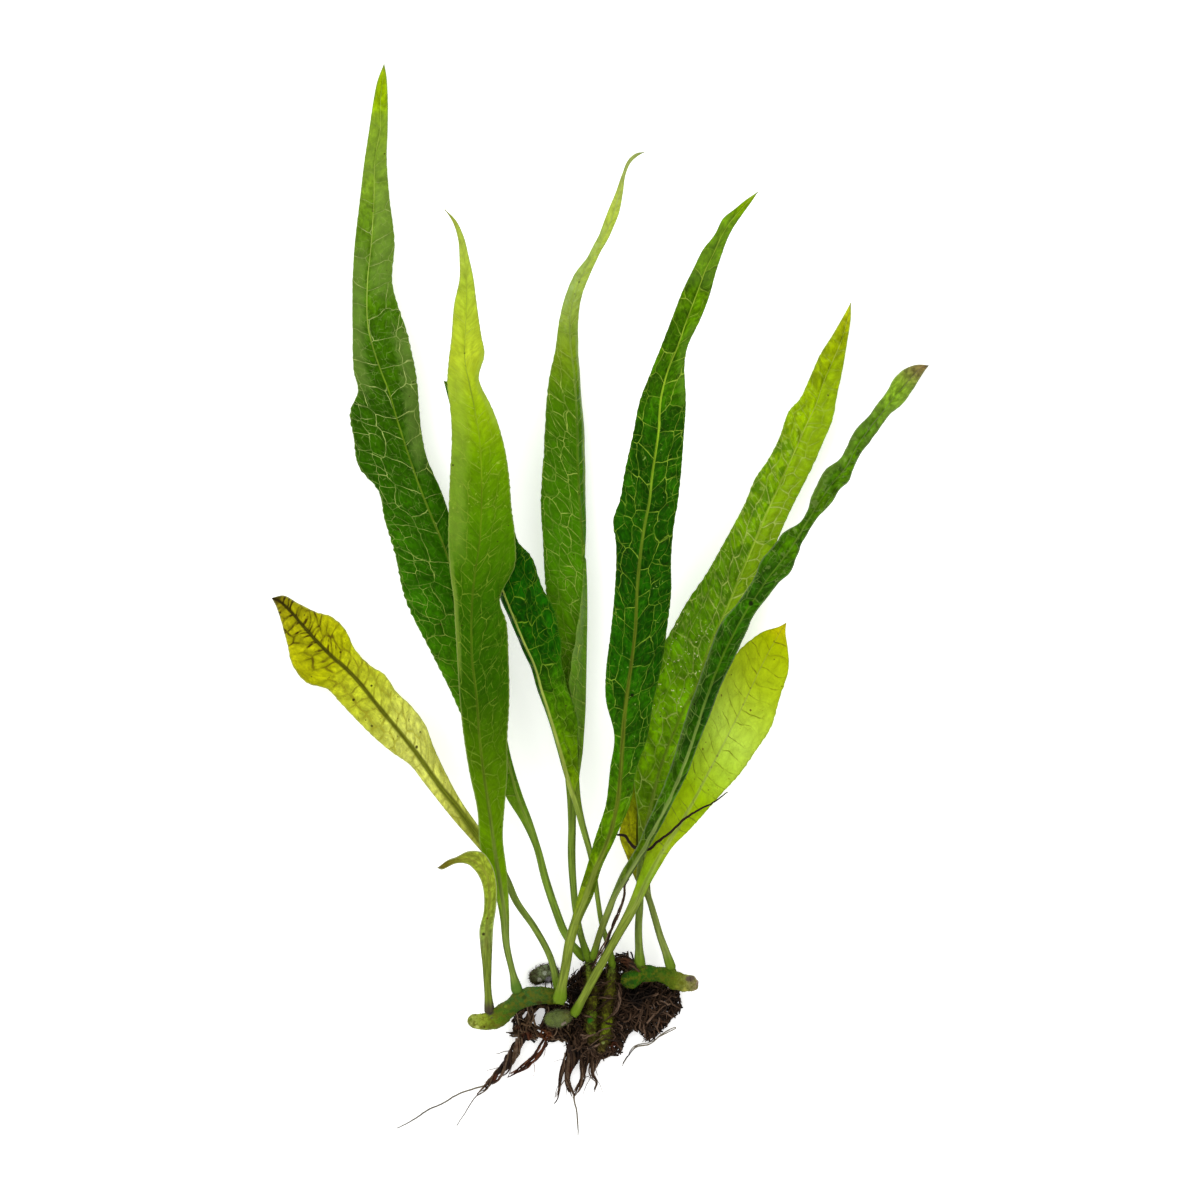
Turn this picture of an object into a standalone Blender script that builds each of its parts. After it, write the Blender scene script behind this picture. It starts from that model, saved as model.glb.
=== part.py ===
# Java fern, picked and laid flat.
#
# Creeping rhizomes at the foot carry eleven fronds, and dark roots hang below them.
# The plant lies on the plane z = 0 with the tips of its fronds towards +Y, and the origin is the
# middle of its outline on that plane. Plan points, heights and radii below are in millimetres.

import math

import bpy
import bmesh
from mathutils import Vector

MM = 0.001

MARGIN_THICKNESS = 0.5
BLADE_THICKNESS = 0.7
RIB_THICKNESS = 0.9
TIP_HALF_WIDTH = 0.22
BLADE_ARCH = 0.05

RHIZOME_SIDES = 10
ROOT_SIDES = 6
HAIR_RADIUS = 0.22

MAT_HEIGHT = 4.0
MAT_SHOULDER = 2.4

# A frond's blade is a list of stations from its tip to its stalk. Each station holds
# the left margin (x, y), the midrib (x, y), the right margin (x, y), the height of the midrib,
# and how far the left and the right margin lie above it. A stalk is a list of (x, y, z, radius).

FRONDS = {
    "frond_tall_left": {
        "colour": (0.07, 0.19, 0.01),
        "tip": (-51.8, 128.75, 0.3),
        "blade": [
            (-53.3, 124.9, -52.1, 124.9, -51.2, 125.5, 0.9, 0.1, 0.1),
            (-54.2, 120.6, -52.6, 120.6, -50.9, 120.6, 1.8, 0.2, 0.2),
            (-55.4, 112.4, -52.7, 112.9, -50.9, 112.9, 3.0, 0.3, 0.2),
            (-56.4, 105.7, -53.8, 106.4, -51.1, 106.7, 3.9, 0.3, 0.4),
            (-57.6, 95.4, -54.2, 95.4, -50.4, 96.1, 5.0, 0.4, 0.3),
            (-58.8, 84.8, -54.8, 85.3, -49.2, 85.8, 5.8, 0.2, -0.3),
            (-59.3, 75.7, -55.7, 75.5, -49.7, 75.7, 6.3, -0.8, 0.4),
            (-59.3, 64.9, -55.4, 64.9, -46.6, 65.4, 6.7, -1.5, 0.9),
            (-59.0, 54.8, -52.8, 55.8, -44.4, 56.3, 7.0, -1.2, 0.2),
            (-58.0, 49.8, -50.6, 50.0, -43.6, 50.5, 7.2, -0.4, -0.6),
            (-59.8, 45.2, -49.2, 45.2, -43.4, 46.9, 7.3, 0.9, -1.2),
            (-59.0, 39.0, -47.3, 39.0, -42.7, 40.4, 7.4, 1.2, -1.4),
            (-57.4, 31.3, -44.9, 31.8, -41.3, 33.7, 7.4, 0.8, -1.0),
            (-53.3, 26.5, -43.2, 27.0, -38.4, 27.0, 7.3, 0.0, -1.2),
            (-51.6, 19.3, -40.6, 20.5, -36.7, 22.4, 7.1, 0.3, -1.0),
            (-49.2, 11.4, -37.4, 12.8, -34.6, 15.7, 6.8, 0.6, -0.6),
            (-46.6, 0.1, -33.8, 2.0, -30.7, 4.9, 6.4, 0.4, 0.0),
            (-40.8, -11.9, -30.2, -9.5, -27.8, -7.1, 6.0, -0.3, 0.0),
            (-36.7, -20.0, -28.1, -17.9, -25.9, -16.2, 5.7, -0.5, 0.0),
            (-33.4, -27.2, -25.7, -25.8, -23.8, -24.4, 5.5, -0.3, 0.0),
            (-29.8, -34.7, -23.5, -34.0, -22.3, -33.0, 5.3, 0.0, 0.0),
            (-24.7, -41.9, -21.6, -40.2, -20.9, -39.2, 5.2, 0.0, 0.0),
            (-22.3, -47.6, -19.7, -47.2, -18.5, -46.9, 5.1, 0.1, 0.0),
            (-18.7, -53.4, -17.3, -53.2, -16.3, -52.7, 5.1, 0.0, 0.0),
        ],
        "stalk": [
            (-15.1, -59.2, 5.2, 0.85),
            (-13.0, -67.1, 5.2, 0.95),
            (-10.6, -74.3, 5.1, 0.95),
            (-8.4, -79.8, 5.1, 0.95),
            (-6.0, -83.4, 5.2, 0.9),
            (-4.5, -85.0, 5.4, 0.9),
        ],
    },
    "frond_bright_left": {
        "colour": (0.22, 0.42, 0.02),
        "tip": (-37.2, 93.5, 11.0),
        "blade": [
            (-35.3, 90.5, -35.0, 90.7, -34.6, 91.0, 11.6, 0.0, 0.0),
            (-33.9, 86.0, -33.4, 86.4, -32.6, 87.0, 12.4, 0.0, 0.0),
            (-33.6, 81.2, -32.5, 81.7, -31.4, 82.4, 13.2, 0.0, 0.0),
            (-33.6, 76.7, -31.9, 76.9, -30.2, 76.9, 13.9, 0.3, 0.2),
            (-34.8, 70.9, -31.9, 71.2, -29.5, 71.4, 14.7, 0.6, 0.4),
            (-35.5, 62.5, -32.2, 63.0, -28.3, 63.0, 15.6, 0.9, 0.2),
            (-36.2, 56.5, -32.2, 56.5, -27.6, 58.2, 16.0, 0.5, -0.6),
            (-36.5, 51.7, -31.2, 51.7, -28.9, 52.9, 16.2, -0.6, -1.4),
            (-35.8, 45.7, -30.0, 46.2, -25.9, 46.2, 16.6, -1.0, 0.2),
            (-35.4, 38.5, -28.8, 39.2, -23.5, 39.5, 17.0, -0.5, 0.8),
            (-35.8, 30.1, -28.3, 30.8, -21.8, 30.8, 17.3, 0.2, 1.0),
            (-36.1, 21.7, -28.3, 22.2, -21.1, 22.2, 17.4, 0.5, 0.6),
            (-36.2, 13.3, -28.8, 13.3, -20.2, 14.5, 17.4, 0.6, -0.4),
            (-35.8, 6.8, -29.8, 6.8, -20.4, 7.8, 17.2, 0.5, -1.4),
            (-35.0, 0.8, -30.5, 0.8, -23.8, 0.6, 17.0, 0.3, -2.2),
            (-34.6, -5.9, -30.7, -5.9, -22.3, -5.4, 16.8, 0.2, -0.8),
            (-34.1, -14.3, -30.5, -14.3, -21.8, -13.8, 16.4, 0.2, 0.0),
            (-33.6, -22.7, -29.5, -22.7, -21.6, -23.3, 16.0, 0.3, 0.5),
            (-32.6, -32.3, -28.8, -32.3, -22.1, -33.2, 15.4, 0.4, 0.4),
            (-31.2, -41.2, -27.8, -41.2, -22.1, -41.6, 14.8, 0.3, 0.0),
            (-29.3, -50.3, -26.4, -50.3, -22.8, -49.8, 14.0, 0.2, 0.2),
            (-28.7, -58.7, -25.4, -58.0, -23.2, -56.8, 13.0, 0.0, 0.1),
            (-25.9, -67.1, -24.0, -67.1, -22.1, -66.4, 11.8, 0.0, 0.0),
            (-24.0, -75.5, -22.8, -75.2, -21.7, -75.0, 10.6, 0.0, 0.0),
        ],
        "stalk": [
            (-22.4, -82.4, 9.4, 0.85),
            (-20.9, -89.2, 8.0, 0.8),
            (-20.0, -92.9, 7.3, 1.05),
        ],
    },
    "frond_curled_young": {
        "colour": (0.26, 0.36, 0.05),
        "tip": (-38.9, -64.0, 13.6),
        "blade": [
            (-37.7, -64.4, -37.0, -63.2, -36.7, -62.3, 14.4, 0.0, 0.0),
            (-34.6, -63.0, -34.3, -62.3, -34.3, -61.3, 15.4, -0.3, 0.1),
            (-31.9, -63.0, -31.4, -61.8, -31.2, -59.9, 16.4, -0.6, -0.2),
            (-30.0, -64.4, -28.8, -63.2, -27.8, -60.4, 17.0, -0.6, -0.6),
            (-28.6, -66.6, -27.1, -65.6, -25.7, -63.5, 16.9, -0.4, -0.4),
            (-27.8, -69.7, -26.4, -69.0, -24.7, -67.6, 16.2, -0.3, 0.0),
            (-27.8, -74.3, -26.4, -73.3, -24.7, -72.6, 15.2, -0.3, 0.3),
            (-28.8, -78.6, -27.1, -77.9, -25.4, -77.6, 14.1, 0.2, 0.2),
            (-28.6, -82.9, -27.1, -82.7, -25.7, -82.7, 12.8, 0.1, 0.1),
        ],
        "stalk": [
            (-27.0, -87.5, 11.0, 1.1),
            (-26.9, -92.3, 9.0, 0.9),
            (-26.5, -97.9, 7.1, 0.95),
        ],
    },
    "frond_dark_centre": {
        "colour": (0.03, 0.12, 0.005),
        "tip": (37.9, 97.8, 8.0),
        "blade": [
            (34.8, 95.7, 35.4, 95.3, 36.0, 94.9, 8.8, 0.0, 0.0),
            (32.4, 93.7, 33.4, 93.0, 34.1, 92.3, 9.8, 0.2, 0.1),
            (29.3, 91.1, 30.7, 89.8, 31.9, 89.0, 10.8, 0.3, 0.1),
            (27.4, 87.4, 28.8, 86.5, 30.4, 86.1, 11.8, 0.3, 0.2),
            (24.5, 83.6, 27.1, 82.7, 29.0, 82.2, 12.8, 0.4, 0.2),
            (22.6, 79.8, 25.4, 79.3, 27.8, 78.6, 13.7, 0.5, 0.3),
            (19.7, 73.8, 23.3, 73.6, 26.2, 72.8, 15.0, 0.6, 0.4),
            (17.0, 66.8, 20.6, 66.4, 23.8, 66.6, 16.2, 0.6, 0.5),
            (14.4, 60.1, 18.5, 60.4, 20.9, 60.4, 17.2, 0.5, -0.2),
            (12.2, 54.6, 16.3, 55.1, 20.2, 55.6, 17.9, 0.5, -0.6),
            (9.6, 47.9, 14.6, 48.4, 20.5, 47.6, 18.5, 0.4, -0.3),
            (7.9, 39.7, 13.9, 39.7, 20.0, 39.2, 19.0, 0.2, 0.4),
            (5.8, 30.1, 12.5, 29.9, 19.2, 28.9, 19.3, -0.3, 0.8),
            (4.8, 24.1, 11.8, 23.4, 18.5, 22.9, 19.4, -0.9, 0.6),
            (3.2, 19.3, 10.8, 18.4, 17.5, 16.9, 19.4, -1.6, 0.2),
            (3.8, 13.3, 9.8, 12.1, 17.0, 9.7, 19.3, -1.2, -0.3),
            (3.6, 3.7, 8.9, 2.5, 17.0, 2.0, 19.0, -0.3, 0.4),
            (2.6, -7.1, 8.4, -7.6, 16.1, -5.9, 18.6, 0.4, 0.9),
            (1.4, -17.2, 7.2, -17.2, 14.6, -16.2, 18.0, 0.6, 0.6),
            (1.4, -23.9, 6.2, -24.4, 12.7, -24.4, 17.6, 0.4, 0.2),
            (3.4, -32.3, 5.5, -32.3, 11.3, -32.8, 17.0, -0.2, 0.3),
            (2.4, -40.2, 5.0, -40.7, 8.6, -40.7, 16.3, 0.3, 0.5),
            (1.4, -48.6, 4.1, -48.6, 7.4, -47.9, 15.6, 0.4, 0.3),
            (-1.4, -57.5, 1.7, -58.0, 3.4, -57.5, 14.6, 0.2, 0.1),
            (-3.1, -63.5, -1.0, -64.2, 0.3, -64.2, 13.8, 0.0, 0.0),
            (-4.8, -69.0, -2.9, -69.5, -1.4, -70.0, 13.0, 0.0, 0.0),
            (-6.8, -76.2, -5.6, -76.4, -4.4, -76.7, 12.0, 0.0, 0.0),
        ],
        "stalk": [
            (-7.2, -81.7, 11.3, 1.2),
            (-8.2, -87.5, 10.7, 1.15),
            (-9.1, -92.3, 10.4, 1.15),
            (-9.6, -95.0, 10.3, 1.3),
        ],
    },
    "frond_yellow_left": {
        "colour": (0.48, 0.46, 0.03),
        "tip": (-78.8, 0.5, 0.3),
        "blade": [
            (-77.8, -1.3, -76.8, -0.4, -76.1, 1.1, 0.9, 0.0, 0.0),
            (-76.6, -4.7, -74.4, -2.5, -72.7, -0.6, 1.8, 0.1, 0.2),
            (-75.1, -10.2, -71.0, -6.4, -68.2, -2.8, 3.2, 0.4, 0.5),
            (-73.7, -15.5, -67.7, -10.0, -64.3, -4.0, 4.4, 0.9, 0.8),
            (-70.3, -19.8, -64.1, -13.6, -61.0, -7.1, 5.4, 0.6, 0.2),
            (-65.3, -21.4, -60.5, -16.7, -58.6, -11.9, 6.0, -0.6, -0.7),
            (-62.4, -24.4, -57.6, -19.8, -55.2, -15.5, 6.4, 0.3, -0.2),
            (-58.8, -28.2, -54.7, -23.4, -51.6, -17.8, 6.7, 0.6, 0.6),
            (-54.2, -32.8, -51.4, -27.5, -48.7, -22.0, 6.9, 0.3, -0.2),
            (-49.9, -36.4, -48.0, -31.6, -45.4, -25.1, 7.0, 0.5, 0.6),
            (-45.4, -39.6, -44.4, -36.1, -41.8, -29.9, 7.0, 0.0, 0.2),
            (-42.5, -43.3, -41.3, -40.4, -39.8, -35.2, 6.9, 0.3, 0.3),
            (-38.9, -47.9, -38.2, -44.8, -37.0, -41.2, 6.8, 0.2, 0.2),
            (-34.8, -53.0, -33.8, -50.3, -33.2, -48.2, 6.7, 0.1, 0.1),
            (-31.0, -57.3, -30.2, -55.3, -29.3, -53.8, 6.6, 0.0, 0.0),
            (-26.9, -62.1, -26.2, -60.8, -25.2, -59.7, 6.5, 0.0, 0.0),
        ],
        "stalk": [
            (-22.3, -67.1, 6.4, 0.9),
            (-20.2, -71.9, 6.3, 0.85),
            (-15.6, -78.6, 6.3, 0.8),
            (-11.9, -85.6, 6.4, 0.8),
            (-10.2, -92.3, 6.7, 0.85),
        ],
    },
    "frond_twisted_tip": {
        "colour": (0.11, 0.28, 0.02),
        "tip": (10.8, 107.4, 4.2),
        "blade": [
            (8.7, 107.1, 8.9, 106.8, 9.1, 106.4, 4.4, 0.0, 0.0),
            (6.7, 105.4, 7.0, 105.1, 7.4, 104.8, 4.8, 0.0, 0.0),
            (5.3, 102.1, 5.8, 102.1, 6.2, 102.1, 5.2, 0.0, 0.0),
            (3.8, 97.8, 4.7, 97.6, 5.5, 97.5, 5.6, -0.1, -0.1),
            (1.9, 93.2, 3.4, 93.0, 4.6, 92.8, 6.0, -0.2, -0.3),
            (-0.5, 87.0, 0.8, 86.8, 1.9, 86.5, 6.2, 0.3, -0.5),
            (-2.9, 82.4, -1.7, 82.2, -0.5, 82.0, 6.3, 0.4, -0.4),
            (-6.2, 77.9, -4.3, 77.6, -2.6, 77.4, 6.2, -0.3, -0.3),
            (-8.4, 72.6, -6.2, 72.6, -4.4, 72.6, 6.1, -0.8, -0.6),
            (-9.8, 66.8, -7.2, 66.8, -5.2, 66.8, 6.0, -0.6, -1.2),
            (-10.7, 60.1, -7.0, 60.1, -5.2, 60.1, 6.0, 0.2, -1.8),
            (-12.0, 54.1, -6.2, 53.9, -4.9, 53.9, 6.0, 0.5, -2.0),
            (-12.8, 48.1, -5.8, 47.4, -4.4, 47.4, 6.1, 0.6, -2.2),
            (-13.2, 40.9, -5.5, 40.4, -3.8, 40.4, 6.2, 0.6, -2.3),
            (-13.6, 33.7, -5.4, 33.2, -3.6, 33.2, 6.3, 0.5, -2.2),
            (-14.2, 24.1, -5.0, 24.6, -3.5, 24.6, 6.4, 0.3, -1.9),
            (-13.7, 14.5, -4.3, 15.0, -3.4, 14.8, 6.3, -0.2, -1.0),
            (-13.2, 4.9, -3.7, 5.6, -4.1, 4.4, 6.2, -0.6, 1.4),
            (-12.2, -3.5, -3.6, -2.8, -5.0, -3.9, 6.0, -0.8, 2.5),
            (-11.3, -11.9, -3.8, -11.9, -6.5, -12.8, 5.8, -0.8, 3.2),
            (-10.3, -19.1, -4.0, -19.8, -7.4, -20.6, 5.6, -0.6, 3.2),
            (-9.4, -26.3, -4.2, -26.8, -6.2, -27.8, 5.4, -0.4, 2.4),
            (-8.6, -33.5, -4.7, -34.0, -5.2, -34.8, 5.3, -0.2, 1.2),
            (-8.4, -41.9, -5.8, -42.1, -5.0, -42.3, 5.2, 0.0, 0.5),
            (-7.9, -47.9, -6.7, -48.3, -5.6, -48.5, 5.2, 0.0, 0.1),
        ],
        "stalk": [
            (-6.7, -54.6, 5.3, 0.95),
            (-6.8, -61.1, 5.4, 0.95),
            (-6.4, -68.3, 5.6, 0.85),
            (-5.8, -74.3, 5.9, 0.8),
            (-4.6, -80.3, 6.5, 0.8),
            (-3.1, -85.0, 7.2, 0.8),
        ],
    },
    "frond_folded_dark": {
        "colour": (0.02, 0.10, 0.004),
        "tip": (-37.4, 52.4, 10.6),
        "blade": [
            (-36.7, 49.8, -36.2, 50.5, -35.5, 52.0, 10.8, -0.8, 0.2),
            (-35.3, 44.8, -34.6, 45.2, -33.1, 47.0, 11.0, -1.6, 0.4),
            (-33.4, 37.1, -32.6, 37.6, -29.8, 39.5, 11.2, -2.4, 0.5),
            (-31.2, 28.7, -30.5, 29.2, -25.9, 31.1, 11.4, -3.0, 0.5),
            (-28.8, 19.8, -28.1, 20.3, -22.1, 22.2, 11.6, -3.2, 0.3),
            (-26.9, 11.4, -25.9, 11.9, -19.4, 13.8, 11.7, -3.3, 0.0),
            (-25.0, 4.3, -24.0, 4.6, -15.9, 9.5, 11.8, -3.3, -0.6),
            (-23.6, 0.0, -22.4, 0.2, -14.2, 4.0, 11.8, -3.2, -0.5),
            (-21.4, -4.9, -20.2, -5.2, -11.3, -1.6, 11.7, -3.0, 0.3),
            (-19.0, -10.7, -17.8, -10.9, -9.5, -8.6, 11.5, -2.8, 0.4),
            (-16.8, -15.4, -15.6, -15.7, -9.1, -15.0, 11.4, -2.5, 0.3),
            (-14.9, -21.5, -13.9, -21.5, -7.7, -21.2, 11.2, -2.2, 0.2),
            (-12.5, -28.0, -11.8, -28.2, -5.5, -27.7, 11.0, -1.8, -0.2),
            (-10.3, -35.4, -9.6, -35.6, -5.3, -34.9, 10.5, -1.4, -0.3),
            (-8.4, -42.6, -7.7, -42.6, -5.0, -41.8, 9.8, -1.0, 0.0),
            (-6.3, -49.3, -5.5, -49.3, -4.4, -48.8, 8.9, -0.5, 0.0),
        ],
        "stalk": [
            (-4.0, -54.6, 7.9, 0.8),
            (-2.4, -60.4, 6.9, 0.7),
            (-1.3, -65.9, 6.1, 0.62),
            (-0.5, -71.9, 5.6, 0.6),
            (0.5, -77.9, 5.3, 0.65),
            (2.2, -83.4, 5.5, 0.7),
            (2.8, -86.5, 5.8, 0.75),
        ],
    },
    "frond_bright_right": {
        "colour": (0.20, 0.42, 0.02),
        "tip": (60.2, 71.4, 0.3),
        "blade": [
            (58.6, 68.5, 59.5, 68.1, 60.2, 67.9, 0.8, 0.1, 0.1),
            (55.7, 63.5, 58.1, 62.8, 59.3, 61.8, 1.6, 0.2, 0.1),
            (52.8, 58.9, 55.9, 57.5, 58.3, 55.8, 2.4, 0.3, 0.2),
            (50.4, 53.6, 53.5, 52.0, 56.9, 49.3, 3.2, 0.5, 0.3),
            (48.0, 48.4, 51.6, 46.4, 55.7, 43.1, 3.9, 0.2, 0.4),
            (45.1, 45.0, 49.2, 41.4, 53.5, 37.8, 4.5, -0.5, 0.2),
            (43.0, 39.0, 47.0, 36.4, 51.1, 32.3, 5.1, 0.1, 0.3),
            (40.3, 33.7, 44.6, 31.1, 48.7, 27.5, 5.6, 0.5, 0.4),
            (37.2, 29.2, 42.2, 25.8, 46.3, 22.8, 6.0, 0.3, 0.3),
            (34.8, 23.4, 39.6, 20.0, 43.9, 17.6, 6.4, -0.2, -0.1),
            (31.4, 16.9, 36.7, 13.1, 41.3, 11.4, 6.7, 0.2, 0.1),
            (28.3, 11.3, 33.8, 6.4, 38.7, 5.2, 7.0, 0.6, 0.2),
            (25.0, 5.6, 31.0, -0.6, 35.8, -0.9, 7.2, 0.3, 0.2),
            (20.9, -0.3, 28.3, -6.4, 33.1, -7.6, 7.4, -0.3, 0.1),
            (17.2, -7.0, 25.7, -12.4, 30.0, -14.3, 7.5, 0.3, 0.1),
            (13.6, -13.8, 23.5, -19.8, 26.9, -21.5, 7.6, 0.2, 0.0),
            (11.0, -20.8, 20.6, -25.1, 24.0, -27.4, 7.6, 0.0, 0.0),
            (9.6, -27.9, 18.0, -31.0, 21.1, -33.9, 7.6, 0.2, 0.0),
            (9.1, -35.9, 15.6, -37.0, 18.5, -40.0, 7.5, 0.2, 0.0),
            (9.6, -44.3, 13.4, -44.2, 15.6, -46.7, 7.4, 0.1, 0.0),
            (9.6, -51.3, 11.8, -51.4, 13.0, -53.0, 7.3, 0.0, 0.0),
            (9.1, -59.4, 10.3, -59.4, 11.5, -59.9, 7.2, 0.0, 0.0),
        ],
        "stalk": [
            (9.7, -65.9, 7.1, 0.95),
            (9.5, -73.1, 7.0, 0.9),
            (9.2, -79.1, 6.9, 0.9),
            (9.4, -84.4, 6.9, 1.0),
            (9.5, -86.8, 6.9, 1.1),
        ],
    },
    "frond_narrow_right": {
        "colour": (0.05, 0.15, 0.02),
        "tip": (78.95, 56.3, 0.3),
        "blade": [
            (76.6, 56.5, 77.3, 55.8, 78.0, 55.1, 0.8, 0.1, -0.1),
            (73.4, 55.6, 75.1, 53.9, 76.6, 52.9, 1.7, 0.4, -0.2),
            (70.6, 53.2, 72.7, 51.0, 74.6, 49.8, 2.8, 0.8, -0.2),
            (68.6, 49.8, 70.3, 48.4, 72.7, 47.2, 4.0, 0.5, 0.5),
            (66.2, 46.7, 67.9, 45.2, 69.1, 44.0, 5.2, -0.3, 0.4),
            (64.3, 44.0, 65.5, 42.4, 66.7, 40.7, 6.3, -0.5, -0.4),
            (61.2, 40.9, 63.1, 39.2, 64.6, 37.8, 7.4, 0.4, -0.3),
            (59.0, 36.6, 61.0, 35.9, 62.4, 35.0, 8.5, 0.3, 0.4),
            (57.1, 33.5, 59.0, 32.0, 60.5, 31.0, 9.6, -0.3, -0.4),
            (54.0, 31.3, 56.9, 29.4, 59.5, 28.4, 10.7, 0.8, 0.6),
            (51.8, 27.5, 54.5, 26.4, 56.9, 25.9, 11.8, 0.6, 0.7),
            (50.4, 24.4, 52.6, 23.6, 55.3, 23.0, 12.7, 0.2, 0.9),
            (49.4, 21.0, 50.6, 20.5, 52.4, 20.2, 13.5, -0.2, 0.2),
            (47.8, 18.6, 49.0, 17.9, 50.2, 17.0, 14.2, -0.3, -0.4),
            (43.9, 16.2, 46.8, 14.3, 48.2, 13.3, 15.1, 0.7, -0.4),
            (41.4, 12.9, 44.4, 10.7, 46.8, 9.9, 15.9, 0.8, 0.3),
            (38.4, 9.4, 41.8, 7.4, 45.4, 6.6, 16.6, 0.9, 0.9),
            (37.0, 5.8, 39.4, 4.2, 42.4, 3.8, 17.2, 0.3, 0.5),
            (35.0, 2.5, 37.2, 0.8, 40.1, 0.8, 17.7, 0.2, 0.5),
            (32.9, -0.6, 35.0, -2.5, 37.2, -2.9, 18.0, 0.3, 0.3),
            (28.8, -5.6, 31.9, -8.0, 34.6, -8.4, 18.3, 0.6, 0.2),
            (26.2, -11.9, 29.0, -14.0, 31.9, -14.2, 18.3, 0.4, 0.2),
            (23.8, -18.6, 26.6, -20.0, 29.0, -20.2, 18.1, 0.3, 0.2),
            (20.9, -26.6, 24.0, -27.7, 26.2, -27.6, 17.7, 0.3, 0.1),
            (18.7, -33.8, 21.6, -35.2, 23.3, -34.8, 17.2, 0.3, 0.1),
            (16.8, -40.0, 19.2, -41.6, 20.9, -41.4, 16.6, 0.2, 0.0),
            (14.4, -46.2, 16.6, -47.6, 17.8, -47.6, 15.9, 0.2, 0.0),
            (11.3, -53.0, 13.2, -54.4, 14.6, -54.0, 15.0, 0.1, 0.0),
            (8.9, -58.7, 10.3, -59.8, 11.4, -59.5, 14.0, 0.0, 0.0),
            (5.0, -65.2, 6.5, -66.0, 7.6, -65.6, 12.9, 0.0, 0.0),
            (2.4, -71.2, 3.4, -71.4, 4.2, -70.9, 11.8, 0.0, 0.0),
        ],
        "stalk": [
            (1.4, -76.0, 10.8, 0.85),
            (-0.4, -81.0, 9.6, 0.8),
            (-1.4, -84.7, 8.5, 0.75),
        ],
    },
    "frond_broad_pale": {
        "colour": (0.32, 0.42, 0.03),
        "tip": (44.6, -5.4, 9.0),
        "blade": [
            (42.7, -6.4, 43.4, -7.1, 44.4, -7.6, 9.3, 0.0, 0.0),
            (39.6, -7.3, 42.0, -9.5, 44.9, -11.4, 9.9, 0.2, 0.2),
            (36.2, -9.4, 39.6, -13.8, 45.1, -16.7, 10.6, 0.4, 0.3),
            (33.1, -12.2, 37.0, -19.1, 43.0, -23.2, 11.2, 0.6, -0.3),
            (29.3, -17.2, 34.1, -25.3, 41.0, -30.2, 11.7, 0.7, 0.5),
            (26.4, -22.8, 31.2, -31.1, 37.2, -36.1, 12.0, 0.6, 0.2),
            (23.5, -29.2, 28.1, -37.1, 33.4, -41.6, 12.0, 0.5, 0.3),
            (20.9, -35.8, 25.2, -42.6, 29.0, -46.4, 11.8, 0.4, 0.1),
            (18.2, -42.4, 22.6, -47.6, 25.0, -51.0, 11.5, 0.3, -0.3),
            (15.4, -48.8, 19.4, -53.2, 21.4, -55.0, 11.1, 0.2, -0.6),
            (12.9, -54.8, 15.8, -58.6, 17.2, -59.3, 10.8, 0.1, -0.5),
            (10.9, -61.1, 13.2, -63.2, 14.6, -63.4, 10.6, 0.0, -0.2),
            (8.9, -67.1, 10.8, -68.0, 12.0, -67.9, 10.5, 0.0, 0.0),
            (6.7, -72.8, 8.4, -73.3, 9.6, -73.0, 10.4, 0.0, 0.0),
        ],
        "stalk": [
            (4.8, -79.1, 10.2, 1.1),
            (1.8, -84.4, 9.9, 1.05),
            (-2.6, -92.5, 9.2, 1.0),
            (-5.7, -98.2, 7.8, 0.95),
        ],
    },
    "frond_old_yellow": {
        "colour": (0.42, 0.38, 0.02),
        "tip": (9.1, -41.6, 2.0),
        "blade": [
            (8.2, -43.6, 9.1, -43.8, 10.1, -43.6, 2.3, 0.0, 0.0),
            (7.0, -48.8, 9.0, -48.6, 11.0, -47.9, 2.9, 0.2, 0.1),
            (5.0, -54.1, 8.9, -53.6, 12.2, -52.7, 3.3, 0.3, 0.2),
            (4.7, -57.0, 8.9, -58.0, 12.7, -57.5, 3.5, 0.2, 0.3),
            (6.5, -61.9, 9.2, -62.8, 12.5, -62.3, 3.7, 0.1, 0.1),
            (8.4, -66.9, 10.1, -67.3, 12.0, -66.4, 3.9, 0.0, 0.0),
        ],
        "stalk": [
            (11.6, -71.2, 4.1, 0.75),
            (13.0, -75.7, 4.4, 0.8),
            (14.4, -80.5, 4.9, 0.85),
            (15.8, -84.4, 5.7, 0.95),
            (16.8, -87.4, 6.5, 0.95),
        ],
    },
}

# Rhizomes and roots are round pieces along a list of (x, y, z, radius).

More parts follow.
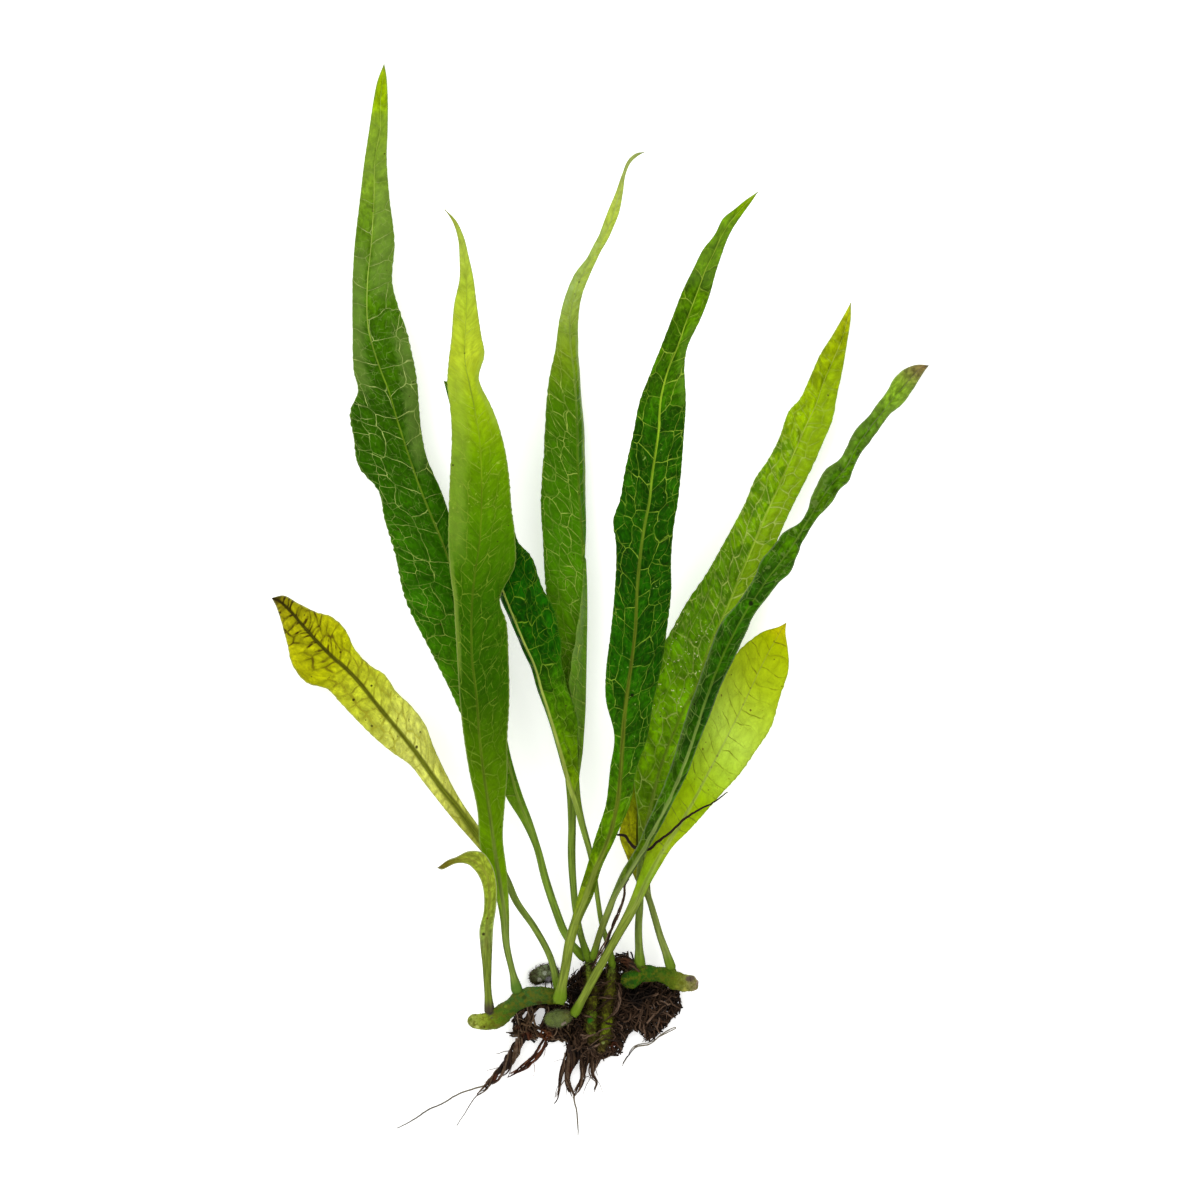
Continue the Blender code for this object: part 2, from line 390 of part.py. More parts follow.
RHIZOMES = {
    "rhizome_left": [
        (-30.9, -100.7, 6.2, 0.9),
        (-29.8, -100.8, 6.3, 1.8),
        (-26.9, -101.1, 6.7, 2.0),
        (-24.7, -100.4, 6.9, 2.2),
        (-22.6, -98.5, 6.9, 2.15),
        (-20.2, -96.6, 6.9, 1.95),
        (-16.8, -94.9, 6.9, 2.2),
        (-13.2, -94.7, 6.9, 2.0),
        (-10.6, -95.2, 6.8, 1.75),
        (-9.3, -95.6, 6.7, 1.1),
    ],
    "rhizome_middle": [
        (-2.6, -86.8, 6.0, 1.15),
        (-2.2, -91.1, 5.9, 1.15),
        (-1.9, -95.9, 5.8, 1.2),
        (-2.0, -101.2, 5.8, 1.2),
        (-1.7, -105.5, 5.7, 1.0),
    ],
    "rhizome_back": [
        (2.8, -87.7, 5.7, 0.85),
        (2.6, -92.3, 5.7, 0.95),
        (1.8, -97.1, 5.8, 1.1),
        (1.7, -101.2, 5.8, 1.2),
        (0.9, -106.0, 5.6, 0.9),
    ],
    "rhizome_right": [
        (5.8, -91.1, 6.8, 1.2),
        (7.2, -91.0, 6.8, 2.05),
        (9.6, -89.7, 6.9, 2.05),
        (12.2, -89.4, 6.9, 1.9),
        (15.1, -89.9, 6.9, 1.85),
        (18.0, -91.1, 6.9, 2.15),
        (20.9, -91.8, 6.8, 2.0),
        (22.7, -91.8, 6.8, 1.4),
    ],
    "rhizome_front": [
        (-12.5, -100.5, 6.5, 0.9),
        (-11.5, -100.4, 6.6, 1.75),
        (-10.1, -100.2, 6.7, 2.1),
        (-8.5, -99.9, 6.7, 1.7),
        (-7.6, -99.7, 6.7, 0.9),
    ],
    "rhizome_old_end": [
        (-16.0, -90.9, 2.6, 1.2),
        (-14.8, -90.2, 2.7, 1.9),
        (-13.0, -89.6, 2.8, 2.2),
        (-11.4, -89.8, 2.7, 1.9),
        (-10.5, -90.2, 2.6, 1.2),
    ],
}

RHIZOME_COLOURS = {
    "rhizome_left": (0.10, 0.22, 0.03),
    "rhizome_middle": (0.10, 0.16, 0.02),
    "rhizome_back": (0.14, 0.17, 0.02),
    "rhizome_right": (0.05, 0.15, 0.02),
    "rhizome_front": (0.13, 0.18, 0.08),
    "rhizome_old_end": (0.12, 0.13, 0.06),
}

ROOTS = {
    "root_left_long": [
        (-19.1, -105.9, 1.9, 1.35),
        (-20.6, -108.6, 1.8, 1.35),
        (-22.6, -111.9, 1.7, 1.5),
        (-25.0, -114.5, 1.5, 1.35),
        (-27.8, -116.9, 1.2, 0.95),
        (-30.2, -119.8, 0.8, 0.5),
        (-32.2, -122.9, 0.6, 0.35),
        (-34.5, -126.4, 0.4, 0.22),
    ],
    "root_left_outer": [
        (-13.2, -106.2, 1.8, 0.95),
        (-14.4, -108.2, 1.7, 0.95),
        (-16.1, -110.1, 1.7, 0.95),
        (-18.2, -111.9, 1.6, 0.9),
        (-20.1, -113.1, 1.6, 0.6),
    ],
    "root_hair_left": [
        (-30.0, -117.3, 0.9, HAIR_RADIUS),
        (-33.8, -118.4, 0.8, HAIR_RADIUS),
        (-37.0, -120.4, 0.6, HAIR_RADIUS),
        (-40.6, -122.0, 0.5, HAIR_RADIUS),
        (-45.1, -124.9, 0.4, HAIR_RADIUS),
        (-48.9, -126.8, 0.3, HAIR_RADIUS),
    ],
    "root_middle_left": [
        (-7.6, -107.7, 1.5, 0.55),
        (-8.7, -110.8, 1.3, 0.5),
        (-9.6, -114.1, 1.0, 0.4),
        (-9.8, -117.9, 0.8, 0.35),
        (-10.2, -119.7, 0.7, 0.4),
        (-11.2, -121.1, 0.5, HAIR_RADIUS),
    ],
    "root_middle_inner": [
        (-5.9, -107.7, 1.6, 0.95),
        (-6.8, -111.6, 1.5, 0.8),
        (-7.1, -115.2, 1.3, 0.7),
        (-6.5, -118.4, 1.1, 0.75),
        (-6.3, -119.4, 1.0, 0.45),
    ],
    "root_middle_loop": [
        (-3.5, -107.9, 1.6, 1.1),
        (-3.5, -111.6, 1.5, 0.9),
        (-3.7, -115.2, 1.3, 0.7),
        (-4.5, -117.5, 1.1, 0.55),
    ],
    "root_middle_right": [
        (-0.6, -109.4, 1.6, 1.1),
        (-1.3, -112.4, 1.3, 0.8),
        (-1.2, -115.2, 1.1, 0.5),
        (-1.4, -117.9, 0.8, 0.3),
    ],
    "root_hair_middle": [
        (-6.1, -120.3, 0.9, HAIR_RADIUS),
        (-5.6, -122.3, 0.8, HAIR_RADIUS),
        (-5.4, -125.6, 0.6, HAIR_RADIUS),
        (-5.2, -128.75, 0.3, HAIR_RADIUS),
    ],
    "root_right_strand": [
        (18.2, -102.6, 1.4, 0.25),
        (15.8, -103.7, 1.2, 0.35),
        (11.7, -106.4, 1.0, 0.4),
        (8.4, -107.2, 0.9, 0.45),
        (6.9, -109.3, 0.7, 0.4),
        (5.1, -112.0, 0.4, HAIR_RADIUS),
    ],
    "root_across_fronds": [
        (4.1, -56.3, 7.2, 0.25),
        (5.8, -56.4, 8.0, 0.3),
        (7.0, -57.8, 9.0, 0.3),
        (8.4, -59.3, 10.2, 0.3),
        (9.8, -59.4, 11.2, 0.25),
        (11.6, -59.6, 12.1, 0.25),
        (13.8, -57.8, 12.4, 0.3),
        (16.9, -55.4, 12.6, 0.3),
        (19.9, -52.5, 12.8, 0.3),
        (23.9, -50.0, 12.8, 0.3),
        (27.5, -48.2, 12.8, 0.3),
        (30.8, -45.6, 12.9, 0.25),
    ],
    "root_at_stalk": [
        (7.2, -66.2, 9.9, 0.25),
        (6.0, -67.9, 9.8, 0.25),
        (5.9, -70.0, 10.0, 0.25),
        (5.2, -73.0, 10.6, 0.25),
        (3.2, -77.4, 11.2, 0.25),
        (1.6, -81.5, 11.2, 0.25),
        (-0.6, -85.6, 10.8, 0.25),
        (-2.1, -88.5, 10.5, HAIR_RADIUS),
    ],
}

ROOT_COLOUR = (0.05, 0.025, 0.012)

# A felted mat of roots is a flat-bottomed cushion inside an outline of plan points.

ROOT_MATS = {
    "root_mat_left": [
        (-21.4, -101.6),
        (-19.4, -97.6),
        (-15.5, -95.2),
        (-12.0, -94.8),
        (-9.4, -95.8),
        (-7.2, -97.6),
        (-6.4, -100.6),
        (-6.2, -103.0),
        (-7.0, -105.9),
        (-9.6, -105.7),
        (-12.2, -105.5),
        (-14.6, -105.3),
        (-17.0, -105.3),
        (-19.6, -104.5),
        (-21.6, -104.1),
    ],
    "root_mat_right": [
        (-5.6, -96.8),
        (-6.4, -91.5),
        (-4.6, -88.9),
        (-1.0, -88.6),
        (2.4, -86.9),
        (5.3, -85.2),
        (7.6, -85.8),
        (8.6, -88.6),
        (12.6, -91.2),
        (17.0, -92.7),
        (18.6, -93.7),
        (19.0, -96.8),
        (18.2, -99.2),
        (16.2, -101.3),
        (13.4, -104.0),
        (11.2, -105.5),
        (9.6, -104.0),
        (8.2, -103.2),
        (6.6, -104.4),
        (5.1, -106.6),
        (4.9, -108.2),
        (1.2, -108.7),
        (-1.6, -108.1),
        (-3.6, -106.8),
        (-5.7, -106.0),
        (-5.3, -101.6),
    ],
}

MAT_FOOT_SCALE = 0.93
MAT_CROWN_SCALE = 0.82


def clear_scene():
    for item in list(bpy.data.objects):
        bpy.data.objects.remove(item, do_unlink=True)


def make_material(name, colour, roughness):
    material = bpy.data.materials.new(name)
    material.use_nodes = True
    shader = material.node_tree.nodes["Principled BSDF"]
    shader.inputs["Base Color"].default_value = (*colour, 1.0)
    shader.inputs["Roughness"].default_value = roughness
    shader.inputs["Metallic"].default_value = 0.0
    return material


def skin_rings(name, rings, material):
    """Join rings of points into one closed body with a flat cap at each end."""
    shape = bmesh.new()
    loops = []
    for ring in rings:
        loops.append([shape.verts.new(point * MM) for point in ring])
    sides = len(loops[0])
    for first, second in zip(loops, loops[1:]):
        for side in range(sides):
            following = (side + 1) % sides
            shape.faces.new((first[side], first[following], second[following], second[side]))
    shape.faces.new(loops[0])
    shape.faces.new(loops[-1])
    bmesh.ops.recalc_face_normals(shape, faces=shape.faces)
    mesh = bpy.data.meshes.new(name)
    shape.to_mesh(mesh)
    shape.free()
    mesh.materials.append(material)
    mesh.shade_smooth()
    mesh.set_sharp_from_angle(angle=math.radians(50))
    piece = bpy.data.objects.new(name, mesh)
    bpy.context.scene.collection.objects.link(piece)
    return piece


def blade_rings(frond):
    """Give the ring of ten points round the blade at each station."""
    rows = []
    for left_x, left_y, rib_x, rib_y, right_x, right_y, height, left_lift, right_lift in frond["blade"]:
        left = Vector((left_x, left_y, height + left_lift))
        rib = Vector((rib_x, rib_y, height))
        right = Vector((right_x, right_y, height + right_lift))
        left_mid = (left + rib) / 2 + Vector((0, 0, BLADE_ARCH * (rib - left).length))
        right_mid = (right + rib) / 2 + Vector((0, 0, BLADE_ARCH * (right - rib).length))
        rows.append([left, left_mid, rib, right_mid, right])
    stalk_start = Vector(frond["stalk"][0][:3])
    tip = Vector(frond["tip"])
    before = [tip] + [row[2] for row in rows[:-1]]
    after = [row[2] for row in rows[1:]] + [stalk_start]
    stalk_radius = frond["stalk"][0][3]
    rings = []
    for index, row in enumerate(rows):
        along = after[index] - before[index]
        share = index / (len(rows) - 1)
        rib_thickness = RIB_THICKNESS + (1.6 * stalk_radius - RIB_THICKNESS) * share ** 2
        thicknesses = [MARGIN_THICKNESS, BLADE_THICKNESS, rib_thickness, BLADE_THICKNESS, MARGIN_THICKNESS]
        upper = []
        lower = []
        for column, point in enumerate(row):
            across = row[min(column + 1, 4)] - row[max(column - 1, 0)]
            normal = along.cross(across).normalized()
            upper.append(point + normal * thicknesses[column] / 2)
            lower.append(point - normal * thicknesses[column] / 2)
        rings.append(upper + lower[::-1])
    return rings, rows


def tip_ring(tip, row):
    """Give a very small ring at the tip, turned like the first station of the blade."""
    along = (row[2] - tip).normalized()
    across = (row[4] - row[0]).normalized()
    across = (across - along * across.dot(along)).normalized()
    return round_ring(tip, along, across, TIP_HALF_WIDTH)


def round_ring(centre, along, across, radius):
    """Give ten points round a stalk, in the order that the blade's ring has."""
    upward = along.cross(across).normalized()
    sideways = upward.cross(along).normalized()
    ring = []
    for step in range(10):
        angle = math.radians(162 - 36 * step)
        ring.append(centre + sideways * radius * math.cos(angle) + upward * radius * math.sin(angle))
    return ring


def stalk_rings(stalk, last_row):
    points = [last_row[2]] + [Vector(station[:3]) for station in stalk]
    across = (last_row[4] - last_row[0]).normalized()
    rings = []
    for index, station in enumerate(stalk):
        here = points[index + 1]
        following = points[min(index + 2, len(points) - 1)]
        along = (following - points[index]).normalized()
        across = (across - along * across.dot(along)).normalized()
        rings.append(round_ring(here, along, across, station[3]))
    return rings


def make_frond(name, frond):
    material = make_material(name + "_leaf", frond["colour"], 0.4)
    rings, rows = blade_rings(frond)
    rings = [tip_ring(Vector(frond["tip"]), rows[0])] + rings + stalk_rings(frond["stalk"], rows[-1])
    return skin_rings(name, rings, material)


def make_tube(name, path, sides, material):
    """Sweep a round section of changing radius along a path."""
    centres = [Vector(station[:3]) for station in path]
    sideways = Vector((0, 0, 1))
    rings = []
    for index, station in enumerate(path):
        along = centres[min(index + 1, len(path) - 1)] - centres[max(index - 1, 0)]
        along.normalize()
        sideways = (sideways - along * sideways.dot(along)).normalized()
        upward = along.cross(sideways)
        ring = []
        for side in range(sides):
            angle = 2 * math.pi * side / sides
            reach = sideways * math.cos(angle) + upward * math.sin(angle)
            ring.append(centres[index] + reach * station[3])
        rings.append(ring)
    return skin_rings(name, rings, material)


def make_mat(name, outline, material):
    """Build a cushion with a flat foot on the plane z = 0 and a lower, smaller crown."""
    middle = sum((Vector((x, y, 0)) for x, y in outline), Vector()) / len(outline)
    levels = [
        (0.0, MAT_FOOT_SCALE),
        (0.7, 1.0),
        (MAT_SHOULDER, 0.97),
        (MAT_HEIGHT, MAT_CROWN_SCALE),
    ]
    rings = []
    for height, scale in levels:
        ring = []
        for x, y in outline:
            point = middle + (Vector((x, y, 0)) - middle) * scale
            point.z = height
            ring.append(point)
        rings.append(ring)
    return skin_rings(name, rings, material)


def build_plant():
    clear_scene()
    for name, frond in FRONDS.items():
        make_frond(name, frond)
    for name, path in RHIZOMES.items():
        material = make_material(name + "_skin", RHIZOME_COLOURS[name], 0.6)
        make_tube(name, path, RHIZOME_SIDES, material)
    root_material = make_material("dark_root", ROOT_COLOUR, 0.7)
    for name, path in ROOTS.items():
        make_tube(name, path, ROOT_SIDES, root_material)
    for name, outline in ROOT_MATS.items():
        make_mat(name, outline, root_material)


build_plant()
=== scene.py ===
# The look of a java fern, picked and laid flat: netted leathery fronds, creeping rhizomes and felted roots,
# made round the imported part. Plan points, heights and radii are in millimetres.

import math

import bmesh
import bpy
import numpy as np
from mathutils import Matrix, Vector


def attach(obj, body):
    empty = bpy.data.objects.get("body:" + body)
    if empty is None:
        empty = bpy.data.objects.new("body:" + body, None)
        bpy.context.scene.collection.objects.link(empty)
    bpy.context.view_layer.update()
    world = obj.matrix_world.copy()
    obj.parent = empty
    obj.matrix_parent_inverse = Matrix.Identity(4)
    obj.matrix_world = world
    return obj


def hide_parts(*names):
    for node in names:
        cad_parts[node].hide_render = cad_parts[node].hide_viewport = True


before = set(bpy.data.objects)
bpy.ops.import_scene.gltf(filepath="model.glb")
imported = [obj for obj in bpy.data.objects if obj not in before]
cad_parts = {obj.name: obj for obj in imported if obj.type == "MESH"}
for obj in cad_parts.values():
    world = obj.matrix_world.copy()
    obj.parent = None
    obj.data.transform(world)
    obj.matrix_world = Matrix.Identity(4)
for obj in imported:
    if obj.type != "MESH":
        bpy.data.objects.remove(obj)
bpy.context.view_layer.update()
mm = 0.001


def colour(text):  # sRGB hex to the linear values that a shader reads
    linear = []
    for place in (1, 3, 5):
        share = int(text[place:place + 2], 16) / 255
        linear.append(share / 12.92 if share <= 0.04045 else ((share + 0.055) / 1.055) ** 2.4)
    return (*linear, 1.0)


def addNode(tree, kind, sockets=None, out=0, stops=None, **settings):
    # one node: its settings, its sockets as numbers or links, and a ramp's stops. Gives an output, or the node
    node = tree.nodes.new(kind)
    for name, value in settings.items():
        setattr(node, name, value)
    for name, value in (sockets or {}).items():
        if isinstance(value, bpy.types.NodeSocket):
            tree.links.new(value, node.inputs[name])
        else:
            node.inputs[name].default_value = value
    if stops:
        ramp = node.color_ramp.elements
        while len(ramp) < len(stops):
            ramp.new(1.0)
        for element, (position, text) in zip(ramp, stops):
            element.position = position
            element.color = colour(text)
    return node if out is None else node.outputs[out]


def newTree(name, inputs):
    # a geometry tree with named inputs. Gives the tree, its input sockets and its output node
    tree = bpy.data.node_groups.new(name, "GeometryNodeTree")
    tree.interface.new_socket("Geometry", in_out="OUTPUT", socket_type="NodeSocketGeometry")
    tree.interface.new_socket("Geometry", in_out="INPUT", socket_type="NodeSocketGeometry")
    for label, kind in inputs.items():
        tree.interface.new_socket(label, in_out="INPUT", socket_type=kind)
    start = tree.nodes.new("NodeGroupInput")
    return tree, start.outputs, tree.nodes.new("NodeGroupOutput")


def endTree(tree, end, geometry, material):
    realised = addNode(tree, "GeometryNodeRealizeInstances", {0: geometry})
    dressed = addNode(tree, "GeometryNodeSetMaterial", {"Geometry": realised, "Material": material})
    tree.links.new(dressed, end.inputs[0])


def runTree(piece, tree, values):
    # runs the tree on the piece and keeps the result as a plain mesh
    modifier = piece.modifiers.new(tree.name, "NODES")
    modifier.node_group = tree
    for item in tree.interface.items_tree:
        if item.in_out == "INPUT" and item.name in values:
            modifier[item.identifier] = values[item.name]
    evaluated = piece.evaluated_get(bpy.context.evaluated_depsgraph_get())
    mesh = bpy.data.meshes.new_from_object(evaluated)
    piece.modifiers.clear()
    piece.data = mesh
    return piece


def newPiece(name, points, faces, attributes, edges=()):
    # a mesh in metres with vector attributes on its points
    mesh = bpy.data.meshes.new(name)
    mesh.from_pydata((np.asarray(points) * mm).tolist(), edges, faces)
    for label, values in attributes.items():
        layer = mesh.attributes.new(label, "FLOAT_VECTOR", "POINT")
        layer.data.foreach_set("vector", np.asarray(values, np.float32).ravel())
    shape = bmesh.new()
    shape.from_mesh(mesh)
    bmesh.ops.recalc_face_normals(shape, faces=shape.faces)
    shape.to_mesh(mesh)
    shape.free()
    mesh.shade_smooth()
    piece = bpy.data.objects.new(name, mesh)
    bpy.context.scene.collection.objects.link(piece)
    return piece


def finishPiece(piece, node):
    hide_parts(node)
    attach(piece, "root")


# The table, the light and the camera

studio = {
    "floorSize": 4.0,           # metres
    "floorColour": "#f4f4f2",
    "cameraHeight": 3.0,        # metres, far off as with a long lens
    "photoWidth": 0.288,        # metres of table across the square frame
    "world": 0.5,
    "tableGlow": 0.5,           # the table is lit from inside a little, as a light table
    "ringPower": 3.0,
    "ringSize": 1.0,
    "ringHeight": 1.1,
    "ringReach": 1.1,
}


def makeStudio():
    mesh = bpy.data.meshes.new("table_top")
    half = studio["floorSize"] / 2
    corners = [(-half, -half, 0), (half, -half, 0), (half, half, 0), (-half, half, 0)]
    mesh.from_pydata(corners, [], [(0, 1, 2, 3)])
    floor = bpy.data.objects.new("table_top", mesh)
    bpy.context.scene.collection.objects.link(floor)
    material = bpy.data.materials.new("paleCard")
    material.use_nodes = True
    shader = material.node_tree.nodes["Principled BSDF"]
    shader.inputs["Base Color"].default_value = colour(studio["floorColour"])
    shader.inputs["Roughness"].default_value = 0.9
    shader.inputs["Specular IOR Level"].default_value = 0.1
    shader.inputs["Emission Color"].default_value = (1.0, 1.0, 1.0, 1.0)
    shader.inputs["Emission Strength"].default_value = studio["tableGlow"]
    mesh.materials.append(material)

    world = bpy.data.worlds.new("softRoom")
    world.use_nodes = True
    backdrop = world.node_tree.nodes["Background"]
    backdrop.inputs["Color"].default_value = (1.0, 1.0, 1.0, 1.0)
    backdrop.inputs["Strength"].default_value = studio["world"]
    bpy.context.scene.world = world

    # a ring of soft boxes, with the brightest at the upper left
    for index, share in enumerate((2.0, 1.2, 0.9, 0.7, 0.6, 0.7, 0.9, 1.2)):
        angle = math.radians(125 - 45 * index)
        lamp = bpy.data.lights.new("softBox", "AREA")
        lamp.size = studio["ringSize"]
        lamp.energy = studio["ringPower"] * share
        box = bpy.data.objects.new("softBox", lamp)
        reach = studio["ringReach"]
        box.location = (reach * math.cos(angle), reach * math.sin(angle), studio["ringHeight"])
        box.rotation_euler = (-box.location).to_track_quat("-Z", "Y").to_euler()
        bpy.context.scene.collection.objects.link(box)

    lens = bpy.data.cameras.new("longLens")
    camera = bpy.data.objects.new("longLens", lens)
    camera.location = (0, 0, studio["cameraHeight"])
    lens.lens = lens.sensor_width * studio["cameraHeight"] / studio["photoWidth"]
    lens.clip_end = 10
    bpy.context.scene.collection.objects.link(camera)
    bpy.context.scene.camera = camera
    bpy.context.scene.view_settings.view_transform = "Standard"


makeStudio()
print("table, light and camera are set")


# Fronds. A blade is a list of stations from the tip to the stalk, and a station holds the left margin (x, y),
# the midrib (x, y), the right margin (x, y), the midrib's height, and the rise of the left and the right margin.

leafBuild = {
    "rowStep": 0.55,            # between rows along the blade
    "stalkStep": 0.9,
    "ribColumns": 5,            # columns on each side of the midrib's middle
    "bladeColumns": 12,
    "halfThickness": 0.15,
    "ribTip": 0.12,             # radius of the midrib at the tip
    "ribRise": 0.5,             # how much of the midrib stands above the blade
    "stalkSink": 1.7,           # how far a stalk runs on into its rhizome
    "footFlare": 0.3,           # how much wider a stalk grows at its foot
    "footLength": 5.5,
}


def throughPoints(knots, values, at):
    # a smooth curve through every value
    values = np.asarray(values, float)
    slopes = np.gradient(values, knots, axis=0)
    low = np.clip(np.searchsorted(knots, at, side="right") - 1, 0, len(knots) - 2)
    span = (knots[low + 1] - knots[low])[:, None]
    t = (at - knots[low])[:, None] / span
    rise = t * t * (3 - 2 * t)
    bend = t * (1 - t) * span
    ends = values[low] * (1 - rise) + values[low + 1] * rise
    return ends + bend * ((1 - t) * slopes[low] - t * slopes[low + 1])


def unit(vectors):
    return vectors / np.maximum(np.linalg.norm(vectors, axis=-1, keepdims=True), 1e-9)


def wander(seed, length, *places):
    # a smooth random wave of about that length over one or two places, from -1 to 1
    rng = np.random.default_rng(seed)
    total = 0
    for turn in range(5):
        heading = rng.uniform(0, 2 * math.pi)
        pull = (math.cos(heading), math.sin(heading)) if len(places) == 2 else (1.0,)
        pace = 2 * math.pi / length * rng.uniform(0.6, 1.6)
        phase = rng.uniform(0, 2 * math.pi)
        total = total + np.sin(pace * sum(p * x for p, x in zip(pull, places)) + phase)
    return total / 3


def smoothStep(low, high, x):
    t = np.clip((x - low) / (high - low), 0, 1)
    return t * t * (3 - 2 * t)


def frondRows(frond):
    # the left margin, midrib and right margin at every row, with the midrib's radius and the way from the tip
    left, rib, right = [], [], []
    for lx, ly, cx, cy, rx, ry, height, leftRise, rightRise in frond["blade"]:
        left.append((lx, ly, height + leftRise))
        rib.append((cx, cy, height))
        right.append((rx, ry, height + rightRise))
    tip = np.array(frond["tip"])
    left, rib, right = ([tip, *map(np.array, side)] for side in (left, rib, right))
    bladeKnots = np.r_[0, np.cumsum(np.linalg.norm(np.diff(rib, axis=0), axis=1))]
    stalk = np.array(frond["stalk"])
    last = stalk[-1].copy()
    last[:3] += unit(stalk[-1, :3] - stalk[-2, :3]) * leafBuild["stalkSink"]
    stalk = np.vstack([stalk, last])
    growth = (bladeKnots / bladeKnots[-1]) ** 1.2
    radii = list(leafBuild["ribTip"] + (stalk[0, 3] - leafBuild["ribTip"]) * growth)
    across = unit(right[-1] - left[-1])
    for index, (x, y, z, radius) in enumerate(stalk):
        here = np.array((x, y, z))
        along = unit(here - rib[-1])
        across = unit(across - along * across.dot(along))
        left.append(here - across * radius)
        right.append(here + across * radius)
        rib.append(here)
        radii.append(radius)
    knots = np.r_[0, np.cumsum(np.linalg.norm(np.diff(rib, axis=0), axis=1))]
    bladeEnd = knots[len(frond["blade"])]
    at = np.concatenate([
        np.linspace(0.12, 3.0, 10, endpoint=False),
        np.arange(3.0, bladeEnd, leafBuild["rowStep"]),
        np.arange(bladeEnd, knots[-1] - 1.5, leafBuild["stalkStep"]),
        knots[-1] - 1.4 * np.cos(np.linspace(0, math.pi / 2, 6)),
    ])
    table = np.hstack([left, rib, right, np.array(radii)[:, None]])
    rows = throughPoints(knots, table, at)
    toEnd = knots[-1] - at
    rows[:, 9] *= 1 + leafBuild["footFlare"] * smoothStep(leafBuild["footLength"], 1.2, toEnd)
    rows[:, 9] *= np.sqrt(np.clip(1 - (1 - toEnd / 1.4).clip(0, 1) ** 2, 0.01, 1))
    return at, bladeEnd, rows[:, 0:3], rows[:, 3:6], rows[:, 6:9], rows[:, 9]


def halfShares(width, radius):
    # where the columns of half a blade stand, from the midrib at 0 to the margin at 1
    ribs, blades = leafBuild["ribColumns"], leafBuild["bladeColumns"]
    count = ribs + blades
    round_ = np.sin(np.arange(count + 1) / count * math.pi / 2)
    ribPart = radius[:, None] * 1.25 * np.sin(np.arange(ribs) / ribs * math.pi / 2)
    reach = (width - 0.1 - radius * 1.25)[:, None]
    bladePart = radius[:, None] * 1.25 + reach * np.arange(blades) / (blades - 1)
    flat = np.hstack([ribPart, bladePart, width[:, None]]) / width[:, None]
    blade = smoothStep(0.15, 0.9, width - radius)[:, None]
    return round_ * (1 - blade) + flat * blade


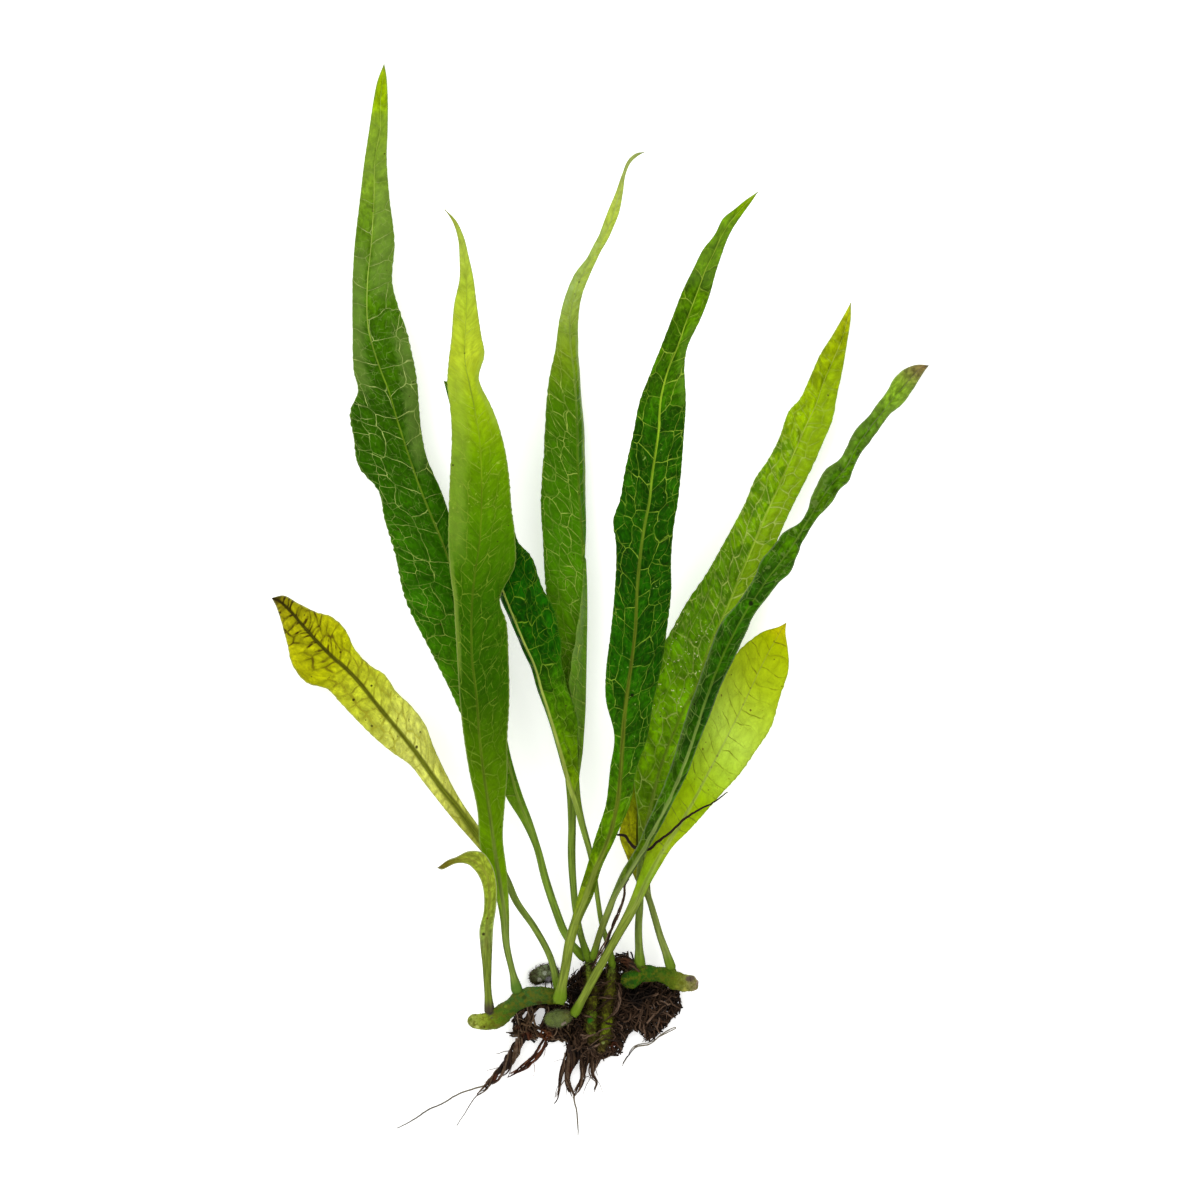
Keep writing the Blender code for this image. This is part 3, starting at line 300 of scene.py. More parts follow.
def makeFrond(frond):
    frond = {**usualLeaf, **frond}
    at, bladeEnd, left, rib, right, radius = frondRows(frond)
    seed = frond["seed"]
    along = unit(np.gradient(rib, at, axis=0))
    up = unit(np.cross(along, unit(right - left)))
    free = smoothStep(0, 12, at) * smoothStep(bladeEnd, bladeEnd - 25, at)
    rippleHeight, rippleLength = frond["ripple"]
    halves = []
    for sign, margin, other in ((-1, left, right), (1, right, left)):
        side = margin - rib
        width = np.maximum(np.linalg.norm(side, axis=1), radius)
        side = unit(side)
        nick = 1 + 0.012 * wander(seed + 5 + sign, 2.2, at) * free
        margin = rib + side * (width * nick)[:, None]
        wave = rippleHeight * wander(seed + 11 + sign, rippleLength, at) * free
        margin = margin + up * wave[:, None]
        outward = unit(rib - other)
        folded = np.clip(-(side * outward).sum(1), 0, 1)
        bend = (rib + margin) / 2 + up * (frond["arch"] * width * free)[:, None]
        bend = bend + outward * (0.5 * width * folded)[:, None]
        shares = halfShares(width, radius)[:, :, None]
        surface = rib[:, None] * (1 - shares) ** 2 + 2 * shares * (1 - shares) * bend[:, None]
        surface = surface + margin[:, None] * shares ** 2
        halves.append((surface, shares[:, :, 0] * width[:, None], width))
    (leftGrid, leftWay, leftWidth), (rightGrid, rightWay, rightWidth) = halves
    middle = np.concatenate([leftGrid[:, :0:-1], rightGrid], axis=1)
    way = np.concatenate([-leftWay[:, :0:-1], rightWay], axis=1)
    width = np.concatenate([
        np.repeat(leftWidth[:, None], leftWay.shape[1] - 1, axis=1),
        np.repeat(rightWidth[:, None], rightWay.shape[1], axis=1),
    ], axis=1)
    normal = unit(np.cross(np.gradient(middle, axis=0), np.gradient(middle, axis=1)))

    distance = np.abs(way)
    radiusHere = radius[:, None]
    roundness = np.sqrt(np.clip(1 - (distance / (radiusHere * 1.25)) ** 2, 0, 1))
    stalkRound = np.sqrt(np.clip(1 - (distance / radiusHere) ** 2, 0, 1))
    inBlade = smoothStep(0.15, 0.9, width - radiusHere)
    taper = np.clip(at / 5, 0.1, 1)[:, None] ** 0.5
    sheet = leafBuild["halfThickness"] * taper * inBlade
    sheet = sheet * np.sqrt(np.clip((width - distance) / 0.12, 0, 1))
    ribAbove = radiusHere * (roundness * leafBuild["ribRise"] * inBlade + stalkRound * (1 - inBlade))
    ribBelow = radiusHere * (roundness * inBlade + stalkRound * (1 - inBlade))
    above = (sheet ** 3 + ribAbove ** 3) ** (1 / 3)
    below = (sheet ** 3 + ribBelow ** 3) ** (1 / 3)
    upper = middle + normal * above[:, :, None]
    lower = (middle - normal * below[:, :, None])[:, -2:0:-1]

    rows = len(at)
    def ring(values):
        return np.concatenate([values, values[:, -2:0:-1]], axis=1)
    face = np.concatenate([np.ones(way.shape), -np.ones(lower.shape[:2])], axis=1)
    points = np.concatenate([upper, lower], axis=1)
    sides = points.shape[1]
    ringWay, ringWidth = ring(way), ring(width)
    atHere = np.repeat(at[:, None], sides, axis=1)
    ribRatio = np.abs(ringWay) / (1.25 * radiusHere)
    leafMap = np.stack([ringWay, atHere, atHere / bladeEnd], axis=2)
    leafEdge = np.stack([ringWidth - np.abs(ringWay), ribRatio, face], axis=2)
    slant = atHere + frond["lean"] * np.abs(ringWay)
    drift = 0.5 * wander(seed + 21, 9.0, ringWay, atHere)
    veinMap = np.stack([
        np.abs(ringWay) + 0.35 * wander(seed + 23, 8.0, ringWay, atHere),
        slant + drift,
        (ringWay < 0) * 1.0,
    ], axis=2)
    lift = ring(normal)

    faces = []
    for row in range(rows - 1):
        start = row * sides
        for side in range(sides):
            following = (side + 1) % sides
            faces.append((start + side, start + following, start + sides + following, start + sides + side))
    faces.append(tuple(range(sides)))
    faces.append(tuple(range((rows - 1) * sides, rows * sides)))
    toFoot = np.stack([at[-1] - atHere, atHere * 0, atHere * 0], axis=2)
    flat = {"leafMap": leafMap, "leafEdge": leafEdge, "veinMap": veinMap, "lift": lift, "toFoot": toFoot}
    flat = {name: values.reshape(-1, 3) for name, values in flat.items()}
    piece = newPiece(frond["piece"], points.reshape(-1, 3), faces, flat)
    runTree(piece, leafRelief, {
        "Puff": frond["puff"] * mm,
        "Cell Across": frond["cell"][0],
        "Cell Along": frond["cell"][1],
        "Material": leafMaterial(frond),
    })
    finishPiece(piece, frond["node"])
    print(f"{frond['piece']} has {len(piece.data.polygons)} faces")


def crookedMap(tree, veinMap):
    # the vein map with small bends in it, so that no vein runs straight
    bend = addNode(tree, "ShaderNodeTexNoise", {"Vector": veinMap, "Scale": 0.35, "Detail": 1.0}, out=1)
    bend = addNode(tree, "ShaderNodeVectorMath", {0: bend, 1: (0.5, 0.5, 0.5)}, operation="SUBTRACT")
    bend = addNode(tree, "ShaderNodeVectorMath", {0: bend, 1: (1.3, 1.3, 0.0), 2: veinMap}, operation="MULTIPLY_ADD")
    return bend


def netCell(tree, veinMap, across, along):
    # the place in the vein net, in cells, with a net of its own on each side of the midrib
    parts = addNode(tree, "ShaderNodeSeparateXYZ", {0: veinMap}, out=None)
    x = addNode(tree, "ShaderNodeMath", {0: parts.outputs[0], 1: across}, operation="DIVIDE")
    y = addNode(tree, "ShaderNodeMath", {0: parts.outputs[1], 1: along}, operation="DIVIDE")
    side = addNode(tree, "ShaderNodeMath", {0: parts.outputs[2], 1: 0.5}, operation="GREATER_THAN")
    y = addNode(tree, "ShaderNodeMath", {0: side, 1: 37.4, 2: y}, operation="MULTIPLY_ADD")
    return addNode(tree, "ShaderNodeCombineXYZ", {0: x, 1: y})


def addMarks(tree, base, place, marks):
    # scars, pits and patches with ragged edges, laid over the base colour; on the roots some of them are painted shade
    ragged = addNode(tree, "ShaderNodeTexNoise", {"Vector": place, "Scale": 0.9, "Detail": 4.0})
    for x, y, z, radius, text in marks:
        away = addNode(tree, "ShaderNodeVectorMath", {0: place, 1: (x, y, z)}, out=1, operation="DISTANCE")
        away = addNode(tree, "ShaderNodeMath", {0: ragged, 1: radius, 2: away}, operation="MULTIPLY_ADD")
        share = addNode(tree, "ShaderNodeMapRange", {"Value": away, "From Min": radius, "From Max": radius * 1.7,
                                                     "To Min": 0.92, "To Max": 0.0}, interpolation_type="SMOOTHSTEP")
        base = addNode(tree, "ShaderNodeMix", {0: share, 6: base, 7: colour(text)}, data_type="RGBA", out=2)
    return base


netDisorder = 0.6           # at 0 the cells are a plain grid, in rows from the midrib to the margin


def makeLeafRelief():
    # the blade swells between the main veins, and the veins lie in the furrows
    tree, given, end = newTree("leafRelief", {
        "Puff": "NodeSocketFloat",
        "Cell Across": "NodeSocketFloat",
        "Cell Along": "NodeSocketFloat",
        "Material": "NodeSocketMaterial",
    })
    read = {"data_type": "FLOAT_VECTOR"}
    veinMap = addNode(tree, "GeometryNodeInputNamedAttribute", {"Name": "veinMap"}, **read)
    leafEdge = addNode(tree, "GeometryNodeInputNamedAttribute", {"Name": "leafEdge"}, **read)
    lift = addNode(tree, "GeometryNodeInputNamedAttribute", {"Name": "lift"}, **read)
    cell = netCell(tree, crookedMap(tree, veinMap), given["Cell Across"], given["Cell Along"])
    vein = addNode(tree, "ShaderNodeTexVoronoi", {"Vector": cell, "Scale": 1.0, "Randomness": netDisorder},
                   voronoi_dimensions="2D", feature="DISTANCE_TO_EDGE")
    dome = addNode(tree, "ShaderNodeMapRange", {"Value": vein, "From Max": 0.32},
                   interpolation_type="SMOOTHSTEP")
    edge = addNode(tree, "ShaderNodeSeparateXYZ", {0: leafEdge}, out=None)
    fromMargin = addNode(tree, "ShaderNodeMapRange", {"Value": edge.outputs[0], "From Max": 1.6},
                         interpolation_type="SMOOTHSTEP")
    fromRib = addNode(tree, "ShaderNodeMapRange", {"Value": edge.outputs[1], "From Min": 0.8, "From Max": 2.2},
                      interpolation_type="SMOOTHSTEP")
    height = addNode(tree, "ShaderNodeMath", {0: dome, 1: fromMargin}, operation="MULTIPLY")
    height = addNode(tree, "ShaderNodeMath", {0: height, 1: fromRib}, operation="MULTIPLY")
    height = addNode(tree, "ShaderNodeMath", {0: height, 1: given["Puff"]}, operation="MULTIPLY")
    offset = addNode(tree, "ShaderNodeVectorMath", {0: lift, "Scale": height}, operation="SCALE")
    moved = addNode(tree, "GeometryNodeSetPosition", {"Geometry": given["Geometry"], "Offset": offset})
    endTree(tree, end, moved, given["Material"])
    return tree


# what most fronds share; a frond's own dictionary says where it differs. Lengths along a blade are from its tip
usualLeaf = {
    "ripple": (0.28, 9.0),      # height and length of the margin's waves
    "arch": 0.06,
    "puff": 0.32,               # swelling between the veins
    "lean": 0.4,                # how far the side veins point to the tip
    "cell": (3.4, 5.8),         # the vein net's cells, across and along
    "veins": 0.85,
    "veinWidth": 0.13,
    "bareTip": 0.05,            # the share of the blade before the net is at its clearest
    "outerNet": (3.6, 2.4, 0.6),    # how far from the midrib the smaller cells start, their size and their strength
    "fineCell": 1.4,
    "fineVeins": 0.3,
    "halo": 0.05,
    "sideVeins": (6.0, 4.0, 0.0, 1.0),      # pitch, reach, strength, and the share of the blade that has them
    "clouds": 0.5,
    "mottle": 0.4,
    "grain": (1.3, 0.7),        # the grain's pace across and along
    "grainDepth": 0.3,
    # the sheens are painted: a pale wash in the base colour that stands in for gloss on turned margins
    "paintedSheens": [],               # greyish sheens by the margin: side, start, end, reach, strength
    "paintedSheenColour": "#7f9a70",
    # flecks are partly painted glints and highlights, partly real pale, green or brown spots
    "flecksAndGlints": [],               # pace, threshold, strength, colour, side, start, end
    "specks": 0.05,
    "speckColour": "#3c3210",
    "rim": 0.3,
    "rimColour": "#8ca04c",
    "marks": [],                # scars and spots: x, y, 0, radius, colour
    "rib": 0.8,
    "ribWidth": 0.7,
    "tipRib": 1.0,              # how much wider the midrib is drawn at the tip
    "stalkColour": "#869838",
    "footColour": "#6c8c1c",
    "under": 0.6,
    "underColour": "#8aa05c",
    "roughness": 0.38,
    "shine": 0.07,
    "blisters": 0.0,            # how much the small cells swell
    "glow": 0.2,
}


def leafMaterial(leaf):
    # a waxy fern blade: soft gloss on thin green skin that lets some light through, over a pale net of veins
    material = bpy.data.materials.new("waxyFernLeaf_" + leaf["piece"])
    material.use_nodes = True
    tree = material.node_tree
    skin = tree.nodes["Principled BSDF"]
    output = tree.nodes["Material Output"]

    def math_(kind, first, second, third=0.0):
        return addNode(tree, "ShaderNodeMath", {0: first, 1: second, 2: third}, operation=kind)

    def scaled(vector, factor):
        kind = "SCALE" if isinstance(factor, bpy.types.NodeSocket) else "MULTIPLY"
        sockets = {0: vector, "Scale": factor} if kind == "SCALE" else {0: vector, 1: factor}
        return addNode(tree, "ShaderNodeVectorMath", sockets, operation=kind)

    def ranged(value, low, high, start=0.0, end=1.0):
        sockets = {"Value": value, "From Min": low, "From Max": high, "To Min": start, "To Max": end}
        return addNode(tree, "ShaderNodeMapRange", sockets, interpolation_type="SMOOTHSTEP")

    def noise(vector, pace, detail=3.0):
        return addNode(tree, "ShaderNodeTexNoise", {"Vector": vector, "Scale": pace, "Detail": detail, "Roughness": 0.6})

    def tinted(share, base, paint):
        if isinstance(paint, str):
            paint = colour(paint)
        return addNode(tree, "ShaderNodeMix", {0: share, 6: base, 7: paint}, out=2, data_type="RGBA")

    def ramp(stops):
        return addNode(tree, "ShaderNodeValToRGB", {0: share}, stops=stops)

    def stretchOf(side, start, end):
        # 1 between two places along the blade, on one side of the midrib or on both, with soft ends
        far = math_("ABSOLUTE", math_("SUBTRACT", along, (start + end) / 2), 0.0)
        half = (end - start) / 2
        mask = ranged(far, half * 0.6, half, 1.0, 0.0)
        return math_("MULTIPLY", mask, ranged(math_("MULTIPLY", across, side), -0.1, 0.8)) if side else mask

    def attribute(name):
        read = addNode(tree, "ShaderNodeAttribute", out=1, attribute_type="GEOMETRY", attribute_name=name)
        return read, addNode(tree, "ShaderNodeSeparateXYZ", {0: read}, out=None).outputs

    leafMap, (across, along, share) = attribute("leafMap")
    fromMargin, ribRatio, face = attribute("leafEdge")[1]
    veinMap = crookedMap(tree, attribute("veinMap")[0])
    toVein, alongVein, isLeft = addNode(tree, "ShaderNodeSeparateXYZ", {0: veinMap}, out=None).outputs
    cellAcross, cellAlong = leaf["cell"]
    cell = netCell(tree, veinMap, cellAcross, cellAlong)

    # the green from tip to stalk, in clouds and from cell to cell, paler and greyer on the underside
    base = ramp(leaf["bladeColours"])
    net = {"Vector": cell, "Scale": 1.0, "Randomness": netDisorder}
    tone = addNode(tree, "ShaderNodeTexVoronoi", net, out=1, voronoi_dimensions="2D", feature="F1")
    tone = addNode(tree, "ShaderNodeSeparateXYZ", {0: tone})
    netted = ranged(share, leaf["bareTip"] * 0.3, leaf["bareTip"], 0.15, 1.0)
    tone = math_("MULTIPLY", tone, netted)
    cloud = ranged(noise(scaled(leafMap, (1.0, 0.6, 0.0)), 0.16), 0.38, 0.62)
    tone = ranged(math_("MULTIPLY_ADD", cloud, 0.6, tone), 0.35, 1.25, 0.0, leaf["clouds"])
    base = tinted(tone, base, leaf["cloudColour"])
    base = tinted(ranged(face, -0.5, 0.5, leaf["under"], 0.0), base, leaf["underColour"])
    grainAcross, grainAlong = leaf["grain"]
    grain = noise(scaled(veinMap, (grainAcross, grainAlong, 5.0)), 1.0, 4.0)
    depth, mottle = leaf["grainDepth"], leaf["mottle"]
    light = ranged(grain, 0.33, 0.67, 1 - depth, 1 + depth)
    blister = ranged(noise(veinMap, 0.42, 4.0), 0.33, 0.67, 1 - mottle, 1 + mottle)
    base = scaled(base, math_("MULTIPLY", light, blister))

    # painted sheen: a greyish wash where the margin turns away, standing in for its gloss; then flecks, partly painted
    # glints and highlights, partly real pale or brown spots
    for side, start, end, reach, strength in leaf["paintedSheens"]:
        ragged = math_("MULTIPLY_ADD", blister, -reach * 0.5, fromMargin)
        sheen = ranged(ragged, 0.0, reach * 0.6, strength, 0.0)
        base = tinted(math_("MULTIPLY", sheen, stretchOf(side, start, end)), base, leaf["paintedSheenColour"])
    for pace, threshold, strength, paint, side, start, end in leaf["flecksAndGlints"]:
        fleck = noise(leafMap, pace, 2.0)
        fleck = ranged(fleck, threshold, threshold + 0.05, 0.0, strength)
        base = tinted(math_("MULTIPLY", fleck, stretchOf(side, start, end)), base, paint)

    # the net: strong veins round the large cells, side veins from the midrib, and a broken finer net inside
    vein = addNode(tree, "ShaderNodeTexVoronoi", net, voronoi_dimensions="2D", feature="DISTANCE_TO_EDGE")
    # painted shade and light: each large cell is darker towards the veins round it and lighter in its middle, as on
    # swollen cells
    base = scaled(base, ranged(vein, 0.02, 0.28, 1 - mottle * 0.3, 1.08))
    width = leaf["veinWidth"] * 2 / (cellAcross + cellAlong)
    clear = ranged(noise(leafMap, 0.3), 0.4, 0.62, 0.3, 1.0)
    clear = math_("MULTIPLY", clear, netted)
    line = math_("MULTIPLY", ranged(vein, width * 0.4, width, leaf["veins"], 0.0), clear)
    line = math_("MULTIPLY", line, ranged(toVein, cellAcross * 1.1, cellAcross * 1.4, 1.0, 0.2))
    pitch, reach, strength, last = leaf["sideVeins"]
    if strength:
        turn = math_("FRACT", math_("MULTIPLY_ADD", isLeft, 0.4, math_("DIVIDE", alongVein, pitch)), 0.0)
        off = math_("ABSOLUTE", math_("SUBTRACT", turn, 0.5), 0.0)
        drawn = ranged(off, leaf["veinWidth"] * 0.5 / pitch, leaf["veinWidth"] * 1.3 / pitch, strength, 0.0)
        drawn = math_("MULTIPLY", drawn, ranged(toVein, reach * 0.6, reach, 1.0, 0.0))
        drawn = math_("MULTIPLY", drawn, ranged(share, last * 0.85, last, 1.0, 0.0))
        drawn = math_("MULTIPLY", drawn, ranged(noise(leafMap, 0.25), 0.4, 0.6, 0.2, 1.0))
        line = math_("MAXIMUM", line, drawn)
    start, size, strength = leaf["outerNet"]
    outer = netCell(tree, veinMap, size, size * 1.4)
    outer = addNode(tree, "ShaderNodeTexVoronoi", {"Vector": outer, "Scale": 1.0, "Randomness": 0.65},
                    voronoi_dimensions="2D", feature="DISTANCE_TO_EDGE")
    thin = leaf["veinWidth"] * 0.7 / size
    drawn = math_("MULTIPLY", ranged(outer, thin * 0.4, thin, strength, 0.0), ranged(toVein, start - 1.0, start + 0.6, 0.2, 1.0))
    drawn = math_("MULTIPLY", drawn, clear)
    line = math_("MAXIMUM", line, drawn)
    swell = ranged(outer, 0.0, 0.35)
    fineCell = netCell(tree, veinMap, leaf["fineCell"], leaf["fineCell"] * 1.2)
    fine = addNode(tree, "ShaderNodeTexVoronoi", {"Vector": fineCell, "Scale": 1.0}, voronoi_dimensions="2D",
                   feature="DISTANCE_TO_EDGE")
    fine = ranged(fine, 0.015, 0.08, leaf["fineVeins"], 0.0)
    fine = math_("MULTIPLY", fine, ranged(noise(veinMap, 0.7, 1.0), 0.46, 0.58))
    fine = math_("MULTIPLY", fine, clear)
    veinColour = ramp(leaf["veinColours"])
    base = tinted(math_("MULTIPLY", ranged(vein, 0.0, width * 3, leaf["halo"], 0.0), clear), base, veinColour)
    base = tinted(fine, base, veinColour)
    base = tinted(line, base, veinColour)

    # small dark specks, and the thin rim of the blade
    speck = addNode(tree, "ShaderNodeTexVoronoi", {"Vector": leafMap, "Scale": 0.45}, out=None, voronoi_dimensions="2D")
    chosen = addNode(tree, "ShaderNodeSeparateXYZ", {0: speck.outputs["Color"]})
    size = addNode(tree, "ShaderNodeMapRange", {"Value": chosen, "From Min": 1 - leaf["specks"], "From Max": 1.001,
                                                "To Min": 0.0, "To Max": 0.13})
    spot = math_("MULTIPLY", math_("LESS_THAN", speck.outputs["Distance"], size), 0.8)
    base = tinted(spot, base, leaf["speckColour"])
    base = tinted(ranged(fromMargin, 0.1, 0.45, leaf["rim"], 0.0), base, leaf["rimColour"])

    # the midrib, which runs out into the stalk, with streaks along it, the foot on the rhizome, and painted shade along
    # its sides
    inStalk = ranged(share, 0.93, 1.06)
    ribColour = tinted(inStalk, ramp(leaf["ribColours"]), leaf["stalkColour"])
    streak = noise(scaled(leafMap, (1.9, 0.12, 0.0)), 1.0)
    ribColour = scaled(ribColour, ranged(streak, 0.33, 0.67, 0.68, 1.28))
    toFoot = attribute("toFoot")[1][0]
    ribColour = tinted(ranged(toFoot, 2.0, 5.0, 0.85, 0.0), ribColour, leaf["footColour"])
    # painted shade: the midrib and stalk darker towards their sides, as the shading of a round stalk
    ribColour = scaled(ribColour, ranged(fromMargin, 0.0, 0.5, 0.7, 1.0))
    ribWide = ranged(share, 0.0, 0.5, leaf["ribWidth"] * leaf["tipRib"], leaf["ribWidth"])
    ribShare = ranged(math_("DIVIDE", ribRatio, ribWide), 0.4, 1.0, 1.0, 0.0)
    ribShare = math_("MULTIPLY", ribShare, ranged(share, 0.9, 1.0, leaf["rib"], 1.0))
    base = tinted(math_("MAXIMUM", ribShare, inStalk), base, ribColour)
    place = scaled(addNode(tree, "ShaderNodeTexCoord", out=3), (1 / mm, 1 / mm, 0.0))
    base = addMarks(tree, base, place, leaf["marks"])

    # gloss in wet patches, and a fine relief of veins and grain
    gloss = ranged(noise(leafMap, 0.12, 2.0), 0.4, 0.65, leaf["roughness"] + 0.1, leaf["roughness"] - 0.1)
    height = math_("MULTIPLY_ADD", line, -0.6, math_("MULTIPLY", grain, 0.6))
    height = math_("MULTIPLY_ADD", fine, -0.6, height)
    height = math_("MULTIPLY_ADD", swell, leaf["blisters"], height)
    bump = addNode(tree, "ShaderNodeBump", {"Strength": 0.8, "Distance": 0.0003, "Height": height})
    tree.links.new(base, skin.inputs["Base Color"])
    tree.links.new(gloss, skin.inputs["Roughness"])
    tree.links.new(bump, skin.inputs["Normal"])
    skin.inputs["IOR"].default_value = 1.4
    skin.inputs["Specular Tint"].default_value = colour("#e4ecb0")
    skin.inputs["Specular IOR Level"].default_value = leaf["shine"]
    glow = addNode(tree, "ShaderNodeBsdfTranslucent", {"Color": base, "Normal": bump})
    mixed = addNode(tree, "ShaderNodeMixShader", {0: leaf["glow"], 1: skin.outputs[0], 2: glow})
    tree.links.new(mixed, output.inputs["Surface"])
    return material


leafRelief = makeLeafRelief()


# the longest frond, at the left, dark with a clear pale net
tallLeft = {
    "piece": "tallLeft",
    "node": "frond_tall_left",
    "slot": "leaf_dark",
    "seed": 101,
    "lean": 0.35,
    "cell": (7.2, 6.4),
    "outerNet": (6.2, 3.0, 0.8),
    "veins": 1.0,
    "veinWidth": 0.105,
    "halo": 0.08,
    "bareTip": 0.26,
    "fineVeins": 0.2,
    "mottle": 0.22,
    "grainDepth": 0.2,
    "ribWidth": 0.55,
    "veinColours": [(0.0, "#b4c46c"), (0.4, "#cce080"), (0.8, "#b4d050"), (1.0, "#a8bc50")],
    "bladeColours": [
    (0.0, "#9cb501"), (0.07, "#96b905"), (0.16, "#7da025"), (0.28, "#568502"), (0.36, "#406f00"),
    (0.46, "#305b00"), (0.7, "#336f00"), (0.86, "#498000"), (1.0, "#699401"),
    ],
    "clouds": 0.3,
    "cloudColour": "#1c4602",
    "paintedSheens": [
    (-1, 40, 84, 4.0, 0.55), (1, 26, 60, 7.0, 0.5), (1, 60, 104, 4.5, 0.55), (0, 10, 30, 8.0, 0.45),
    ],
    "paintedSheenColour": "#74903c",
    "rim": 0.45,
    "rimColour": "#7d9a3c",
    "ribColours": [
    (0.0, "#b8c850"), (0.25, "#bcd460"), (0.42, "#789820"), (0.8, "#7c9430"), (1.0, "#88a03c"),
    ],
    "stalkColour": "#7c9a34",
    "tip": (-51.8, 128.75, 0.3),
    "blade": [
        (-53.3, 124.9, -52.1, 124.9, -51.2, 125.5, 0.9, 0.1, 0.1),
        (-54.2, 120.6, -52.6, 120.6, -50.9, 120.6, 1.8, 0.2, 0.2),
        (-55.4, 112.4, -52.7, 112.9, -50.9, 112.9, 3.0, 0.3, 0.2),
        (-56.4, 105.7, -53.8, 106.4, -51.1, 106.7, 3.9, 0.3, 0.4),
        (-57.6, 95.4, -54.2, 95.4, -50.4, 96.1, 5.0, 0.4, 0.3),
        (-58.8, 84.8, -54.8, 85.3, -49.2, 85.8, 5.8, 0.2, -0.3),
        (-59.3, 75.7, -55.7, 75.5, -49.7, 75.7, 6.3, -0.8, 0.4),
        (-59.3, 64.9, -55.4, 64.9, -46.6, 65.4, 6.7, -1.5, 0.9),
        (-59.0, 54.8, -52.8, 55.8, -44.4, 56.3, 7.0, -1.2, 0.2),
        (-58.0, 49.8, -50.6, 50.0, -43.6, 50.5, 7.2, -0.4, -0.6),
        (-59.8, 45.2, -49.2, 45.2, -43.4, 46.9, 7.3, 0.9, -1.2),
        (-59.0, 39.0, -47.3, 39.0, -42.7, 40.4, 7.4, 1.2, -1.4),
        (-57.4, 31.3, -44.9, 31.8, -41.3, 33.7, 7.4, 0.8, -1.0),
        (-53.3, 26.5, -43.2, 27.0, -38.4, 27.0, 7.3, 0.0, -1.2),
        (-51.6, 19.3, -40.6, 20.5, -36.7, 22.4, 7.1, 0.3, -1.0),
        (-49.2, 11.4, -37.4, 12.8, -34.6, 15.7, 6.8, 0.6, -0.6),
        (-46.6, 0.1, -33.8, 2.0, -30.7, 4.9, 6.4, 0.4, 0.0),
        (-40.8, -11.9, -30.2, -9.5, -27.8, -7.1, 6.0, -0.3, 0.0),
        (-36.7, -20.0, -28.1, -17.9, -25.9, -16.2, 5.7, -0.5, 0.0),
        (-33.4, -27.2, -25.7, -25.8, -23.8, -24.4, 5.5, -0.3, 0.0),
        (-29.8, -34.7, -23.5, -34.0, -22.3, -33.0, 5.3, 0.0, 0.0),
        (-24.7, -41.9, -21.6, -40.2, -20.9, -39.2, 5.2, 0.0, 0.0),
        (-22.3, -47.6, -19.7, -47.2, -18.5, -46.9, 5.1, 0.1, 0.0),
        (-18.7, -53.4, -17.3, -53.2, -16.3, -52.7, 5.1, 0.0, 0.0),
    ],
    "stalk": [
        (-15.1, -59.2, 5.2, 0.85),
        (-13.0, -67.1, 5.2, 0.95),
        (-10.6, -74.3, 5.1, 0.95),
        (-8.4, -79.8, 5.1, 0.95),
        (-6.0, -83.4, 5.2, 0.9),
        (-4.5, -85.0, 5.4, 0.9),
    ],
}
makeFrond(tallLeft)


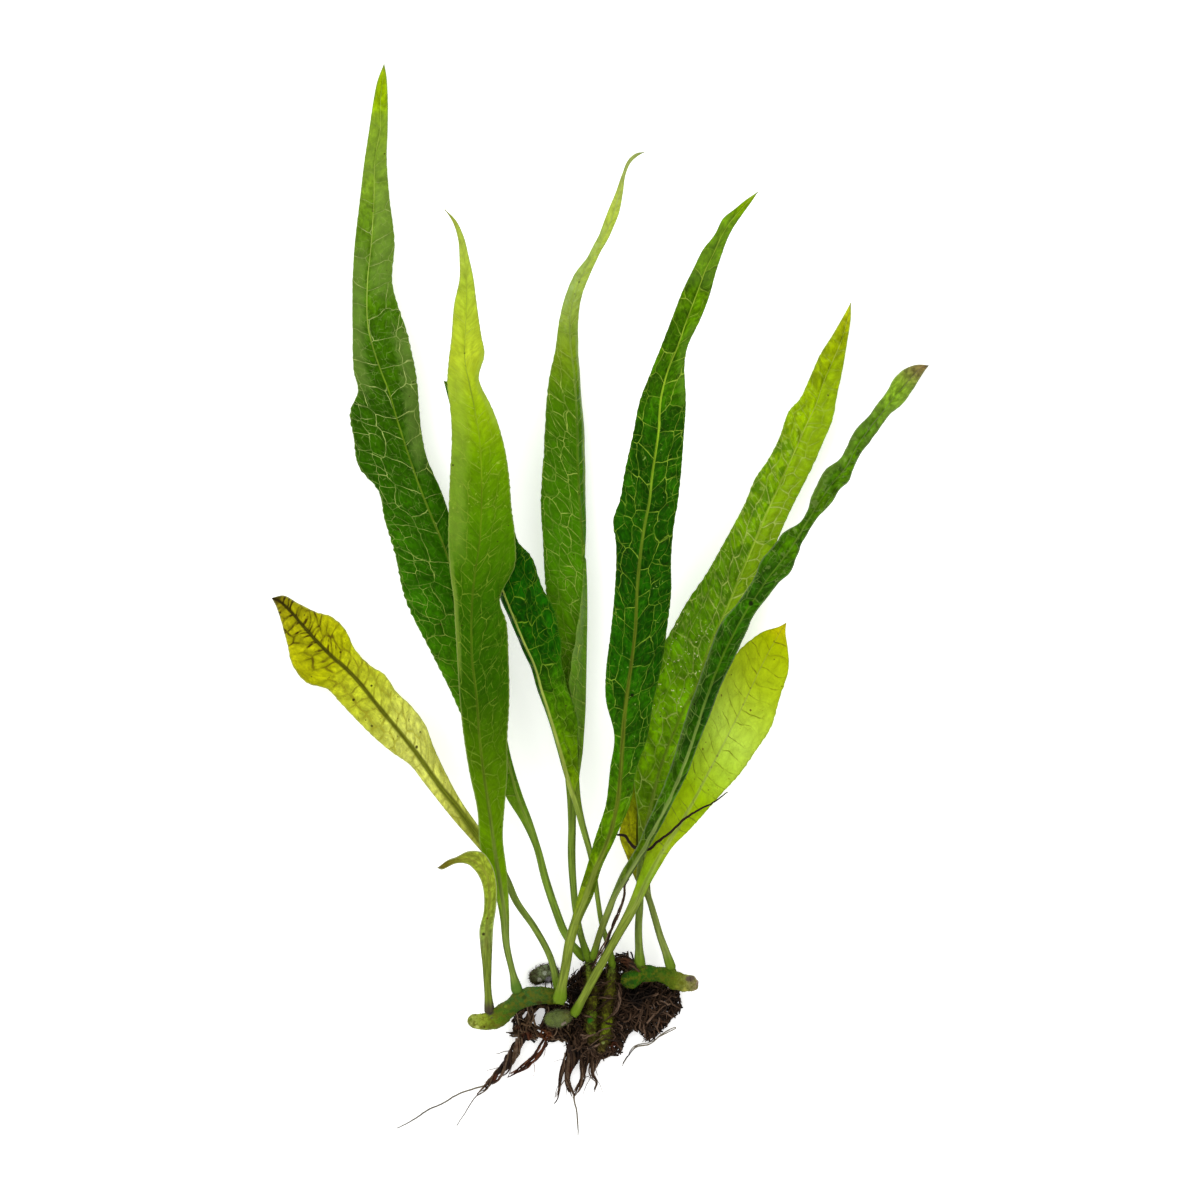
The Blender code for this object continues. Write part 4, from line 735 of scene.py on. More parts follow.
# the frond in front of it, lime at the tip and mid green below
brightLeft = {
    "piece": "brightLeft",
    "node": "frond_bright_left",
    "slot": "leaf_bright",
    "seed": 202,
    "ripple": (0.22, 11.0),
    "puff": 0.24,
    "outerNet": (4.0, 3.0, 0.25),
    "lean": 0.9,
    "cell": (3.6, 7.0),
    "veins": 0.5,
    "bareTip": 0.5,
    "fineVeins": 0.3,
    "sideVeins": (7.0, 7.0, 0.45, 1.0),
    "veinColours": [(0.0, "#d4e070"), (0.3, "#c4d84c"), (0.5, "#a4c43c"), (1.0, "#94b43c")],
    "bladeColours": [
    (0.0, "#a2a233"), (0.04, "#b1c34b"), (0.12, "#b7cc37"), (0.22, "#c5d630"), (0.29, "#9fc00b"),
    (0.36, "#729f00"), (0.46, "#558900"), (0.56, "#366800"), (0.68, "#2e5b00"), (0.82, "#598100"),
    (0.93, "#6d9800"), (1.0, "#8ebd00"),
    ],
    "clouds": 0.22,
    "cloudColour": "#4c7804",
    "mottle": 0.12,
    "grain": (0.8, 1.2),
    "grainDepth": 0.08,
    "paintedSheens": [(-1, 82, 116, 1.2, 0.4), (1, 34, 56, 1.6, 0.4), (-1, 34, 90, 5.0, 0.3)],
    "paintedSheenColour": "#a4bc4c",
    "flecksAndGlints": [(0.9, 0.66, 0.5, "#b4d04c", 0, 40, 80)],
    "rim": 0.5,
    "rimColour": "#a4b45c",
    "rib": 0.75,
    "ribColours": [
    (0.0, "#bcc850"), (0.35, "#8cac1c"), (0.5, "#5c7c14"), (0.8, "#647a1c"), (1.0, "#8a9a48"),
    ],
    "stalkColour": "#869c44",
    "underColour": "#8aa45c",
    "glow": 0.28,
    "footColour": "#5c842c",
    "tip": (-37.2, 93.5, 11.0),
    "blade": [
        (-35.3, 90.5, -35.0, 90.7, -34.6, 91.0, 11.6, 0.0, 0.0),
        (-33.9, 86.0, -33.4, 86.4, -32.6, 87.0, 12.4, 0.0, 0.0),
        (-33.6, 81.2, -32.5, 81.7, -31.4, 82.4, 13.2, 0.0, 0.0),
        (-33.6, 76.7, -31.9, 76.9, -30.2, 76.9, 13.9, 0.3, 0.2),
        (-34.8, 70.9, -31.9, 71.2, -29.5, 71.4, 14.7, 0.6, 0.4),
        (-35.5, 62.5, -32.2, 63.0, -28.3, 63.0, 15.6, 0.9, 0.2),
        (-36.2, 56.5, -32.2, 56.5, -27.6, 58.2, 16.0, 0.5, -0.6),
        (-36.5, 51.7, -31.2, 51.7, -28.9, 52.9, 16.2, -0.6, -1.4),
        (-35.8, 45.7, -30.0, 46.2, -25.9, 46.2, 16.6, -1.0, 0.2),
        (-35.4, 38.5, -28.8, 39.2, -23.5, 39.5, 17.0, -0.5, 0.8),
        (-35.8, 30.1, -28.3, 30.8, -21.8, 30.8, 17.3, 0.2, 1.0),
        (-36.1, 21.7, -28.3, 22.2, -21.1, 22.2, 17.4, 0.5, 0.6),
        (-36.2, 13.3, -28.8, 13.3, -20.2, 14.5, 17.4, 0.6, -0.4),
        (-35.8, 6.8, -29.8, 6.8, -20.4, 7.8, 17.2, 0.5, -1.4),
        (-35.0, 0.8, -30.5, 0.8, -23.8, 0.6, 17.0, 0.3, -2.2),
        (-34.6, -5.9, -30.7, -5.9, -22.3, -5.4, 16.8, 0.2, -0.8),
        (-34.1, -14.3, -30.5, -14.3, -21.8, -13.8, 16.4, 0.2, 0.0),
        (-33.6, -22.7, -29.5, -22.7, -21.6, -23.3, 16.0, 0.3, 0.5),
        (-32.6, -32.3, -28.8, -32.3, -22.1, -33.2, 15.4, 0.4, 0.4),
        (-31.2, -41.2, -27.8, -41.2, -22.1, -41.6, 14.8, 0.3, 0.0),
        (-29.3, -50.3, -26.4, -50.3, -22.8, -49.8, 14.0, 0.2, 0.2),
        (-28.7, -58.7, -25.4, -58.0, -23.2, -56.8, 13.0, 0.0, 0.1),
        (-25.9, -67.1, -24.0, -67.1, -22.1, -66.4, 11.8, 0.0, 0.0),
        (-24.0, -75.5, -22.8, -75.2, -21.7, -75.0, 10.6, 0.0, 0.0),
    ],
    "stalk": [
        (-22.4, -82.4, 9.4, 0.85),
        (-20.9, -89.2, 8.0, 0.8),
        (-20.0, -92.9, 7.3, 1.05),
    ],
}
makeFrond(brightLeft)


# a small young frond that curls over to the left
curledYoung = {
    "piece": "curledYoung",
    "node": "frond_curled_young",
    "slot": "leaf_pale",
    "seed": 303,
    "ripple": (0.1, 5.0),
    "arch": 0.1,
    "outerNet": (1.5, 1.4, 0.4),
    "lean": 0.3,
    "cell": (1.6, 2.2),
    "puff": 0.12,
    "fineCell": 0.9,
    "fineVeins": 0.1,
    "veins": 0.35,
    "veinWidth": 0.12,
    "halo": 0.03,
    "mottle": 0.15,
    "veinColours": [(0.0, "#6a4c18"), (0.4, "#74701c"), (1.0, "#747c20")],
    "bladeColours": [
    (0.0, "#5a4a1a"), (0.12, "#7c7a20"), (0.3, "#a0b034"), (0.5, "#a4b830"), (0.75, "#94ac34"),
    (1.0, "#90a650"),
    ],
    "clouds": 0.15,
    "cloudColour": "#76842c",
    "marks": [(-27.8, -79.8, 0, 0.45, "#3c3418"), (-26.9, -76.0, 0, 0.3, "#6c5c20")],
    "specks": 0.12,
    "speckColour": "#5c4a1a",
    "rim": 0.5,
    "rimColour": "#c8cca0",
    "rib": 0.5,
    "ribColours": [(0.0, "#8a7a2c"), (0.5, "#9a9c3c"), (1.0, "#7a7c34")],
    "underColour": "#a8b070",
    "glow": 0.3,
    "footColour": "#4c383c",
    "tip": (-38.9, -64.0, 13.6),
    "blade": [
        (-37.7, -64.4, -37.0, -63.2, -36.7, -62.3, 14.4, 0.0, 0.0),
        (-34.6, -63.0, -34.3, -62.3, -34.3, -61.3, 15.4, -0.3, 0.1),
        (-31.9, -63.0, -31.4, -61.8, -31.2, -59.9, 16.4, -0.6, -0.2),
        (-30.0, -64.4, -28.8, -63.2, -27.8, -60.4, 17.0, -0.6, -0.6),
        (-28.6, -66.6, -27.1, -65.6, -25.7, -63.5, 16.9, -0.4, -0.4),
        (-27.8, -69.7, -26.4, -69.0, -24.7, -67.6, 16.2, -0.3, 0.0),
        (-27.8, -74.3, -26.4, -73.3, -24.7, -72.6, 15.2, -0.3, 0.3),
        (-28.8, -78.6, -27.1, -77.9, -25.4, -77.6, 14.1, 0.2, 0.2),
        (-28.6, -82.9, -27.1, -82.7, -25.7, -82.7, 12.8, 0.1, 0.1),
    ],
    "stalk": [
        (-27.0, -87.5, 11.0, 1.1),
        (-26.9, -92.3, 9.0, 0.9),
        (-26.5, -97.9, 7.1, 0.95),
    ],
}
makeFrond(curledYoung)


# the dark frond in the middle, on top of the others
darkCentre = {
    "piece": "darkCentre",
    "node": "frond_dark_centre",
    "slot": "leaf_dark",
    "seed": 404,
    "lean": 0.6,
    "cell": (4.3, 6.2),
    "outerNet": (4.2, 3.0, 0.7),
    "puff": 0.38,
    "veins": 0.9,
    "veinWidth": 0.12,
    "bareTip": 0.16,
    "fineVeins": 0.2,
    "veinColours": [(0.0, "#a8c048"), (0.3, "#a4c83c"), (0.6, "#90b834"), (1.0, "#90ac44")],
    "bladeColours": [
    (0.0, "#91b000"), (0.05, "#6e9800"), (0.14, "#5e8800"), (0.24, "#508100"), (0.34, "#2c6600"),
    (0.5, "#174e00"), (0.66, "#1f5c00"), (0.78, "#336c00"), (0.88, "#5d8b00"), (1.0, "#879b03"),
    ],
    "clouds": 0.6,
    "cloudColour": "#0a3400",
    "mottle": 0.28,
    "paintedSheens": [(0, 6, 30, 5.0, 0.3), (1, 36, 60, 2.0, 0.3)],
    "paintedSheenColour": "#6c9030",
    # these sparse pale flecks are painted glints
    "flecksAndGlints": [(1.1, 0.7, 0.5, "#a4c060", 0, 30, 160)],
    "rimColour": "#5c8418",
    "marks": [(7.7, -22.7, 0, 0.45, "#10180a")],
    "rib": 0.95,
    "ribColours": [
    (0.0, "#a4b840"), (0.36, "#98bc28"), (0.46, "#6c8a20"), (0.62, "#5c6a18"), (0.85, "#66741c"),
    (1.0, "#7c8c38"),
    ],
    "glow": 0.16,
    "tip": (37.9, 97.8, 8.0),
    "blade": [
        (34.8, 95.7, 35.4, 95.3, 36.0, 94.9, 8.8, 0.0, 0.0),
        (32.4, 93.7, 33.4, 93.0, 34.1, 92.3, 9.8, 0.2, 0.1),
        (29.3, 91.1, 30.7, 89.8, 31.9, 89.0, 10.8, 0.3, 0.1),
        (27.4, 87.4, 28.8, 86.5, 30.4, 86.1, 11.8, 0.3, 0.2),
        (24.5, 83.6, 27.1, 82.7, 29.0, 82.2, 12.8, 0.4, 0.2),
        (22.6, 79.8, 25.4, 79.3, 27.8, 78.6, 13.7, 0.5, 0.3),
        (19.7, 73.8, 23.3, 73.6, 26.2, 72.8, 15.0, 0.6, 0.4),
        (17.0, 66.8, 20.6, 66.4, 23.8, 66.6, 16.2, 0.6, 0.5),
        (14.4, 60.1, 18.5, 60.4, 20.9, 60.4, 17.2, 0.5, -0.2),
        (12.2, 54.6, 16.3, 55.1, 20.2, 55.6, 17.9, 0.5, -0.6),
        (9.6, 47.9, 14.6, 48.4, 20.5, 47.6, 18.5, 0.4, -0.3),
        (7.9, 39.7, 13.9, 39.7, 20.0, 39.2, 19.0, 0.2, 0.4),
        (5.8, 30.1, 12.5, 29.9, 19.2, 28.9, 19.3, -0.3, 0.8),
        (4.8, 24.1, 11.8, 23.4, 18.5, 22.9, 19.4, -0.9, 0.6),
        (3.2, 19.3, 10.8, 18.4, 17.5, 16.9, 19.4, -1.6, 0.2),
        (3.8, 13.3, 9.8, 12.1, 17.0, 9.7, 19.3, -1.2, -0.3),
        (3.6, 3.7, 8.9, 2.5, 17.0, 2.0, 19.0, -0.3, 0.4),
        (2.6, -7.1, 8.4, -7.6, 16.1, -5.9, 18.6, 0.4, 0.9),
        (1.4, -17.2, 7.2, -17.2, 14.6, -16.2, 18.0, 0.6, 0.6),
        (1.4, -23.9, 6.2, -24.4, 12.7, -24.4, 17.6, 0.4, 0.2),
        (3.4, -32.3, 5.5, -32.3, 11.3, -32.8, 17.0, -0.2, 0.3),
        (2.4, -40.2, 5.0, -40.7, 8.6, -40.7, 16.3, 0.3, 0.5),
        (1.4, -48.6, 4.1, -48.6, 7.4, -47.9, 15.6, 0.4, 0.3),
        (-1.4, -57.5, 1.7, -58.0, 3.4, -57.5, 14.6, 0.2, 0.1),
        (-3.1, -63.5, -1.0, -64.2, 0.3, -64.2, 13.8, 0.0, 0.0),
        (-4.8, -69.0, -2.9, -69.5, -1.4, -70.0, 13.0, 0.0, 0.0),
        (-6.8, -76.2, -5.6, -76.4, -4.4, -76.7, 12.0, 0.0, 0.0),
    ],
    "stalk": [
        (-7.2, -81.7, 11.3, 1.2),
        (-8.2, -87.5, 10.7, 1.15),
        (-9.1, -92.3, 10.4, 1.15),
        (-9.6, -95.0, 10.3, 1.3),
    ],
}
makeFrond(darkCentre)


# an old yellow frond at the far left, browned at the tip
yellowLeft = {
    "piece": "yellowLeft",
    "node": "frond_yellow_left",
    "slot": "leaf_yellow",
    "seed": 505,
    "ripple": (0.35, 9.0),
    "arch": 0.08,
    "outerNet": (3.0, 2.4, 0.15),
    "lean": 0.3,
    "cell": (4.4, 3.0),
    "fineCell": 1.5,
    "veins": 0.95,
    "veinWidth": 0.3,
    "fineVeins": 0.25,
    "sideVeins": (2.3, 3.6, 1.4, 0.3),
    "tipRib": 2.1,
    "veinColours": [
    (0.0, "#3c2c08"), (0.2, "#5c4c0c"), (0.3, "#8c8414"), (0.45, "#b0ac2c"), (0.65, "#c4c44c"),
    (1.0, "#a8ac34"),
    ],
    "bladeColours": [
    (0.0, "#46380c"), (0.022, "#54480c"), (0.036, "#948c10"), (0.08, "#b4b00c"), (0.28, "#c4c80c"),
    (0.42, "#ccd438"), (0.6, "#e0e470"), (0.8, "#dce068"), (1.0, "#b0b840"),
    ],
    "clouds": 0.25,
    "cloudColour": "#8c900c",
    "mottle": 0.2,
    "grain": (1.2, 0.9),
    "grainDepth": 0.16,
    "flecksAndGlints": [(0.8, 0.64, 0.5, "#a0920c", 0, 6, 52), (1.4, 0.68, 0.7, "#5e4a10", 0, 14, 70)],
    "specks": 0.2,
    "speckColour": "#3c2c0c",
    "rim": 0.4,
    "rimColour": "#b8bc78",
    "rib": 0.95,
    "ribWidth": 1.5,
    "marks": [
    (-59.0, -23.9, 0, 0.4, "#2c2408"), (-54.7, -20.5, 0, 0.3, "#2c2408"),
    (-43.9, -35.2, 0, 0.4, "#2c2408"),
    ],
    "ribColours": [(0.0, "#3c300c"), (0.3, "#5c5c10"), (0.7, "#6c7414"), (1.0, "#7e8a24")],
    "stalkColour": "#849a40",
    "under": 0.4,
    "underColour": "#b0b050",
    "glow": 0.3,
    "roughness": 0.42,
    "tip": (-78.8, 0.5, 0.3),
    "blade": [
        (-77.8, -1.3, -76.8, -0.4, -76.1, 1.1, 0.9, 0.0, 0.0),
        (-76.6, -4.7, -74.4, -2.5, -72.7, -0.6, 1.8, 0.1, 0.2),
        (-75.1, -10.2, -71.0, -6.4, -68.2, -2.8, 3.2, 0.4, 0.5),
        (-73.7, -15.5, -67.7, -10.0, -64.3, -4.0, 4.4, 0.9, 0.8),
        (-70.3, -19.8, -64.1, -13.6, -61.0, -7.1, 5.4, 0.6, 0.2),
        (-65.3, -21.4, -60.5, -16.7, -58.6, -11.9, 6.0, -0.6, -0.7),
        (-62.4, -24.4, -57.6, -19.8, -55.2, -15.5, 6.4, 0.3, -0.2),
        (-58.8, -28.2, -54.7, -23.4, -51.6, -17.8, 6.7, 0.6, 0.6),
        (-54.2, -32.8, -51.4, -27.5, -48.7, -22.0, 6.9, 0.3, -0.2),
        (-49.9, -36.4, -48.0, -31.6, -45.4, -25.1, 7.0, 0.5, 0.6),
        (-45.4, -39.6, -44.4, -36.1, -41.8, -29.9, 7.0, 0.0, 0.2),
        (-42.5, -43.3, -41.3, -40.4, -39.8, -35.2, 6.9, 0.3, 0.3),
        (-38.9, -47.9, -38.2, -44.8, -37.0, -41.2, 6.8, 0.2, 0.2),
        (-34.8, -53.0, -33.8, -50.3, -33.2, -48.2, 6.7, 0.1, 0.1),
        (-31.0, -57.3, -30.2, -55.3, -29.3, -53.8, 6.6, 0.0, 0.0),
        (-26.9, -62.1, -26.2, -60.8, -25.2, -59.7, 6.5, 0.0, 0.0),
    ],
    "stalk": [
        (-22.3, -67.1, 6.4, 0.9),
        (-20.2, -71.9, 6.3, 0.85),
        (-15.6, -78.6, 6.3, 0.8),
        (-11.9, -85.6, 6.4, 0.8),
        (-10.2, -92.3, 6.7, 0.85),
    ],
}
makeFrond(yellowLeft)


# a frond with a thread-like tip and a right margin that rolls over
twistedTip = {
    "piece": "twistedTip",
    "node": "frond_twisted_tip",
    "slot": "leaf_mid",
    "seed": 606,
    "ripple": (0.2, 9.0),
    "outerNet": (3.0, 3.0, 0.9),
    "lean": 0.8,
    "cell": (3.8, 4.8),
    "puff": 0.24,
    "veins": 1.0,
    "veinWidth": 0.15,
    "bareTip": 0.4,
    "sideVeins": (9.0, 7.0, 0.35, 1.0),
    "mottle": 0.12,
    "veinColours": [(0.0, "#c8d48c"), (0.3, "#b8cc5c"), (0.5, "#b8d458"), (1.0, "#a8c854")],
    "bladeColours": [
    (0.0, "#a1ac63"), (0.12, "#bdcf4c"), (0.24, "#a9c051"), (0.33, "#829f19"), (0.4, "#538100"),
    (0.48, "#437600"), (0.62, "#4c8800"), (0.76, "#609601"), (0.88, "#699203"), (1.0, "#829d1a"),
    ],
    "clouds": 0.28,
    "cloudColour": "#3a6402",
    "grain": (0.8, 1.2),
    "grainDepth": 0.12,
    "paintedSheens": [(-1, 18, 46, 2.0, 0.4), (1, 108, 128, 3.0, 0.3), (1, 44, 92, 1.2, 0.6)],
    "paintedSheenColour": "#94ac68",
    # these pale flecks are a painted glossy sheen
    "flecksAndGlints": [(0.6, 0.58, 0.2, "#b4c890", 0, 20, 50)],
    "rimColour": "#8ca44c",
    "rib": 0.5,
    "ribColours": [(0.0, "#c0cc88"), (0.3, "#9cb454"), (0.5, "#6c8c1c"), (1.0, "#7c9438")],
    "stalkColour": "#7a9434",
    "under": 0.4,
    "underColour": "#76a03c",
    "roughness": 0.34,
    "shine": 0.12,
    "glow": 0.26,
    "tip": (10.8, 107.4, 4.2),
    "blade": [
        (8.7, 107.1, 8.9, 106.8, 9.1, 106.4, 4.4, 0.0, 0.0),
        (6.7, 105.4, 7.0, 105.1, 7.4, 104.8, 4.8, 0.0, 0.0),
        (5.3, 102.1, 5.8, 102.1, 6.2, 102.1, 5.2, 0.0, 0.0),
        (3.8, 97.8, 4.7, 97.6, 5.5, 97.5, 5.6, -0.1, -0.1),
        (1.9, 93.2, 3.4, 93.0, 4.6, 92.8, 6.0, -0.2, -0.3),
        (-0.5, 87.0, 0.8, 86.8, 1.9, 86.5, 6.2, 0.3, -0.5),
        (-2.9, 82.4, -1.7, 82.2, -0.5, 82.0, 6.3, 0.4, -0.4),
        (-6.2, 77.9, -4.3, 77.6, -2.6, 77.4, 6.2, -0.3, -0.3),
        (-8.4, 72.6, -6.2, 72.6, -4.4, 72.6, 6.1, -0.8, -0.6),
        (-9.8, 66.8, -7.2, 66.8, -5.2, 66.8, 6.0, -0.6, -1.2),
        (-10.7, 60.1, -7.0, 60.1, -5.2, 60.1, 6.0, 0.2, -1.8),
        (-12.0, 54.1, -6.2, 53.9, -4.9, 53.9, 6.0, 0.5, -2.0),
        (-12.8, 48.1, -5.8, 47.4, -4.4, 47.4, 6.1, 0.6, -2.2),
        (-13.2, 40.9, -5.5, 40.4, -3.8, 40.4, 6.2, 0.6, -2.3),
        (-13.6, 33.7, -5.4, 33.2, -3.6, 33.2, 6.3, 0.5, -2.2),
        (-14.2, 24.1, -5.0, 24.6, -3.5, 24.6, 6.4, 0.3, -1.9),
        (-13.7, 14.5, -4.3, 15.0, -3.4, 14.8, 6.3, -0.2, -1.0),
        (-13.2, 4.9, -3.7, 5.6, -4.1, 4.4, 6.2, -0.6, 1.4),
        (-12.2, -3.5, -3.6, -2.8, -5.0, -3.9, 6.0, -0.8, 2.5),
        (-11.3, -11.9, -3.8, -11.9, -6.5, -12.8, 5.8, -0.8, 3.2),
        (-10.3, -19.1, -4.0, -19.8, -7.4, -20.6, 5.6, -0.6, 3.2),
        (-9.4, -26.3, -4.2, -26.8, -6.2, -27.8, 5.4, -0.4, 2.4),
        (-8.6, -33.5, -4.7, -34.0, -5.2, -34.8, 5.3, -0.2, 1.2),
        (-8.4, -41.9, -5.8, -42.1, -5.0, -42.3, 5.2, 0.0, 0.5),
        (-7.9, -47.9, -6.7, -48.3, -5.6, -48.5, 5.2, 0.0, 0.1),
    ],
    "stalk": [
        (-6.7, -54.6, 5.3, 0.95),
        (-6.8, -61.1, 5.4, 0.95),
        (-6.4, -68.3, 5.6, 0.85),
        (-5.8, -74.3, 5.9, 0.8),
        (-4.6, -80.3, 6.5, 0.8),
        (-3.1, -85.0, 7.2, 0.8),
    ],
}
makeFrond(twistedTip)


# a very dark frond folded along its midrib, which shows as a thick pale edge
foldedDark = {
    "piece": "foldedDark",
    "node": "frond_folded_dark",
    "slot": "leaf_dark",
    "seed": 707,
    "ripple": (0.25, 9.0),
    "arch": 0.09,
    "puff": 0.35,
    "veins": 0.9,
    "veinWidth": 0.12,
    "veinColours": [(0.0, "#8cb430"), (0.6, "#7ca424"), (1.0, "#8cac40")],
    "mottle": 0.25,
    "bladeColours": [
    (0.0, "#266100"), (0.2, "#1a5600"), (0.45, "#115400"), (0.65, "#1a5b00"), (0.8, "#568700"),
    (0.92, "#638700"), (1.0, "#759400"),
    ],
    "clouds": 0.55,
    "cloudColour": "#062c00",
    "rimColour": "#5c8418",
    "rib": 1.0,
    "ribWidth": 0.6,
    "ribColours": [(0.0, "#9cac44"), (0.5, "#a8b850"), (1.0, "#98a848")],
    "stalkColour": "#849c3c",
    "glow": 0.16,
    "roughness": 0.36,
    "tip": (-37.4, 52.4, 10.6),
    "blade": [
        (-36.7, 49.8, -36.2, 50.5, -35.5, 52.0, 10.8, -0.8, 0.2),
        (-35.3, 44.8, -34.6, 45.2, -33.1, 47.0, 11.0, -1.6, 0.4),
        (-33.4, 37.1, -32.6, 37.6, -29.8, 39.5, 11.2, -2.4, 0.5),
        (-31.2, 28.7, -30.5, 29.2, -25.9, 31.1, 11.4, -3.0, 0.5),
        (-28.8, 19.8, -28.1, 20.3, -22.1, 22.2, 11.6, -3.2, 0.3),
        (-26.9, 11.4, -25.9, 11.9, -19.4, 13.8, 11.7, -3.3, 0.0),
        (-25.0, 4.3, -24.0, 4.6, -15.9, 9.5, 11.8, -3.3, -0.6),
        (-23.6, 0.0, -22.4, 0.2, -14.2, 4.0, 11.8, -3.2, -0.5),
        (-21.4, -4.9, -20.2, -5.2, -11.3, -1.6, 11.7, -3.0, 0.3),
        (-19.0, -10.7, -17.8, -10.9, -9.5, -8.6, 11.5, -2.8, 0.4),
        (-16.8, -15.4, -15.6, -15.7, -9.1, -15.0, 11.4, -2.5, 0.3),
        (-14.9, -21.5, -13.9, -21.5, -7.7, -21.2, 11.2, -2.2, 0.2),
        (-12.5, -28.0, -11.8, -28.2, -5.5, -27.7, 11.0, -1.8, -0.2),
        (-10.3, -35.4, -9.6, -35.6, -5.3, -34.9, 10.5, -1.4, -0.3),
        (-8.4, -42.6, -7.7, -42.6, -5.0, -41.8, 9.8, -1.0, 0.0),
        (-6.3, -49.3, -5.5, -49.3, -4.4, -48.8, 8.9, -0.5, 0.0),
    ],
    "stalk": [
        (-4.0, -54.6, 7.9, 0.8),
        (-2.4, -60.4, 6.9, 0.7),
        (-1.3, -65.9, 6.1, 0.62),
        (-0.5, -71.9, 5.6, 0.6),
        (0.5, -77.9, 5.3, 0.65),
        (2.2, -83.4, 5.5, 0.7),
        (2.8, -86.5, 5.8, 0.75),
    ],
}
makeFrond(foldedDark)


# a bright, blistered frond at the right, wet near its middle, where its shine is painted as white flecks
brightRight = {
    "piece": "brightRight",
    "node": "frond_bright_right",
    "slot": "leaf_bright",
    "seed": 808,
    "ripple": (0.3, 9.0),
    "outerNet": (4.2, 3.2, 0.7),
    "lean": 0.6,
    "cell": (3.6, 4.6),
    "puff": 0.5,
    "veins": 0.95,
    "veinWidth": 0.17,
    "bareTip": 0.45,
    "halo": 0.14,
    "fineVeins": 0.2,
    "sideVeins": (5.0, 6.0, 0.3, 1.0),
    "veinColours": [(0.0, "#c8d860"), (0.4, "#cce070"), (1.0, "#bcd860")],
    "bladeColours": [
    (0.0, "#c2c703"), (0.06, "#a1b201"), (0.2, "#9fbe00"), (0.35, "#89b500"), (0.5, "#74a500"),
    (0.66, "#75b100"), (0.8, "#96d000"), (0.9, "#709d00"), (1.0, "#7f9a02"),
    ],
    "clouds": 0.5,
    "cloudColour": "#4c7c04",
    "mottle": 0.3,
    "grain": (0.8, 0.8),
    "grainDepth": 0.12,
    # the white flecks are painted glints of wet shine, the pale #c4dc60 ones partly painted highlights on the blisters;
    # the green ones are the blade's own patches
    "flecksAndGlints": [
    (0.24, 0.5, 0.55, "#4c8004", -1, 26, 96), (0.2, 0.36, 0.55, "#9cbc14", 1, 8, 96),
    (0.8, 0.6, 0.4, "#c4dc60", -1, 20, 100), (0.35, 0.52, 0.4, "#3f6e02", 0, 62, 130),
    (1.1, 0.635, 1.0, "#ffffc0", -1, 84, 112),
    ],
    "blisters": 0.7,
    "shine": 0.14,
    "rimColour": "#a8c050",
    "rib": 0.75,
    "ribColours": [(0.0, "#c4cc58"), (0.5, "#b4d044"), (0.75, "#7c9c1c"), (1.0, "#7c8c38")],
    "stalkColour": "#849a44",
    "underColour": "#9cb45c",
    "roughness": 0.3,
    "glow": 0.3,
    "tip": (60.2, 71.4, 0.3),
    "blade": [
        (58.6, 68.5, 59.5, 68.1, 60.2, 67.9, 0.8, 0.1, 0.1),
        (55.7, 63.5, 58.1, 62.8, 59.3, 61.8, 1.6, 0.2, 0.1),
        (52.8, 58.9, 55.9, 57.5, 58.3, 55.8, 2.4, 0.3, 0.2),
        (50.4, 53.6, 53.5, 52.0, 56.9, 49.3, 3.2, 0.5, 0.3),
        (48.0, 48.4, 51.6, 46.4, 55.7, 43.1, 3.9, 0.2, 0.4),
        (45.1, 45.0, 49.2, 41.4, 53.5, 37.8, 4.5, -0.5, 0.2),
        (43.0, 39.0, 47.0, 36.4, 51.1, 32.3, 5.1, 0.1, 0.3),
        (40.3, 33.7, 44.6, 31.1, 48.7, 27.5, 5.6, 0.5, 0.4),
        (37.2, 29.2, 42.2, 25.8, 46.3, 22.8, 6.0, 0.3, 0.3),
        (34.8, 23.4, 39.6, 20.0, 43.9, 17.6, 6.4, -0.2, -0.1),
        (31.4, 16.9, 36.7, 13.1, 41.3, 11.4, 6.7, 0.2, 0.1),
        (28.3, 11.3, 33.8, 6.4, 38.7, 5.2, 7.0, 0.6, 0.2),
        (25.0, 5.6, 31.0, -0.6, 35.8, -0.9, 7.2, 0.3, 0.2),
        (20.9, -0.3, 28.3, -6.4, 33.1, -7.6, 7.4, -0.3, 0.1),
        (17.2, -7.0, 25.7, -12.4, 30.0, -14.3, 7.5, 0.3, 0.1),
        (13.6, -13.8, 23.5, -19.8, 26.9, -21.5, 7.6, 0.2, 0.0),
        (11.0, -20.8, 20.6, -25.1, 24.0, -27.4, 7.6, 0.0, 0.0),
        (8.8, -27.7, 18.0, -31.0, 21.1, -33.9, 7.6, 0.2, 0.0),
        (7.4, -35.6, 15.6, -37.0, 18.5, -40.0, 7.5, 0.2, 0.0),
        (8.2, -44.3, 13.4, -44.2, 15.6, -46.7, 7.4, 0.1, 0.0),
        (9.0, -51.3, 11.8, -51.4, 13.0, -53.0, 7.3, 0.0, 0.0),
        (9.1, -59.4, 10.3, -59.4, 11.5, -59.9, 7.2, 0.0, 0.0),
    ],
    "stalk": [
        (9.7, -65.9, 7.1, 0.95),
        (9.5, -73.1, 7.0, 0.9),
        (9.2, -79.1, 6.9, 0.9),
        (9.4, -84.4, 6.9, 1.0),
        (9.5, -86.8, 6.9, 1.1),
    ],
}
makeFrond(brightRight)


